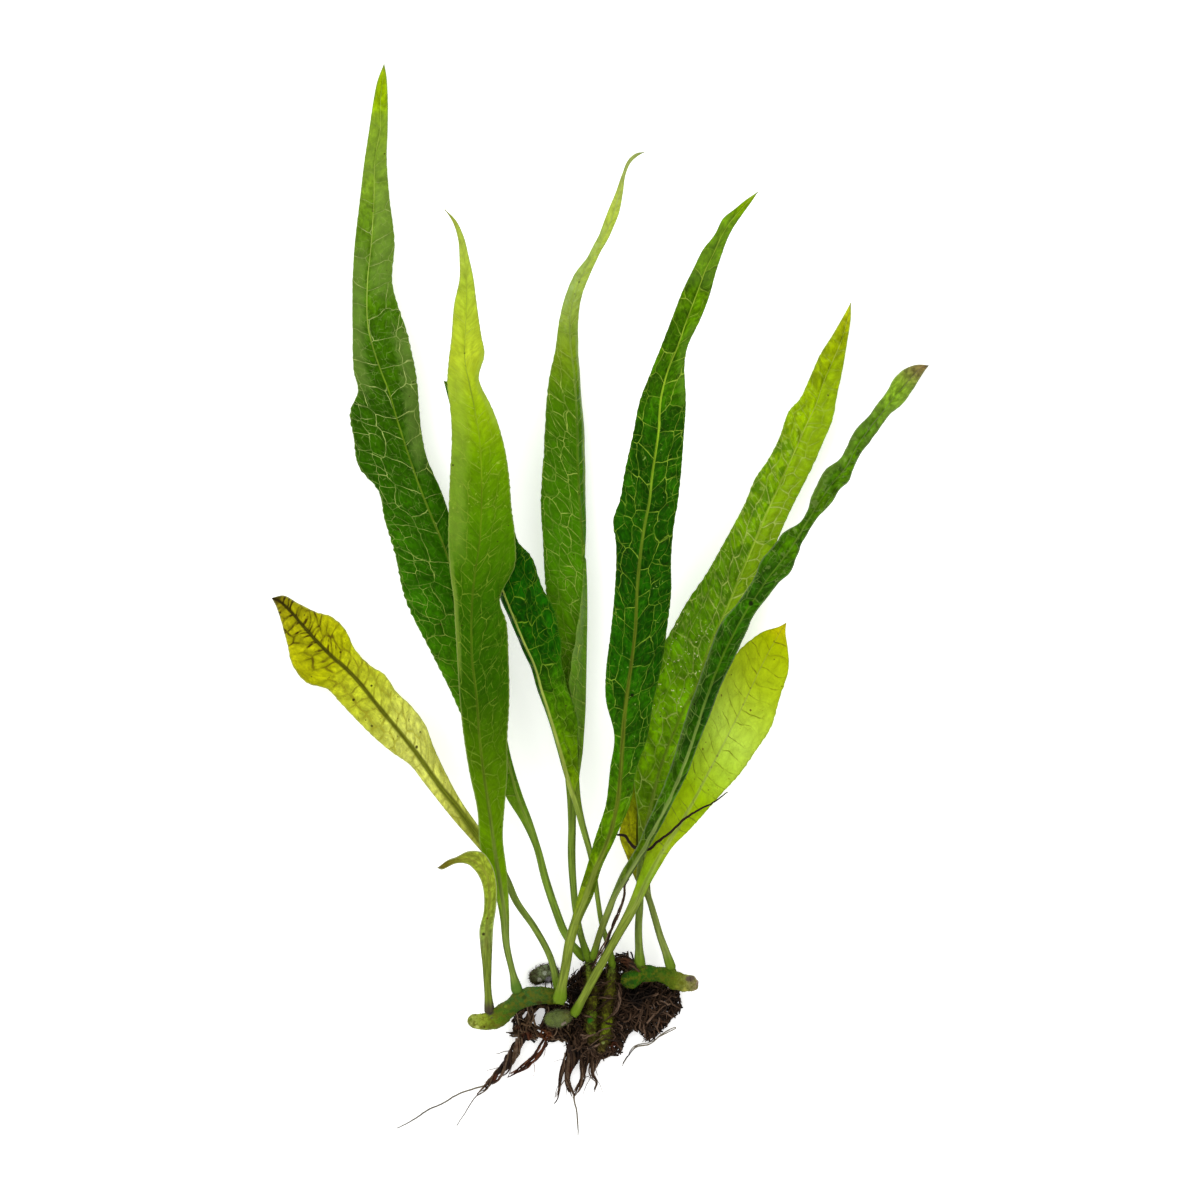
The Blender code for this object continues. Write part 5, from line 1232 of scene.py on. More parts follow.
# a narrow dark frond at the far right with a wavy edge
narrowRight = {
    "piece": "narrowRight",
    "node": "frond_narrow_right",
    "slot": "leaf_dark",
    "seed": 909,
    "ripple": (0.45, 7.0),
    "outerNet": (2.4, 2.2, 0.3),
    "lean": 0.3,
    "cell": (2.8, 5.4),
    "puff": 0.25,
    "fineCell": 1.5,
    "veins": 0.45,
    "bareTip": 0.4,
    "veinColours": [(0.0, "#98a878"), (0.4, "#84a44c"), (1.0, "#8ca84c")],
    "bladeColours": [
    (0.0, "#795b38"), (0.025, "#867f43"), (0.06, "#8cb22b"), (0.14, "#4e7d01"), (0.3, "#4a7500"),
    (0.5, "#336a00"), (0.68, "#1a4200"), (0.82, "#3e6e00"), (0.92, "#425c00"), (1.0, "#556e01"),
    ],
    "cloudColour": "#16400a",
    "grain": (0.9, 0.6),
    "paintedSheens": [(-1, 10, 50, 2.0, 0.25), (1, 4, 30, 2.0, 0.25), (-1, 84, 120, 1.2, 0.15)],
    "paintedSheenColour": "#7c9440",
    "flecksAndGlints": [(0.7, 0.6, 0.3, "#8ca454", 0, 8, 80)],
    "specks": 0.06,
    "speckColour": "#140e08",
    "rim": 0.35,
    "rimColour": "#8c9c6c",
    "marks": [(36.0, -0.8, 0, 0.7, "#10140a")],
    "rib": 0.7,
    "ribColours": [
    (0.0, "#7c7060"), (0.3, "#6c8c30"), (0.6, "#5c8018"), (0.75, "#94ac54"), (1.0, "#8c9c58"),
    ],
    "stalkColour": "#7a8838",
    "under": 0.5,
    "underColour": "#74963c",
    "roughness": 0.36,
    "glow": 0.18,
    "tip": (78.95, 56.3, 0.3),
    "blade": [
        (76.6, 56.5, 77.3, 55.8, 78.0, 55.1, 0.8, 0.1, -0.1),
        (73.4, 55.6, 75.1, 53.9, 76.6, 52.9, 1.7, 0.4, -0.2),
        (70.6, 53.2, 72.7, 51.0, 74.6, 49.8, 2.8, 0.8, -0.2),
        (68.6, 49.8, 70.3, 48.4, 72.7, 47.2, 4.0, 0.5, 0.5),
        (66.2, 46.7, 67.9, 45.2, 69.1, 44.0, 5.2, -0.3, 0.4),
        (64.3, 44.0, 65.5, 42.4, 66.7, 40.7, 6.3, -0.5, -0.4),
        (61.2, 40.9, 63.1, 39.2, 64.6, 37.8, 7.4, 0.4, -0.3),
        (59.0, 36.6, 61.0, 35.9, 62.4, 35.0, 8.5, 0.3, 0.4),
        (57.1, 33.5, 59.0, 32.0, 60.5, 31.0, 9.6, -0.3, -0.4),
        (54.0, 31.3, 56.9, 29.4, 59.5, 28.4, 10.7, 0.8, 0.6),
        (51.8, 27.5, 54.5, 26.4, 56.9, 25.9, 11.8, 0.6, 0.7),
        (50.4, 24.4, 52.6, 23.6, 55.3, 23.0, 12.7, 0.2, 0.9),
        (49.4, 21.0, 50.6, 20.5, 52.4, 20.2, 13.5, -0.2, 0.2),
        (47.8, 18.6, 49.0, 17.9, 50.2, 17.0, 14.2, -0.3, -0.4),
        (43.9, 16.2, 46.8, 14.3, 48.2, 13.3, 15.1, 0.7, -0.4),
        (41.4, 12.9, 44.4, 10.7, 46.8, 9.9, 15.9, 0.8, 0.3),
        (38.4, 9.4, 41.8, 7.4, 45.4, 6.6, 16.6, 0.9, 0.9),
        (37.0, 5.8, 39.4, 4.2, 42.4, 3.8, 17.2, 0.3, 0.5),
        (35.0, 2.5, 37.2, 0.8, 40.1, 0.8, 17.7, 0.2, 0.5),
        (32.9, -0.6, 35.0, -2.5, 37.2, -2.9, 18.0, 0.3, 0.3),
        (28.8, -5.6, 31.9, -8.0, 34.6, -8.4, 18.3, 0.6, 0.2),
        (26.2, -11.9, 29.0, -14.0, 31.9, -14.2, 18.3, 0.4, 0.2),
        (23.8, -18.6, 26.6, -20.0, 29.0, -20.2, 18.1, 0.3, 0.2),
        (20.9, -26.6, 24.0, -27.7, 26.2, -27.6, 17.7, 0.3, 0.1),
        (18.7, -33.8, 21.6, -35.2, 23.3, -34.8, 17.2, 0.3, 0.1),
        (16.8, -40.0, 19.2, -41.6, 20.9, -41.4, 16.6, 0.2, 0.0),
        (14.4, -46.2, 16.6, -47.6, 17.8, -47.6, 15.9, 0.2, 0.0),
        (11.3, -53.0, 13.2, -54.4, 14.6, -54.0, 15.0, 0.1, 0.0),
        (8.9, -58.7, 10.3, -59.8, 11.4, -59.5, 14.0, 0.0, 0.0),
        (5.0, -65.2, 6.5, -66.0, 7.6, -65.6, 12.9, 0.0, 0.0),
        (2.4, -71.2, 3.4, -71.4, 4.2, -70.9, 11.8, 0.0, 0.0),
    ],
    "stalk": [
        (1.4, -76.0, 10.8, 0.85),
        (-0.4, -81.0, 9.6, 0.8),
        (-1.4, -84.7, 8.5, 0.75),
    ],
}
makeFrond(narrowRight)


# a broad pale frond, yellow at the tip, with faint brownish cross veins
broadPale = {
    "piece": "broadPale",
    "node": "frond_broad_pale",
    "slot": "leaf_pale",
    "seed": 111,
    "ripple": (0.3, 9.0),
    "outerNet": (3.0, 2.6, 0.1),
    "arch": 0.05,
    "lean": 0.15,
    "cell": (3.6, 5.6),
    "puff": 0.25,
    "fineCell": 1.5,
    "veins": 0.22,
    "fineVeins": 0.12,
    "veinWidth": 0.12,
    "sideVeins": (3.6, 7.0, 0.85, 0.9),
    "halo": 0.03,
    "veinColours": [(0.0, "#7a7410"), (0.5, "#7c8414"), (1.0, "#8c9c3c")],
    "bladeColours": [
    (0.0, "#e1d207"), (0.08, "#b4c502"), (0.22, "#b4cb1c"), (0.4, "#bfdd4a"), (0.6, "#a4c809"),
    (0.78, "#a8c316"), (0.9, "#8cb816"), (1.0, "#87a528"),
    ],
    "clouds": 0.15,
    "cloudColour": "#98a80c",
    "mottle": 0.06,
    "grain": (1.6, 1.1),
    "grainDepth": 0.06,
    "flecksAndGlints": [(1.5, 0.68, 0.6, "#8c8410", 0, 6, 90)],
    "specks": 0.2,
    "speckColour": "#5c4410",
    "rimColour": "#8c9420",
    "rib": 0.5,
    "ribColours": [(0.0, "#a8a440"), (0.4, "#a4b458"), (0.8, "#a8b860"), (1.0, "#8c9c48")],
    "underColour": "#b0bc60",
    "roughness": 0.4,
    "glow": 0.2,
    "tip": (44.6, -5.4, 9.0),
    "blade": [
        (42.7, -6.4, 43.4, -7.1, 44.4, -7.6, 9.3, 0.0, 0.0),
        (39.6, -7.3, 42.0, -9.5, 44.9, -11.4, 9.9, 0.2, 0.2),
        (36.2, -9.4, 39.6, -13.8, 45.1, -16.7, 10.6, 0.4, 0.3),
        (33.1, -12.2, 37.0, -19.1, 43.0, -23.2, 11.2, 0.6, -0.3),
        (29.3, -17.2, 34.1, -25.3, 41.0, -30.2, 11.7, 0.7, 0.5),
        (26.4, -22.8, 31.2, -31.1, 37.2, -36.1, 12.0, 0.6, 0.2),
        (23.5, -29.2, 28.1, -37.1, 33.4, -41.6, 12.0, 0.5, 0.3),
        (20.9, -35.8, 25.2, -42.6, 29.0, -46.4, 11.8, 0.4, 0.1),
        (18.2, -42.4, 22.6, -47.6, 25.0, -51.0, 11.5, 0.3, -0.3),
        (15.4, -48.8, 19.4, -53.2, 21.4, -55.0, 11.1, 0.2, -0.6),
        (12.9, -54.8, 15.8, -58.6, 17.2, -59.3, 10.8, 0.1, -0.5),
        (10.9, -61.1, 13.2, -63.2, 14.6, -63.4, 10.6, 0.0, -0.2),
        (8.9, -67.1, 10.8, -68.0, 12.0, -67.9, 10.5, 0.0, 0.0),
        (6.7, -72.8, 8.4, -73.3, 9.6, -73.0, 10.4, 0.0, 0.0),
    ],
    "stalk": [
        (4.8, -79.1, 10.2, 1.1),
        (1.8, -84.4, 9.9, 1.05),
        (-2.6, -92.5, 9.2, 1.0),
        (-5.7, -98.2, 7.8, 0.95),
    ],
}
makeFrond(broadPale)


# an old yellow frond with a dark midrib, low behind the others
oldYellow = {
    "piece": "oldYellow",
    "node": "frond_old_yellow",
    "slot": "leaf_yellow",
    "seed": 222,
    "ripple": (0.15, 6.0),
    "outerNet": (2.0, 2.0, 0.3),
    "lean": 0.3,
    "cell": (2.4, 3.8),
    "puff": 0.15,
    "fineCell": 1.2,
    "veins": 0.5,
    "veinWidth": 0.16,
    "veinColours": [(0.0, "#5c5414"), (1.0, "#7c7c20")],
    "bladeColours": [
    (0.0, "#4c5c0c"), (0.2, "#7c8c0c"), (0.4, "#b0b410"), (0.8, "#b4b418"), (1.0, "#8c942c"),
    ],
    "clouds": 0.1,
    "cloudColour": "#6c7408",
    "mottle": 0.2,
    "specks": 0.15,
    "speckColour": "#4a3c10",
    "rimColour": "#7c7418",
    "rib": 1.0,
    "ribColours": [(0.0, "#3c4808"), (0.6, "#48500c"), (1.0, "#6c7420")],
    "stalkColour": "#8c9c4c",
    "under": 0.4,
    "underColour": "#a8a850",
    "roughness": 0.42,
    "glow": 0.28,
    "tip": (9.1, -41.6, 2.0),
    "blade": [
        (8.2, -43.6, 9.1, -43.8, 10.1, -43.6, 2.3, 0.0, 0.0),
        (7.0, -48.8, 9.0, -48.6, 11.0, -47.9, 2.9, 0.2, 0.1),
        (5.0, -54.1, 8.9, -53.6, 12.2, -52.7, 3.3, 0.3, 0.2),
        (4.7, -57.0, 8.9, -58.0, 12.7, -57.5, 3.5, 0.2, 0.3),
        (6.5, -61.9, 9.2, -62.8, 12.5, -62.3, 3.7, 0.1, 0.1),
        (8.4, -66.9, 10.1, -67.3, 12.0, -66.4, 3.9, 0.0, 0.0),
    ],
    "stalk": [
        (11.6, -71.2, 4.1, 0.75),
        (13.0, -75.7, 4.4, 0.8),
        (14.4, -80.5, 4.9, 0.85),
        (15.8, -84.4, 5.7, 0.95),
        (16.8, -87.4, 6.5, 0.95),
    ],
}
makeFrond(oldYellow)


# Rhizomes. A path holds x, y, z and the radius at each point. A pull draws the skin towards a stalk's foot:
# x, y, z, reach and share. A mark is a scar, a pit or a patch: x, y, z, radius and colour.

stemBuild = {
    "step": 0.16,
    "sides": 44,
    "endReach": 0.45,           # how far a rounded end goes past its last point, in radii
}


def makeStemRelief():
    # low lumps on the stem, and short fuzz that stands on its skin
    tree, given, end = newTree("stemRelief", {
        "Lump": "NodeSocketFloat",
        "Lump Pace": "NodeSocketFloat",
        "Fuzz Density": "NodeSocketFloat",
        "Fuzz Length": "NodeSocketFloat",
        "Seed": "NodeSocketInt",
        "Material": "NodeSocketMaterial",
    })
    place = addNode(tree, "GeometryNodeInputPosition")
    normal = addNode(tree, "GeometryNodeInputNormal")
    place = addNode(tree, "ShaderNodeVectorMath", {0: place, "Scale": 1 / mm}, operation="SCALE")
    lump = addNode(tree, "ShaderNodeTexNoise", {"Vector": place, "Scale": given["Lump Pace"], "Detail": 4.0})
    lump = addNode(tree, "ShaderNodeMapRange", {"Value": lump, "From Min": 0.3, "From Max": 0.7,
                                                "To Min": -1.0, "To Max": 1.0})
    lump = addNode(tree, "ShaderNodeMath", {0: lump, 1: given["Lump"]}, operation="MULTIPLY")
    offset = addNode(tree, "ShaderNodeVectorMath", {0: normal, "Scale": lump}, operation="SCALE")
    skin = addNode(tree, "GeometryNodeSetPosition", {"Geometry": given["Geometry"], "Offset": offset})

    spread = addNode(tree, "GeometryNodeDistributePointsOnFaces", {
        "Mesh": skin, "Density": given["Fuzz Density"], "Seed": given["Seed"]}, out=None)
    line = addNode(tree, "GeometryNodeCurvePrimitiveLine", {"End": (0.25, 0.0, 1.0)})
    line = addNode(tree, "GeometryNodeResampleCurve", {"Curve": line, "Count": 4})
    way = addNode(tree, "GeometryNodeSplineParameter")
    bend = addNode(tree, "ShaderNodeMath", {0: way, 1: 3.1}, operation="MULTIPLY")
    bend = addNode(tree, "ShaderNodeMath", {0: bend}, operation="SINE")
    bend = addNode(tree, "ShaderNodeCombineXYZ", {1: bend})
    bend = addNode(tree, "ShaderNodeVectorMath", {0: bend, "Scale": 0.25}, operation="SCALE")
    line = addNode(tree, "GeometryNodeSetPosition", {"Geometry": line, "Offset": bend})
    thin = addNode(tree, "ShaderNodeMapRange", {"Value": way, "To Min": 0.05, "To Max": 0.02})
    ring = addNode(tree, "GeometryNodeCurvePrimitiveCircle", {"Resolution": 3, "Radius": 1.0})
    hair = addNode(tree, "GeometryNodeCurveToMesh", {"Curve": line, "Profile Curve": ring, "Scale": thin,
                                                     "Fill Caps": True})
    hair = addNode(tree, "GeometryNodeStoreNamedAttribute", {"Geometry": hair, "Name": "fuzz", "Value": 1.0})
    size = addNode(tree, "FunctionNodeRandomValue", {2: 0.4, 3: 1.2, "Seed": given["Seed"]}, out=1)
    size = addNode(tree, "ShaderNodeMath", {0: size, 1: given["Fuzz Length"]}, operation="MULTIPLY")
    turn = addNode(tree, "FunctionNodeRandomValue", {0: (-0.9, -0.9, -3.1), 1: (0.9, 0.9, 3.1)},
                   data_type="FLOAT_VECTOR")
    turn = addNode(tree, "FunctionNodeEulerToRotation", {0: turn})
    turn = addNode(tree, "FunctionNodeRotateRotation", {0: spread.outputs["Rotation"], 1: turn},
                   rotation_space="LOCAL")
    fuzz = addNode(tree, "GeometryNodeInstanceOnPoints", {
        "Points": spread.outputs["Points"], "Instance": hair, "Rotation": turn, "Scale": size})
    both = addNode(tree, "GeometryNodeJoinGeometry", {0: skin})
    tree.links.new(fuzz, both.node.inputs[0])
    endTree(tree, end, both, given["Material"])
    return tree


def stemMaterial(stem):
    # the dull, slightly waxy skin of a creeping stem, with film and scars that show its age
    material = bpy.data.materials.new("rhizomeSkin_" + stem["piece"])
    material.use_nodes = True
    tree = material.node_tree
    skin = tree.nodes["Principled BSDF"]
    read = {"attribute_type": "GEOMETRY"}
    stemMap = addNode(tree, "ShaderNodeAttribute", attribute_name="stemMap", out=1, **read)
    share = addNode(tree, "ShaderNodeSeparateXYZ", {0: stemMap}, out=2)
    fuzz = addNode(tree, "ShaderNodeAttribute", attribute_name="fuzz", out=2, **read)
    place = addNode(tree, "ShaderNodeTexCoord", out=3)
    place = addNode(tree, "ShaderNodeVectorMath", {0: place, "Scale": 1 / mm}, operation="SCALE")
    blend = {"data_type": "RGBA", "out": 2}
    base = addNode(tree, "ShaderNodeValToRGB", {0: share}, stops=stem["colours"])
    grain = addNode(tree, "ShaderNodeTexNoise", {"Vector": place, "Scale": 2.2, "Detail": 5.0, "Roughness": 0.7})
    light = addNode(tree, "ShaderNodeMapRange", {"Value": grain, "From Min": 0.3, "From Max": 0.7,
                                                 "To Min": 0.6, "To Max": 1.35})
    base = addNode(tree, "ShaderNodeVectorMath", {0: base, "Scale": light}, operation="SCALE")
    patch = addNode(tree, "ShaderNodeTexNoise", {"Vector": place, "Scale": stem["patchPace"], "Detail": 5.0,
                                                 "Roughness": 0.65})
    low = 0.6 - 0.25 * stem["patches"]
    patch = addNode(tree, "ShaderNodeMapRange", {"Value": patch, "From Min": low, "From Max": low + 0.16,
                                                 "To Max": 0.8})
    base = addNode(tree, "ShaderNodeMix", {0: patch, 6: base, 7: colour(stem["patchColour"])}, **blend)
    base = addMarks(tree, base, place, stem["marks"])
    base = addNode(tree, "ShaderNodeMix", {0: fuzz, 6: base, 7: colour(stem["fuzzColour"])}, **blend)
    bump = addNode(tree, "ShaderNodeBump", {"Strength": 0.6, "Distance": 0.0003, "Height": grain})
    tree.links.new(base, skin.inputs["Base Color"])
    tree.links.new(bump, skin.inputs["Normal"])
    skin.inputs["Roughness"].default_value = stem["roughness"]
    skin.inputs["Specular IOR Level"].default_value = 0.05
    return material


stemRelief = makeStemRelief()


def makeStem(stem):
    path = np.array(stem["path"])
    knots = np.r_[0, np.cumsum(np.linalg.norm(np.diff(path[:, :3], axis=0), axis=1))]
    start, stop = -stemBuild["endReach"] * path[1, 3], knots[-1] + stemBuild["endReach"] * path[-2, 3]
    middle = np.arange(start, stop, stemBuild["step"])
    turn = 1 - np.cos(np.linspace(0.05, math.pi / 2, 9))
    at = np.unique(np.r_[start + turn * path[1, 3], middle[(middle > start + 0.3) & (middle < stop - 0.3)],
                         stop - turn * path[-2, 3]])
    ends = path.copy()
    ends[0, 3], ends[-1, 3] = path[1, 3] * 0.95, path[-2, 3] * 0.95
    rows = throughPoints(knots, ends, np.clip(at, 0, knots[-1]))
    heading = unit(np.gradient(rows[:, :3], axis=0) + 1e-6)
    ahead = unit(path[1, :3] - path[0, :3])
    back = unit(path[-1, :3] - path[-2, :3])
    heading[at < 0.3] = ahead
    heading[at > knots[-1] - 0.3] = back
    rows[:, :3] += heading * (at - np.clip(at, 0, knots[-1]))[:, None]
    for edge, reach in ((at - start, path[1, 3]), (stop - at, path[-2, 3])):
        rows[:, 3] *= np.sqrt(np.clip(1 - np.clip(1 - edge / reach, 0, 1) ** 2, 0.0004, 1))
    side = unit(np.cross(heading, (0, 0, 1)))
    up = np.cross(side, heading)
    angle = np.arange(stemBuild["sides"]) / stemBuild["sides"] * 2 * math.pi
    wheel = side[:, None] * np.cos(angle)[:, None] + up[:, None] * np.sin(angle)[:, None]
    points = rows[:, None, :3] + wheel * rows[:, 3][:, None, None]
    for x, y, z, reach, share in stem["pulls"]:
        gap = np.array((x, y, z)) - points
        weight = share * np.exp(-(gap ** 2).sum(2) / reach ** 2)
        points = points + gap * weight[:, :, None]
    sides = stemBuild["sides"]
    faces = []
    for row in range(len(at) - 1):
        first = row * sides
        for place in range(sides):
            following = (place + 1) % sides
            faces.append((first + place, first + following, first + sides + following, first + sides + place))
    faces.append(tuple(range(sides)))
    faces.append(tuple(range((len(at) - 1) * sides, len(at) * sides)))
    stemMap = np.zeros(points.shape)
    stemMap[:, :, 0] = angle
    stemMap[:, :, 1] = at[:, None]
    stemMap[:, :, 2] = np.clip(at / knots[-1], 0, 1)[:, None]
    piece = newPiece(stem["piece"], points.reshape(-1, 3), faces, {"stemMap": stemMap.reshape(-1, 3)})
    runTree(piece, stemRelief, {
        "Lump": stem["lump"] * mm,
        "Lump Pace": stem["lumpPace"],
        "Fuzz Density": stem["fuzz"] / mm ** 2,
        "Fuzz Length": stem["fuzzLength"] * mm,
        "Seed": stem["seed"],
        "Material": stemMaterial(stem),
    })
    finishPiece(piece, stem["node"])
    print(f"{stem['piece']} has {len(piece.data.polygons)} faces")


# the left rhizome, with a pale growing tip and a dark scar where a frond broke off
leftRhizome = {
    "piece": "leftRhizome",
    "node": "rhizome_left",
    "slot": "rhizome_green",
    "seed": 11,
    "path": [
        (-30.9, -100.7, 6.2, 0.9),
        (-29.8, -100.8, 6.3, 1.8),
        (-26.9, -101.1, 6.7, 2.0),
        (-24.7, -100.4, 6.9, 2.2),
        (-22.6, -98.5, 6.9, 2.15),
        (-20.2, -96.6, 6.9, 1.95),
        (-16.8, -94.9, 6.9, 2.2),
        (-13.2, -94.7, 6.9, 2.0),
        (-10.6, -95.2, 6.8, 1.75),
        (-9.3, -95.6, 6.7, 1.1),
    ],
    "pulls": [
        (-26.3, -98.0, 7.4, 2.2, 0.55),
        (-20.1, -93.2, 7.3, 2.6, 0.6),
        (-10.4, -92.9, 6.8, 2.0, 0.4),
        (-9.6, -95.3, 9.6, 2.0, 0.4),
    ],
    "colours": [(0.0, "#9ca84a"), (0.12, "#8c9c2c"), (0.22, "#667a18"), (0.32, "#486810"), (0.5, "#38581a"),
                (0.72, "#3c5e22"), (0.9, "#3c520e"), (1.0, "#463c10")],
    "patchColour": "#5c5c12",
    "patches": 0.62,
    "patchPace": 0.8,
    "marks": [
        (-26.4, -98.6, 8.3, 1.0, "#33232b"),
        (-26.0, -99.8, 8.9, 0.5, "#4c3c34"),
        (-27.7, -102.2, 8.3, 0.3, "#3c300c"),
        (-30.9, -100.4, 7.6, 0.45, "#5c7014"),
        (-29.4, -102.3, 7.7, 0.6, "#b8be64"),
        (-22.6, -97.2, 8.8, 0.5, "#6c7c20"),
        (-18.2, -95.0, 9.0, 0.7, "#2c4010"),
        (-14.6, -96.4, 8.0, 0.9, "#3a3410"),
        (-24.6, -101.6, 8.2, 0.7, "#6c6a1c"),
    ],
    "lump": 0.2,
    "lumpPace": 0.5,
    "fuzz": 2.0,
    "fuzzLength": 0.35,
    "fuzzColour": "#54602c",
    "roughness": 0.5,
}
makeStem(leftRhizome)

# two mossy branches that run down over the root mat
middleRhizome = {
    "piece": "middleRhizome",
    "node": "rhizome_middle",
    "slot": "rhizome_mossy",
    "seed": 12,
    "path": [
        (-2.6, -86.8, 6.0, 1.15),
        (-2.2, -91.1, 5.9, 1.15),
        (-1.9, -95.9, 5.8, 1.2),
        (-2.0, -101.2, 5.8, 1.2),
        (-1.7, -105.5, 5.7, 1.0),
    ],
    "pulls": [(-3.4, -84.9, 6.6, 2.2, 0.5), (-1.5, -84.9, 8.0, 2.2, 0.4)],
    "colours": [(0.0, "#76903c"), (0.15, "#66781c"), (0.32, "#545c12"), (0.5, "#66681a"), (0.66, "#587014"),
                (0.85, "#66761e"), (1.0, "#48441a")],
    "patchColour": "#2a1c0e",
    "patches": 0.72,
    "patchPace": 0.75,
    "marks": [
        (-2.6, -100.6, 6.9, 0.9, "#1f6414"),
        (-2.4, -90.0, 7.0, 1.2, "#7a8c28"),
        (-1.2, -104.0, 6.7, 0.5, "#6c7c30"),
        (-2.0, -93.6, 7.0, 1.0, "#34260f"),
        (-2.2, -97.6, 7.0, 0.9, "#2e2110"),
    ],
    "lump": 0.3,
    "lumpPace": 0.55,
    "fuzz": 10.0,
    "fuzzLength": 0.9,
    "fuzzColour": "#4a4418",
    "roughness": 0.8,
}
makeStem(middleRhizome)
backRhizome = {
    "piece": "backRhizome",
    "node": "rhizome_back",
    "slot": "rhizome_mossy",
    "seed": 13,
    "path": [
        (2.8, -87.7, 5.7, 0.85),
        (2.6, -92.3, 5.7, 0.95),
        (1.8, -97.1, 5.8, 1.1),
        (1.7, -101.2, 5.8, 1.2),
        (0.9, -106.0, 5.6, 0.9),
    ],
    "pulls": [(2.8, -86.4, 5.8, 1.8, 0.5)],
    "colours": [(0.0, "#728a30"), (0.2, "#666c1c"), (0.42, "#5a5816"), (0.6, "#5a5e14"), (0.78, "#768812"),
                (0.92, "#747e22"), (1.0, "#504818")],
    "patchColour": "#2a1c0e",
    "patches": 0.66,
    "patchPace": 0.75,
    "marks": [
        (1.6, -102.4, 6.8, 1.2, "#6c8010"),
        (0.8, -106.0, 6.4, 0.5, "#8c9c54"),
        (2.2, -95.4, 6.8, 1.1, "#34260f"),
    ],
    "lump": 0.3,
    "lumpPace": 0.55,
    "fuzz": 10.0,
    "fuzzLength": 0.9,
    "fuzzColour": "#4a4418",
    "roughness": 0.8,
}
makeStem(backRhizome)

# the right rhizome, green and downy, with a greyish worn end
rightRhizome = {
    "piece": "rightRhizome",
    "node": "rhizome_right",
    "slot": "rhizome_green",
    "seed": 14,
    "path": [
        (5.8, -91.1, 6.8, 1.2),
        (7.2, -91.0, 6.8, 2.05),
        (9.6, -89.7, 6.9, 2.05),
        (12.2, -89.4, 6.9, 1.9),
        (15.1, -89.9, 6.9, 1.85),
        (18.0, -91.1, 6.9, 2.15),
        (20.9, -91.8, 6.8, 2.0),
        (22.7, -91.8, 6.8, 1.4),
    ],
    "pulls": [(9.4, -87.0, 6.9, 2.5, 0.6), (17.0, -88.0, 6.6, 2.5, 0.6)],
    "colours": [(0.0, "#1c3a08"), (0.1, "#245408"), (0.25, "#285408"), (0.42, "#2c520c"), (0.58, "#3a5a0c"),
                (0.74, "#5a6a14"), (0.88, "#84883c"), (1.0, "#94865c")],
    "patchColour": "#5c6010",
    "patches": 0.6,
    "patchPace": 0.8,
    "marks": [
        (21.6, -90.4, 8.4, 1.3, "#57483f"),
        (23.0, -91.6, 7.4, 0.8, "#8a7468"),
        (20.4, -93.0, 7.8, 0.9, "#b0ac48"),
        (18.6, -92.4, 8.2, 0.8, "#7c8424"),
        (14.6, -89.6, 8.6, 0.8, "#4c5c10"),
        (7.6, -91.4, 8.6, 0.7, "#20400a"),
        (8.9, -88.4, 8.5, 0.7, "#5c5010"),
        (11.0, -91.6, 7.6, 0.5, "#4c4410"),
    ],
    "lump": 0.26,
    "lumpPace": 0.55,
    "fuzz": 4.0,
    "fuzzLength": 0.4,
    "fuzzColour": "#445c14",
    "roughness": 0.65,
}
makeStem(rightRhizome)

# a grey-green downy nub in front, where the broad frond's stalk starts
frontRhizome = {
    "piece": "frontRhizome",
    "node": "rhizome_front",
    "slot": "rhizome_grey",
    "seed": 15,
    "path": [
        (-12.5, -100.5, 6.5, 0.9),
        (-11.5, -100.4, 6.6, 1.75),
        (-10.1, -100.2, 6.7, 2.1),
        (-8.5, -99.9, 6.7, 1.7),
        (-7.6, -99.7, 6.7, 0.9),
    ],
    "pulls": [(-6.2, -98.8, 7.4, 2.6, 0.4), (-12.2, -102.0, 6.0, 1.5, 0.3)],
    "colours": [(0.0, "#647434"), (0.5, "#66743e"), (1.0, "#6c7034")],
    "patchColour": "#38401c",
    "patches": 0.5,
    "patchPace": 1.1,
    "marks": [(-8.6, -101.6, 7.6, 0.8, "#a08c84"), (-8.0, -98.4, 7.8, 0.8, "#5c5430")],
    "lump": 0.14,
    "lumpPace": 0.8,
    "fuzz": 22.0,
    "fuzzLength": 0.45,
    "fuzzColour": "#7a8458",
    "roughness": 0.85,
}
makeStem(frontRhizome)

# an old, dead end at the back, furred with brown
oldRhizome = {
    "piece": "oldRhizome",
    "node": "rhizome_old_end",
    "slot": "rhizome_grey",
    "seed": 16,
    "path": [
        (-16.0, -90.9, 2.6, 1.2),
        (-14.8, -90.2, 2.7, 1.9),
        (-13.0, -89.6, 2.8, 2.2),
        (-11.4, -89.8, 2.7, 1.9),
        (-10.5, -90.2, 2.6, 1.2),
    ],
    "pulls": [],
    "colours": [(0.0, "#4c5030"), (0.3, "#66704c"), (0.75, "#84906c"), (1.0, "#6c7040")],
    "patchColour": "#34281a",
    "patches": 0.5,
    "patchPace": 1.0,
    "marks": [
        (-12.3, -91.2, 4.4, 1.1, "#b4acb8"),
        (-14.4, -91.0, 4.3, 0.7, "#c0c0ac"),
        (-13.2, -89.4, 5.0, 0.6, "#a8ae98"),
        (-11.0, -88.6, 4.0, 0.9, "#6c7c38"),
    ],
    "lump": 0.2,
    "lumpPace": 0.9,
    "fuzz": 9.0,
    "fuzzLength": 0.8,
    "fuzzColour": "#3c2a1a",
    "roughness": 0.85,
}
makeStem(oldRhizome)


# Roots. A mat is felted from short curved fibres scattered inside its outline, round its holes. A strand is a
# bundle of fibres along a path, which holds x, y, z and the bundle's radius at each point.

rootBuild = {
    "cell": 0.7,                # of the plan that the fibres start from
    "step": 0.55,               # between points along a guided fibre
    "points": 9,                # along a scattered fibre
    "sides": 4,
}


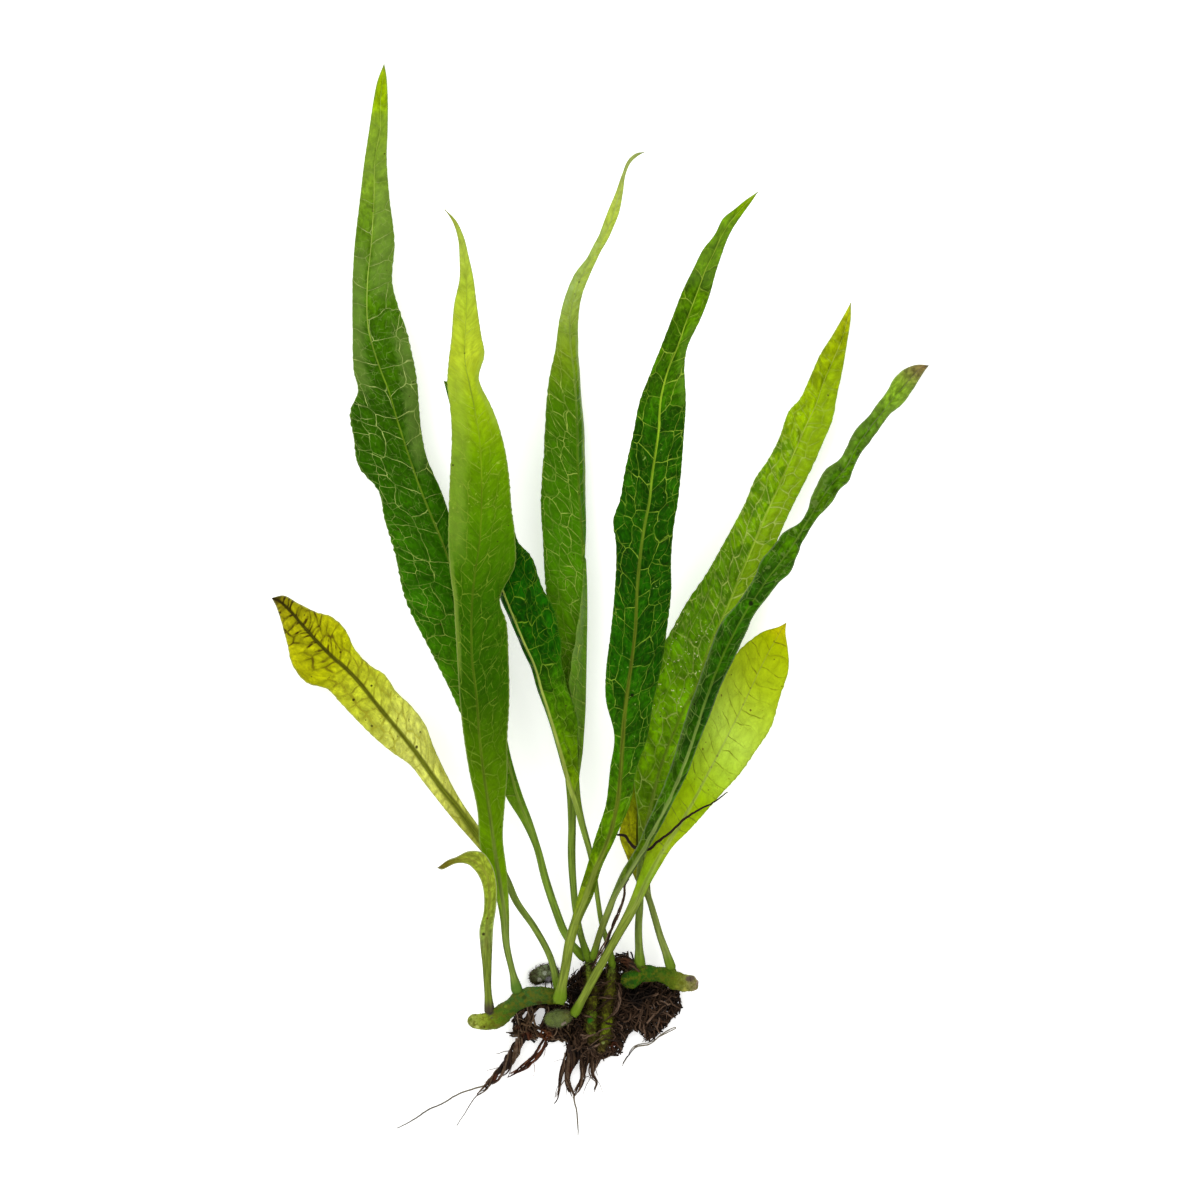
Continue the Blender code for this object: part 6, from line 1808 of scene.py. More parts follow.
def makeRootFelt():
    # tubes along scattered curved lines over the faces, and along the loose edges as they are
    holes = [f"Hole {count}" for count in range(1, 6)]
    tree, given, end = newTree("rootFelt", {
        "Density": "NodeSocketFloat",
        "Length": "NodeSocketFloat",
        "Height": "NodeSocketFloat",
        "Thin": "NodeSocketFloat",
        "Thick": "NodeSocketFloat",
        "Sway": "NodeSocketFloat",
        "Wobble": "NodeSocketFloat",
        "Heading": "NodeSocketFloat",
        "Seed": "NodeSocketInt",
        **{name: "NodeSocketVector" for name in holes},
        "Material": "NodeSocketMaterial",
    })
    points = addNode(tree, "GeometryNodeDistributePointsOnFaces", {
        "Mesh": given["Geometry"], "Density": given["Density"], "Seed": given["Seed"]})
    # how far the outline is and which way it runs: fibres near it lie along it
    room = addNode(tree, "GeometryNodeInputNamedAttribute", {"Name": "room"}, data_type="FLOAT_VECTOR")
    room = addNode(tree, "ShaderNodeSeparateXYZ", {0: room}, out=None)
    room, alongside = room.outputs[0], room.outputs[1]
    near = addNode(tree, "ShaderNodeMapRange", {"Value": room, "From Min": 0.8, "From Max": 4.5,
                                                "To Min": 1.0, "To Max": 0.0})
    ceiling = addNode(tree, "ShaderNodeMapRange", {"Value": room, "From Max": 3.5, "To Min": 0.3, "To Max": 1.0})
    level = addNode(tree, "FunctionNodeRandomValue", {"Seed": 3}, out=1)
    level = addNode(tree, "ShaderNodeMath", {0: level, 1: ceiling}, operation="MULTIPLY")
    level = addNode(tree, "ShaderNodeMath", {0: level, 1: given["Height"]}, operation="MULTIPLY")
    rise = addNode(tree, "ShaderNodeCombineXYZ", {2: level})
    points = addNode(tree, "GeometryNodeSetPosition", {"Geometry": points, "Offset": rise})
    line = addNode(tree, "GeometryNodeCurvePrimitiveLine", {"Start": (-0.5, 0.0, 0.0), "End": (0.5, 0.0, 0.0)})
    line = addNode(tree, "GeometryNodeResampleCurve", {"Curve": line, "Count": rootBuild["points"]})
    yaw = addNode(tree, "FunctionNodeRandomValue", {2: -1.5, 3: 1.5, "Seed": 5}, out=1)
    yaw = addNode(tree, "ShaderNodeMath", {0: yaw, 1: given["Heading"]}, operation="ADD")
    strict = addNode(tree, "FunctionNodeRandomValue", {2: -0.35, 3: 0.35, "Seed": 6}, out=1)
    strict = addNode(tree, "ShaderNodeMath", {0: strict, 1: alongside}, operation="ADD")
    yaw = addNode(tree, "ShaderNodeMix", {0: near, 2: yaw, 3: strict})
    pitch = addNode(tree, "FunctionNodeRandomValue", {2: -0.25, 3: 0.25, "Seed": 7}, out=1)
    turn = addNode(tree, "ShaderNodeCombineXYZ", {1: pitch, 2: yaw})
    turn = addNode(tree, "FunctionNodeEulerToRotation", {0: turn})
    size = addNode(tree, "FunctionNodeRandomValue", {2: 0.55, 3: 1.3, "Seed": 9}, out=1)
    inner = addNode(tree, "ShaderNodeMapRange", {"Value": near, "To Min": 1.0, "To Max": 0.45})
    size = addNode(tree, "ShaderNodeMath", {0: size, 1: inner}, operation="MULTIPLY")
    size = addNode(tree, "ShaderNodeMath", {0: size, 1: given["Length"]}, operation="MULTIPLY")
    placed = addNode(tree, "GeometryNodeInstanceOnPoints", {
        "Points": points, "Instance": line, "Rotation": turn, "Scale": size})
    tone = addNode(tree, "FunctionNodeRandomValue", {"Seed": 11}, out=1)
    girth = addNode(tree, "FunctionNodeRandomValue", {"Seed": 13}, out=1)
    sway = addNode(tree, "ShaderNodeMath", {0: given["Sway"], 1: inner}, operation="MULTIPLY")
    girth = addNode(tree, "ShaderNodeMapRange", {"Value": girth, "To Min": given["Thin"], "To Max": given["Thick"]})
    fibre = addNode(tree, "ShaderNodeCombineXYZ", {0: girth, 1: tone, 2: sway})
    placed = addNode(tree, "GeometryNodeStoreNamedAttribute", {"Geometry": placed, "Name": "fibre", "Value": fibre},
                     data_type="FLOAT_VECTOR", domain="INSTANCE")
    placed = addNode(tree, "GeometryNodeRealizeInstances", {0: placed})

    beside = addNode(tree, "GeometryNodeInputMeshEdgeNeighbors")
    loose = addNode(tree, "FunctionNodeCompare", {2: beside, 3: 0}, data_type="INT", operation="EQUAL")
    guided = addNode(tree, "GeometryNodeMeshToCurve", {"Mesh": given["Geometry"], "Selection": loose})
    both = addNode(tree, "GeometryNodeJoinGeometry", {0: placed})
    tree.links.new(guided, both.node.inputs[0])

    # every fibre winds a little, the scattered ones most
    fibre = addNode(tree, "GeometryNodeInputNamedAttribute", {"Name": "fibre"}, data_type="FLOAT_VECTOR")
    parts = addNode(tree, "ShaderNodeSeparateXYZ", {0: fibre}, out=None)
    girth, tone, sway = parts.outputs
    place = addNode(tree, "GeometryNodeInputPosition")
    own = addNode(tree, "ShaderNodeMath", {0: tone, 1: 61.0}, operation="MULTIPLY")
    start = addNode(tree, "ShaderNodeCombineXYZ", {0: own, 1: own, 2: own})
    inMm = addNode(tree, "ShaderNodeVectorMath", {0: place, "Scale": 1 / mm, 1: start}, operation="SCALE")
    inMm = addNode(tree, "ShaderNodeVectorMath", {0: inMm, 1: start}, operation="ADD")
    for pace, reach in ((0.22, sway), (0.9, given["Wobble"])):
        wave = addNode(tree, "ShaderNodeTexNoise", {"Vector": inMm, "Scale": pace, "Detail": 1.0}, out=1)
        wave = addNode(tree, "ShaderNodeVectorMath", {0: wave, 1: (0.5, 0.5, 0.5)}, operation="SUBTRACT")
        wave = addNode(tree, "ShaderNodeVectorMath", {0: wave, 1: (1.0, 1.0, 0.45)}, operation="MULTIPLY")
        wave = addNode(tree, "ShaderNodeVectorMath", {0: wave, "Scale": reach}, operation="SCALE")
        place = addNode(tree, "ShaderNodeVectorMath", {0: place, 1: wave}, operation="ADD")
    flat = addNode(tree, "ShaderNodeSeparateXYZ", {0: place}, out=None)
    height = addNode(tree, "ShaderNodeMath", {0: flat.outputs[2], 1: girth}, operation="MAXIMUM")
    place = addNode(tree, "ShaderNodeCombineXYZ", {0: flat.outputs[0], 1: flat.outputs[1], 2: height})
    wound = addNode(tree, "GeometryNodeSetPosition", {"Geometry": both, "Position": place})

    # the holes stay open: a fibre with any point in one is left out
    place = addNode(tree, "GeometryNodeInputPosition")
    crossed = 0.0
    for name in holes:
        hole = addNode(tree, "ShaderNodeSeparateXYZ", {0: given[name]}, out=None)
        centre = addNode(tree, "ShaderNodeCombineXYZ", {0: hole.outputs[0], 1: hole.outputs[1]})
        away = addNode(tree, "ShaderNodeVectorMath", {0: place, 1: centre}, operation="SUBTRACT")
        away = addNode(tree, "ShaderNodeVectorMath", {0: away, 1: (1.0, 1.0, 0.0)}, operation="MULTIPLY")
        far = addNode(tree, "ShaderNodeVectorMath", {0: away}, out=1, operation="LENGTH")
        inside = addNode(tree, "ShaderNodeMath", {0: far, 1: hole.outputs[2]}, operation="LESS_THAN")
        crossed = addNode(tree, "ShaderNodeMath", {0: inside, 1: crossed}, operation="ADD")
    owner = addNode(tree, "GeometryNodeCurveOfPoint")
    total = addNode(tree, "GeometryNodeAccumulateField", {"Value": crossed, "Group Index": owner}, out=2)
    crossed = addNode(tree, "ShaderNodeMath", {0: total, 1: 0.5}, operation="GREATER_THAN")
    wound = addNode(tree, "GeometryNodeDeleteGeometry", {"Geometry": wound, "Selection": crossed})

    # tapered tubes
    way = addNode(tree, "GeometryNodeSplineParameter")
    taper = addNode(tree, "ShaderNodeMapRange", {"Value": way, "From Min": 0.7, "From Max": 1.0,
                                                 "To Min": 1.0, "To Max": 0.6})
    radius = addNode(tree, "ShaderNodeMath", {0: girth, 1: taper}, operation="MULTIPLY")
    ring = addNode(tree, "GeometryNodeCurvePrimitiveCircle", {"Resolution": rootBuild["sides"], "Radius": 1.0})
    tubes = addNode(tree, "GeometryNodeCurveToMesh", {"Curve": wound, "Profile Curve": ring, "Scale": radius,
                                                      "Fill Caps": True})
    tubes = addNode(tree, "GeometryNodeSetShadeSmooth", {"Geometry": tubes})
    endTree(tree, end, tubes, given["Material"])
    return tree


def rootMaterial(root):
    # dull wiry root fibre, dark brown with a tone of its own for each fibre, and painted shade that darkens the fibres
    # lying low in the mat
    material = bpy.data.materials.new("wiryRoot_" + root["piece"])
    material.use_nodes = True
    tree = material.node_tree
    skin = tree.nodes["Principled BSDF"]
    fibre = addNode(tree, "ShaderNodeAttribute", attribute_name="fibre", out=1, attribute_type="GEOMETRY")
    tone = addNode(tree, "ShaderNodeSeparateXYZ", {0: fibre}, out=1)
    place = addNode(tree, "ShaderNodeTexCoord", out=3)
    place = addNode(tree, "ShaderNodeVectorMath", {0: place, "Scale": 1 / mm}, operation="SCALE")
    grain = addNode(tree, "ShaderNodeTexNoise", {"Vector": place, "Scale": 1.1, "Detail": 4.0, "Roughness": 0.7})
    tone = addNode(tree, "ShaderNodeMath", {0: grain, 1: 0.7, 2: tone}, operation="MULTIPLY_ADD")
    tone = addNode(tree, "ShaderNodeMapRange", {"Value": tone, "From Min": 0.2, "From Max": 1.45})
    base = addNode(tree, "ShaderNodeValToRGB", {0: tone}, stops=root["colours"])
    base = addMarks(tree, base, place, root["marks"])
    height = addNode(tree, "ShaderNodeSeparateXYZ", {0: place}, out=2)
    # painted shade: fibres darker the lower they lie, down to 0.4 of their colour at the bottom
    depth = addNode(tree, "ShaderNodeMapRange", {"Value": height, "From Min": 0.5, "From Max": root["deep"],
                                                 "To Min": 0.4, "To Max": 1.0})
    base = addNode(tree, "ShaderNodeVectorMath", {0: base, "Scale": depth}, operation="SCALE")
    bump = addNode(tree, "ShaderNodeBump", {"Strength": 0.5, "Distance": 0.0002, "Height": grain})
    tree.links.new(base, skin.inputs["Base Color"])
    tree.links.new(bump, skin.inputs["Normal"])
    skin.inputs["Roughness"].default_value = 0.7
    skin.inputs["Specular IOR Level"].default_value = 0.12
    return material


rootFelt = makeRootFelt()


def bundleFibres(strand, rng):
    # fibres that twist round the strand's path. The first one runs its whole length
    path = np.array(strand["path"])
    knots = np.r_[0, np.cumsum(np.linalg.norm(np.diff(path[:, :3], axis=0), axis=1))]
    lines = []
    for count in range(strand["fibres"]):
        first = 0 if count == 0 else rng.uniform(0, 0.25) * knots[-1]
        last = knots[-1] if count == 0 else rng.uniform(*strand["ends"]) * knots[-1]
        at = np.arange(first, last + 0.01, rootBuild["step"])
        rows = throughPoints(knots, path, at)
        heading = unit(np.gradient(rows[:, :3], axis=0))
        side = unit(np.cross(heading, (0, 0, 1)))
        up = np.cross(side, heading)
        angle = rng.uniform(0, 2 * math.pi) + strand["twist"] * at * rng.uniform(0.5, 1.3)
        girth = np.clip(rows[:, 3] * rng.uniform(0.16, 0.36), strand["thin"], None)
        if strand["fibres"] == 1:
            girth = rows[:, 3]
        out = np.clip(rows[:, 3] * 1.1 - girth, 0, None) * rng.uniform(0.5, 1.0) * (strand["fibres"] > 1)
        points = rows[:, :3] + side * (out * np.cos(angle))[:, None] + up * (out * np.sin(angle) * 0.8)[:, None]
        lines.append((points, girth, rng.uniform(0, 1)))
    for _ in range(strand.get("strays", 0)):
        # a thin hair that leaves the bundle
        place = rng.integers(0, max(1, int(len(path) * 0.7)))
        heading = rng.uniform(0, 2 * math.pi)
        length = rng.uniform(1.5, 4.0)
        t = np.linspace(0, 1, 9)[:, None]
        reach = np.array((math.cos(heading), math.sin(heading), 0)) * length
        droop = path[-1, :3] - path[0, :3]
        points = path[place, :3] + reach * t + unit(droop) * length * 0.7 * t ** 2
        lines.append((points, np.full(9, rng.uniform(0.05, 0.09)), rng.uniform(0.4, 1)))
    return lines


def risingFibres(mat, rng):
    # fibres from the underside of a rhizome down into the mat
    lines = []
    for x, y, z, reach, count in mat["rising"]:
        for _ in range(count):
            start = np.array((x, y, z)) + rng.normal(0, 0.7, 3) * (1, 1, 0.4)
            foot = np.array((x + rng.normal(0, reach), y + rng.normal(0, reach), rng.uniform(0.6, 3.0)))
            bend = (start + foot) / 2 + rng.normal(0, 1.0, 3)
            t = np.linspace(0, 1, 12)[:, None]
            points = start * (1 - t) ** 2 + 2 * bend * t * (1 - t) + foot * t ** 2
            girth = np.full(12, rng.uniform(0.12, 0.3))
            lines.append((points, girth, rng.uniform(0, 1)))
    return lines


def isInside(outline, x, y):
    inside = np.zeros(x.shape, bool)
    for (ax, ay), (bx, by) in zip(outline, outline[1:] + outline[:1]):
        crosses = (ay > y) != (by > y)
        inside ^= crosses & (x < ax + (y - ay) / ((by - ay) or 1e-9) * (bx - ax))
    return inside


def toOutline(outline, x, y):
    nearest, heading = np.full(x.shape, 1e9), np.zeros(x.shape)
    for (ax, ay), (bx, by) in zip(outline, outline[1:] + outline[:1]):
        t = np.clip(((x - ax) * (bx - ax) + (y - ay) * (by - ay)) / ((bx - ax) ** 2 + (by - ay) ** 2), 0, 1)
        gap = np.hypot(x - ax - t * (bx - ax), y - ay - t * (by - ay))
        heading = np.where(gap < nearest, math.atan2(by - ay, bx - ax), heading)
        nearest = np.minimum(nearest, gap)
    return nearest, heading


def makeRoots(root, lines):
    # a plan of small square cells where the root is a mat, with the guided fibres as loose edges
    points, room, fibre, faces, edges = [], [], [], [], []
    if "outline" in root:
        outline, cell = root["outline"], rootBuild["cell"]
        corners = np.array(outline)
        low, high = corners.min(0), corners.max(0)
        x, y = np.meshgrid(np.arange(low[0], high[0], cell), np.arange(low[1], high[1], cell))
        x, y = x.ravel() + cell / 2, y.ravel() + cell / 2
        kept = isInside(outline, x, y)
        for holeX, holeY, holeSize in root["holes"]:
            kept &= np.hypot(x - holeX, y - holeY) > holeSize
        x, y = x[kept], y[kept]
        for px, py, gap, heading in zip(x, y, *toOutline(outline, x, y)):
            faces.append(tuple(range(len(points), len(points) + 4)))
            for dx, dy in ((-1, -1), (1, -1), (1, 1), (-1, 1)):
                points.append((px + dx * cell / 2, py + dy * cell / 2, 0.2))
                room.append((gap, heading, 0))
                fibre.append((0, 0, 0))
    for line, girth, tone in lines:
        first = len(points)
        points += line.tolist()
        room += [(0, 0, 0)] * len(line)
        fibre += [(radius * mm, tone, root["guidedSway"] * mm) for radius in girth]
        edges += [(first + place, first + place + 1) for place in range(len(line) - 1)]
    piece = newPiece(root["piece"], points, faces, {"room": room, "fibre": fibre}, edges)
    holes = {f"Hole {count}": tuple(size * mm for size in hole) for count, hole in enumerate(root.get("holes", []), 1)}
    runTree(piece, rootFelt, {
        "Density": root.get("density", 0.0) / mm ** 2,
        "Length": root.get("length", 1.0) * mm,
        "Height": root.get("height", 1.0) * mm,
        "Thin": root.get("thin", 0.1) * mm,
        "Thick": root.get("thick", 0.3) * mm,
        "Sway": root.get("sway", 1.0) * mm,
        "Wobble": root["wobble"] * mm,
        "Heading": root.get("heading", 0.0),
        "Seed": root["seed"],
        "Material": rootMaterial(root),
        **holes,
    })
    finishPiece(piece, root["node"])
    print(f"{root['piece']} has {len(piece.data.polygons)} faces")


def makeMat(mat):
    rng = np.random.default_rng(mat["seed"])
    lines = risingFibres(mat, rng)
    for strand in mat["strands"]:
        lines += bundleFibres(strand, rng)
    makeRoots(mat, lines)


def makeStrand(strand):
    makeRoots(strand, bundleFibres(strand, np.random.default_rng(strand["seed"])))


# the left mat, open in places, with tan and rusty fibres among the dark ones
leftMat = {
    "piece": "leftMat",
    "node": "root_mat_left",
    "slot": "root_dark",
    "seed": 31,
    "outline": [
        (-21.4, -101.6),
        (-19.4, -97.6),
        (-15.5, -95.2),
        (-12.0, -94.8),
        (-9.4, -95.8),
        (-7.2, -97.6),
        (-6.4, -100.6),
        (-6.2, -103.0),
        (-7.0, -105.9),
        (-9.6, -105.7),
        (-12.2, -105.5),
        (-14.6, -105.3),
        (-17.0, -105.3),
        (-19.6, -104.5),
        (-21.6, -104.1),
    ],
    "holes": [(-14.3, -98.9, 1.1), (-14.9, -100.8, 0.9), (-18.0, -99.5, 0.5), (-22.2, -102.2, 1.3), (-14.6, -103.4, 0.35)],
    "density": 5.5,
    "length": 6.0,
    "height": 4.2,
    "thin": 0.1,
    "thick": 0.3,
    "sway": 4.5,
    "wobble": 0.5,
    "guidedSway": 1.5,
    "heading": 0.9,
    "rising": [
        (-22.5, -99.0, 5.4, 1.2, 6),
        (-19.5, -96.8, 5.4, 1.2, 10),
        (-16.0, -95.4, 5.3, 1.5, 12),
        (-12.0, -95.4, 5.3, 1.5, 12),
        (-10.0, -100.3, 5.3, 1.5, 16),
    ],
    "strands": [
        {
            "path": [(-20.4, -97.6, 5.0, 0.5), (-20.0, -100.2, 3.4, 0.6), (-19.4, -103.4, 2.6, 0.8)],
            "fibres": 5, "ends": (0.8, 1.0), "twist": 0.4, "thin": 0.16, "strays": 3,
        },
        {
            "path": [(-17.0, -96.6, 5.0, 0.5), (-16.6, -99.4, 3.8, 0.6), (-17.6, -103.0, 2.8, 0.8)],
            "fibres": 5, "ends": (0.8, 1.0), "twist": 0.4, "thin": 0.16, "strays": 2,
        },
        {
            "path": [(-12.4, -97.2, 4.8, 0.5), (-12.6, -100.4, 4.0, 0.5), (-12.8, -104.4, 2.8, 0.9)],
            "fibres": 5, "ends": (0.8, 1.0), "twist": 0.4, "thin": 0.16, "strays": 2,
        },
    ],
    "colours": [(0.0, "#0e0806"), (0.25, "#22150c"), (0.5, "#3c2a1a"), (0.7, "#5c4630"), (0.88, "#7c6650"), (1.0, "#9a866e")],
    "marks": [(-17.5, -104.6, 2.5, 1.6, "#4c2410"), (-13.0, -104.0, 2.5, 1.8, "#6a3c20"), (-19.8, -102.4, 3.0, 0.8, "#4c2410")],
    "deep": 2.6,
}
makeMat(leftMat)

# fibres that cling to the two mossy branches, from one side over the top to the other
crossings = []
for height, turn in ((-92.4, 1.2), (-95.0, -0.8), (-97.4, 1.6), (-100.4, -1.6), (-103.8, 1.0), (-106.2, 1.4)):
    crossings.append({
        "path": [(-4.6, height - turn, 4.6, 0.8), (-2.4, height - turn * 0.5, 7.0, 0.7), (-0.2, height, 5.6, 0.8),
                 (1.7, height + turn * 0.5, 7.0, 0.7), (4.4, height + turn, 4.6, 0.8)],
        "fibres": 4, "ends": (0.45, 1.0), "twist": 0.6, "thin": 0.1, "strays": 3,
    })

# the right mat, the heaviest one, whose fibres mostly stand across the picture
rightMat = {
    "piece": "rightMat",
    "node": "root_mat_right",
    "slot": "root_dark",
    "seed": 32,
    "outline": [
        (-7.4, -97.4),
        (-8.2, -94.4),
        (-7.6, -90.9),
        (-5.2, -89.0),
        (-1.0, -88.6),
        (2.4, -86.9),
        (5.3, -85.2),
        (7.6, -85.8),
        (8.6, -88.6),
        (12.6, -91.2),
        (17.0, -92.7),
        (18.6, -93.7),
        (19.0, -96.8),
        (18.2, -99.2),
        (16.2, -101.3),
        (13.4, -104.0),
        (11.2, -105.5),
        (9.6, -104.0),
        (8.2, -103.2),
        (6.6, -104.4),
        (5.1, -106.6),
        (4.7, -108.4),
        (1.6, -109.4),
        (-0.8, -110.8),
        (-3.4, -110.2),
        (-6.0, -109.0),
        (-7.4, -106.6),
        (-6.6, -101.6),
    ],
    "holes": [(8.3, -105.2, 1.7), (1.0, -88.3, 0.35), (4.9, -89.4, 0.4)],
    "density": 5.2,
    "length": 6.5,
    "height": 4.4,
    "thin": 0.1,
    "thick": 0.26,
    "sway": 6.5,
    "wobble": 0.5,
    "guidedSway": 1.5,
    "heading": 1.3,
    "rising": [
        (-2.2, -88.5, 4.9, 1.5, 12),
        (-2.1, -94.0, 4.8, 1.5, 14),
        (-2.0, -100.0, 4.8, 1.5, 14),
        (-1.8, -105.0, 4.8, 1.2, 10),
        (2.7, -90.0, 4.9, 1.2, 10),
        (1.9, -96.0, 4.9, 1.2, 12),
        (1.6, -102.0, 4.8, 1.2, 12),
        (8.0, -90.5, 5.0, 1.5, 16),
        (12.5, -89.8, 5.2, 1.6, 16),
        (17.5, -91.2, 5.0, 1.5, 14),
    ],
    "strands": [
        {
            "path": [(2.6, -86.4, 5.0, 0.7), (5.6, -86.2, 7.4, 0.9), (8.0, -88.0, 8.9, 0.8), (9.8, -89.6, 8.9, 0.5)],
            "fibres": 9, "ends": (0.6, 1.0), "twist": 0.5, "thin": 0.12, "strays": 8,
        },
        {
            "path": [(-5.2, -90.6, 3.0, 0.8), (-3.6, -88.2, 5.6, 0.8), (-1.0, -87.4, 7.4, 0.6), (2.0, -87.9, 7.2, 0.6)],
            "fibres": 8, "ends": (0.5, 1.0), "twist": 0.5, "thin": 0.12, "strays": 8,
        },
        {
            "path": [(4.0, -91.6, 7.0, 0.5), (4.6, -94.4, 6.0, 0.6), (3.6, -98.6, 6.9, 0.6), (0.2, -101.6, 7.2, 0.5)],
            "fibres": 6, "ends": (0.7, 1.0), "twist": 0.5, "thin": 0.12, "strays": 6,
        },
        *crossings,
    ],
    "colours": [(0.0, "#0a0503"), (0.24, "#1c1109"), (0.48, "#352416"), (0.7, "#4c3828"), (0.9, "#665040"), (1.0, "#826c58")],
    "marks": [
        (3.2, -106.6, 3.0, 1.5, "#4c2410"),
        (0.4, -107.4, 3.0, 1.4, "#6c6228"),
        (-2.2, -107.0, 3.0, 1.0, "#5a4a28"),
        (14.5, -101.6, 3.0, 1.0, "#40220f"),
        (6.2, -86.8, 8.0, 1.6, "#432614"),
        # the near-black patches from here on are painted shade deep in the mat
        (8.4, -95.0, 3.4, 3.2, "#0a0503"),
        (11.6, -94.0, 3.4, 2.0, "#0c0604"),
        (-5.2, -94.6, 3.4, 2.2, "#0a0503"),
        (-4.6, -107.6, 2.4, 1.8, "#0a0503"),
    ],
    "deep": 2.8,
}
makeMat(rightMat)


# strands and hairs
darkRoot = [(0.0, "#140b07"), (0.4, "#2a1a10"), (0.7, "#42301f"), (0.9, "#6a5644"), (1.0, "#847260")]
rustyRoot = [(0.0, "#1c0d06"), (0.4, "#3a1c0e"), (0.7, "#552a14"), (0.9, "#6c4630"), (1.0, "#80604a")]
paleRoot = [(0.0, "#5c5444"), (0.5, "#736a58"), (1.0, "#948a76")]

# the long left strand, which thins out to a hair
leftLong = {
    "piece": "leftLong",
    "node": "root_left_long",
    "slot": "root_dark",
    "seed": 41,
    "path": [
        (-18.4, -103.2, 2.4, 1.3),
        (-19.1, -105.9, 1.9, 1.35),
        (-20.6, -108.6, 1.8, 1.35),
        (-22.6, -111.9, 1.7, 1.4),
        (-25.0, -114.5, 1.5, 1.3),
        (-27.8, -116.9, 1.2, 0.9),
        (-30.2, -119.8, 0.8, 0.4),
        (-32.2, -122.9, 0.6, 0.24),
        (-34.5, -126.4, 0.4, 0.17),
    ],
    "fibres": 11,
    "ends": (0.35, 0.72),
    "twist": 0.5,
    "thin": 0.16,
    "strays": 6,
    "wobble": 0.45,
    "guidedSway": 1.0,
    "colours": darkRoot,
    "marks": [(-19.6, -107.0, 2.0, 1.0, "#42200f"), (-24.8, -114.6, 2.0, 1.2, "#42200f")],
    "deep": 1.2,
}
makeStrand(leftLong)

# the rusty strand beside it, which runs into it
leftOuter = {
    "piece": "leftOuter",
    "node": "root_left_outer",
    "slot": "root_dark",
    "seed": 42,
    "path": [
        (-12.4, -104.0, 2.6, 0.95),
        (-13.2, -106.2, 1.8, 0.95),
        (-14.4, -108.2, 1.7, 0.95),
        (-16.1, -110.1, 1.7, 0.95),
        (-18.2, -111.9, 1.6, 0.9),
        (-20.1, -113.1, 1.6, 0.7),
        (-22.4, -114.2, 1.5, 0.5),
    ],
    "fibres": 6,
    "ends": (0.75, 1.0),
    "twist": 0.35,
    "thin": 0.2,
    "strays": 2,
    "wobble": 0.4,
    "guidedSway": 0.9,
    "colours": rustyRoot,
    "marks": [],
    "deep": 1.2,
}
makeStrand(leftOuter)

# the hair that leaves the left strand
leftHair = {
    "piece": "leftHair",
    "node": "root_hair_left",
    "slot": "root_hair",
    "seed": 43,
    "path": [
        (-27.6, -116.6, 1.2, 0.2),
        (-30.0, -117.3, 0.9, 0.2),
        (-33.8, -118.4, 0.8, 0.19),
        (-37.0, -120.4, 0.6, 0.18),
        (-40.6, -122.0, 0.5, 0.17),
        (-45.1, -124.9, 0.4, 0.17),
        (-48.9, -126.8, 0.3, 0.15),
    ],
    "fibres": 1,
    "ends": (1.0, 1.0),
    "twist": 0.0,
    "thin": 0.1,
    "strays": 0,
    "wobble": 0.35,
    "guidedSway": 0.5,
    "colours": paleRoot,
    "marks": [],
    "deep": 1.2,
}
makeStrand(leftHair)

# four short strands below the right mat, which meet at their tips
middleLeft = {
    "piece": "middleLeft",
    "node": "root_middle_left",
    "slot": "root_dark",
    "seed": 44,
    "path": [
        (-6.6, -105.4, 2.0, 1.3),
        (-7.2, -107.7, 1.5, 1.1),
        (-8.3, -110.6, 1.3, 0.8),
        (-9.4, -114.1, 1.0, 0.45),
        (-9.8, -117.9, 0.8, 0.38),
        (-10.2, -119.7, 0.7, 0.4),
        (-11.2, -121.1, 0.5, 0.16),
    ],
    "fibres": 8,
    "ends": (0.75, 1.0),
    "twist": 0.4,
    "thin": 0.16,
    "strays": 4,
    "wobble": 0.35,
    "guidedSway": 0.6,
    "colours": darkRoot,
    "marks": [],
    "deep": 1.2,
}
makeStrand(middleLeft)

# the second of them
middleInner = {
    "piece": "middleInner",
    "node": "root_middle_inner",
    "slot": "root_dark",
    "seed": 45,
    "path": [
        (-5.2, -104.0, 2.6, 2.0),
        (-5.9, -107.7, 1.7, 1.9),
        (-7.0, -111.0, 1.5, 1.3),
        (-7.9, -114.6, 1.3, 0.8),
        (-7.2, -117.4, 1.1, 0.85),
        (-6.2, -119.6, 1.0, 0.6),
    ],
    "fibres": 20,
    "ends": (0.7, 1.0),
    "twist": 0.4,
    "thin": 0.16,
    "strays": 5,
    "wobble": 0.35,
    "guidedSway": 0.5,
    "colours": darkRoot,
    # the near-black patch is painted shade where the strands crowd together
    "marks": [(-6.6, -113.0, 2.0, 1.0, "#3c1e10"), (-5.6, -108.0, 2.0, 1.8, "#0a0503")],
    "deep": 1.2,
}
makeStrand(middleInner)

# the third, round the other side of a gap
middleLoop = {
    "piece": "middleLoop",
    "node": "root_middle_loop",
    "slot": "root_dark",
    "seed": 46,
    "path": [
        (-3.2, -104.4, 2.6, 1.8),
        (-3.6, -107.9, 1.7, 1.7),
        (-3.9, -111.2, 1.5, 1.1),
        (-4.1, -114.6, 1.3, 0.75),
        (-5.4, -117.4, 1.1, 0.65),
        (-6.9, -119.4, 1.0, 0.5),
    ],
    "fibres": 18,
    "ends": (0.7, 1.0),
    "twist": 0.4,
    "thin": 0.16,
    "strays": 4,
    "wobble": 0.35,
    "guidedSway": 0.5,
    "colours": darkRoot,
    "marks": [],
    "deep": 1.2,
}
makeStrand(middleLoop)

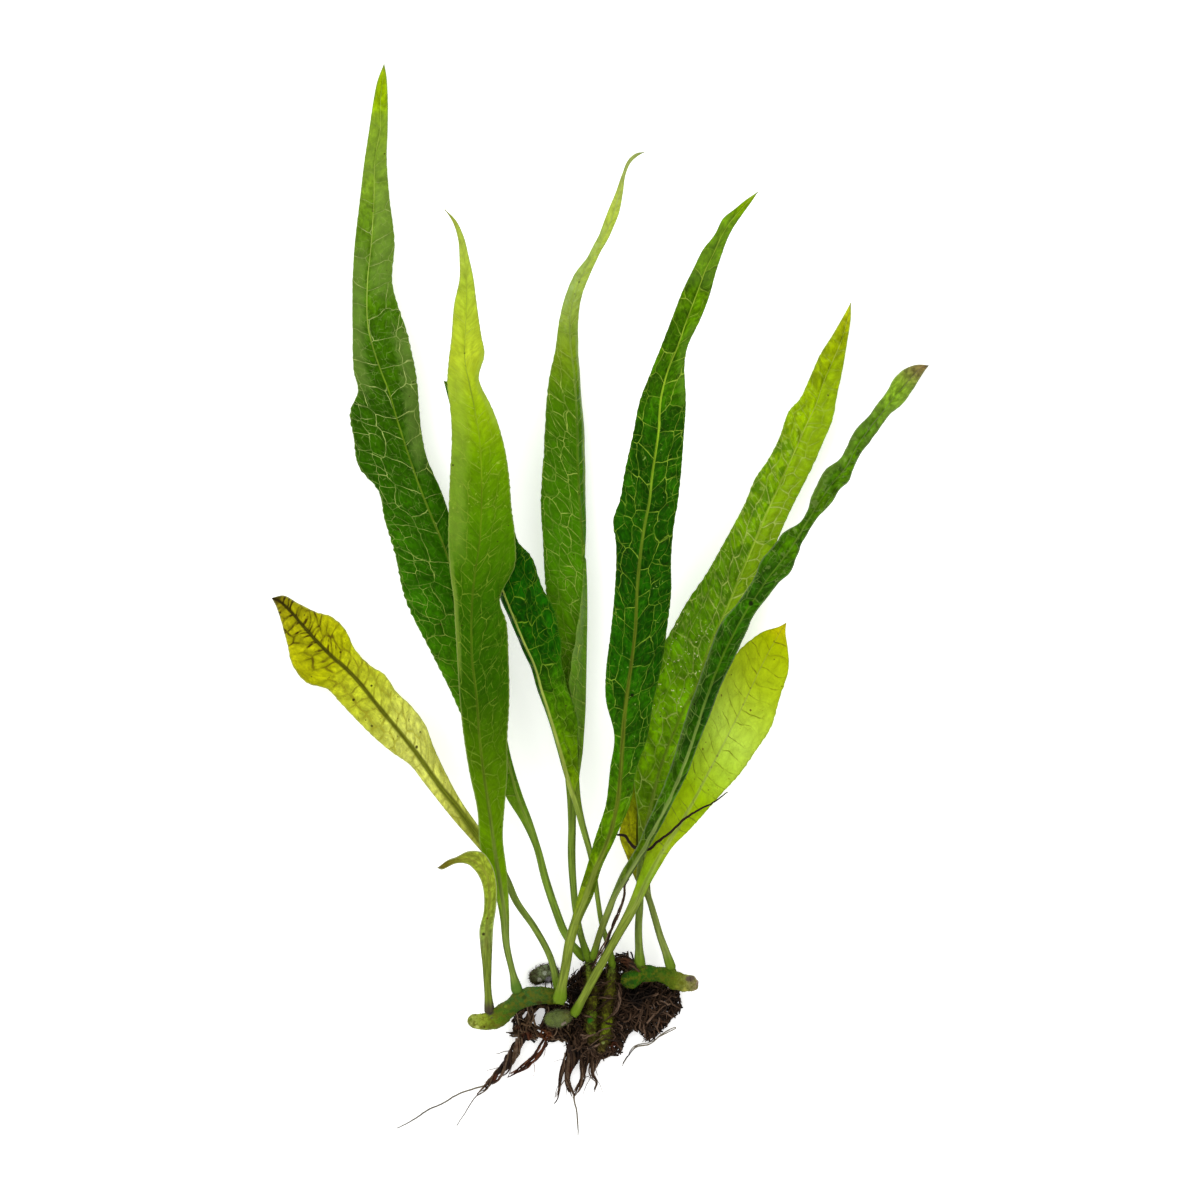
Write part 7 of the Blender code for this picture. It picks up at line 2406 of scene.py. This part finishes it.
# the fourth, at the right
middleRight = {
    "piece": "middleRight",
    "node": "root_middle_right",
    "slot": "root_dark",
    "seed": 47,
    "path": [
        (-0.8, -105.8, 2.6, 1.7),
        (-0.9, -109.0, 1.6, 1.5),
        (-1.6, -111.6, 1.3, 1.1),
        (-1.9, -113.8, 1.1, 0.7),
        (-1.0, -115.6, 1.0, 0.6),
        (-1.4, -117.9, 0.8, 0.35),
    ],
    "fibres": 14,
    "ends": (0.6, 1.0),
    "twist": 0.4,
    "thin": 0.16,
    "strays": 6,
    "wobble": 0.35,
    "guidedSway": 0.6,
    "colours": darkRoot,
    "marks": [(-1.0, -109.0, 2.0, 1.0, "#3c1e10")],
    "deep": 1.2,
}
makeStrand(middleRight)

# the hair that hangs from them
middleHair = {
    "piece": "middleHair",
    "node": "root_hair_middle",
    "slot": "root_hair",
    "seed": 48,
    "path": [
        (-6.3, -118.6, 1.0, 0.22),
        (-6.1, -120.3, 0.9, 0.2),
        (-5.6, -122.3, 0.8, 0.18),
        (-5.4, -125.6, 0.6, 0.17),
        (-5.2, -128.7, 0.3, 0.14),
    ],
    "fibres": 1,
    "ends": (1.0, 1.0),
    "twist": 0.0,
    "thin": 0.1,
    "strays": 0,
    "wobble": 0.3,
    "guidedSway": 0.3,
    "colours": paleRoot,
    "marks": [],
    "deep": 1.2,
}
makeStrand(middleHair)

# the loose strand that runs down from the right mat
rightStrand = {
    "piece": "rightStrand",
    "node": "root_right_strand",
    "slot": "root_hair",
    "seed": 49,
    "path": [
        (18.2, -102.6, 1.4, 0.2),
        (15.8, -103.7, 1.2, 0.32),
        (11.7, -106.4, 1.0, 0.36),
        (8.4, -107.2, 0.9, 0.42),
        (6.9, -109.3, 0.7, 0.4),
        (5.1, -112.0, 0.4, 0.2),
    ],
    "fibres": 3,
    "ends": (0.8, 1.0),
    "twist": 0.4,
    "thin": 0.12,
    "strays": 0,
    "wobble": 0.35,
    "guidedSway": 0.5,
    "colours": paleRoot,
    "marks": [(6.9, -109.0, 0.8, 1.4, "#2c1e16")],
    "deep": 1.2,
}
makeStrand(rightStrand)

# a wiry root that lies across the fronds at the right
acrossFronds = {
    "piece": "acrossFronds",
    "node": "root_across_fronds",
    "slot": "root_dark",
    "seed": 50,
    "path": [
        (4.1, -56.3, 7.2, 0.24),
        (5.8, -56.4, 8.0, 0.38),
        (7.0, -57.8, 9.0, 0.4),
        (8.4, -59.3, 10.2, 0.44),
        (9.8, -59.4, 11.2, 0.38),
        (11.6, -59.6, 12.1, 0.36),
        (13.8, -57.8, 12.4, 0.34),
        (16.9, -55.4, 12.6, 0.3),
        (19.9, -52.5, 12.8, 0.3),
        (23.9, -50.0, 12.8, 0.26),
        (27.5, -48.2, 12.8, 0.26),
        (30.8, -45.6, 12.9, 0.2),
    ],
    "fibres": 1,
    "ends": (1.0, 1.0),
    "twist": 0.0,
    "thin": 0.12,
    "strays": 0,
    "wobble": 0.4,
    "guidedSway": 0.5,
    "colours": darkRoot,
    "marks": [],
    "deep": 1.2,
}
makeStrand(acrossFronds)

# a wiry root that clings to the stalks below it
stalkRoot = {
    "piece": "stalkRoot",
    "node": "root_at_stalk",
    "slot": "root_dark",
    "seed": 51,
    "path": [
        (7.2, -66.2, 9.9, 0.3),
        (6.0, -67.9, 9.8, 0.36),
        (5.9, -70.0, 10.0, 0.3),
        (5.2, -73.0, 10.6, 0.42),
        (3.2, -77.4, 11.2, 0.5),
        (1.6, -81.5, 11.2, 0.55),
        (-0.6, -85.6, 10.8, 0.5),
        (-2.1, -88.5, 10.5, 0.3),
    ],
    "fibres": 6,
    "ends": (0.8, 1.0),
    "twist": 0.5,
    "thin": 0.15,
    "strays": 0,
    "wobble": 0.35,
    "guidedSway": 0.4,
    "colours": darkRoot,
    "marks": [],
    "deep": 1.2,
}
makeStrand(stalkRoot)
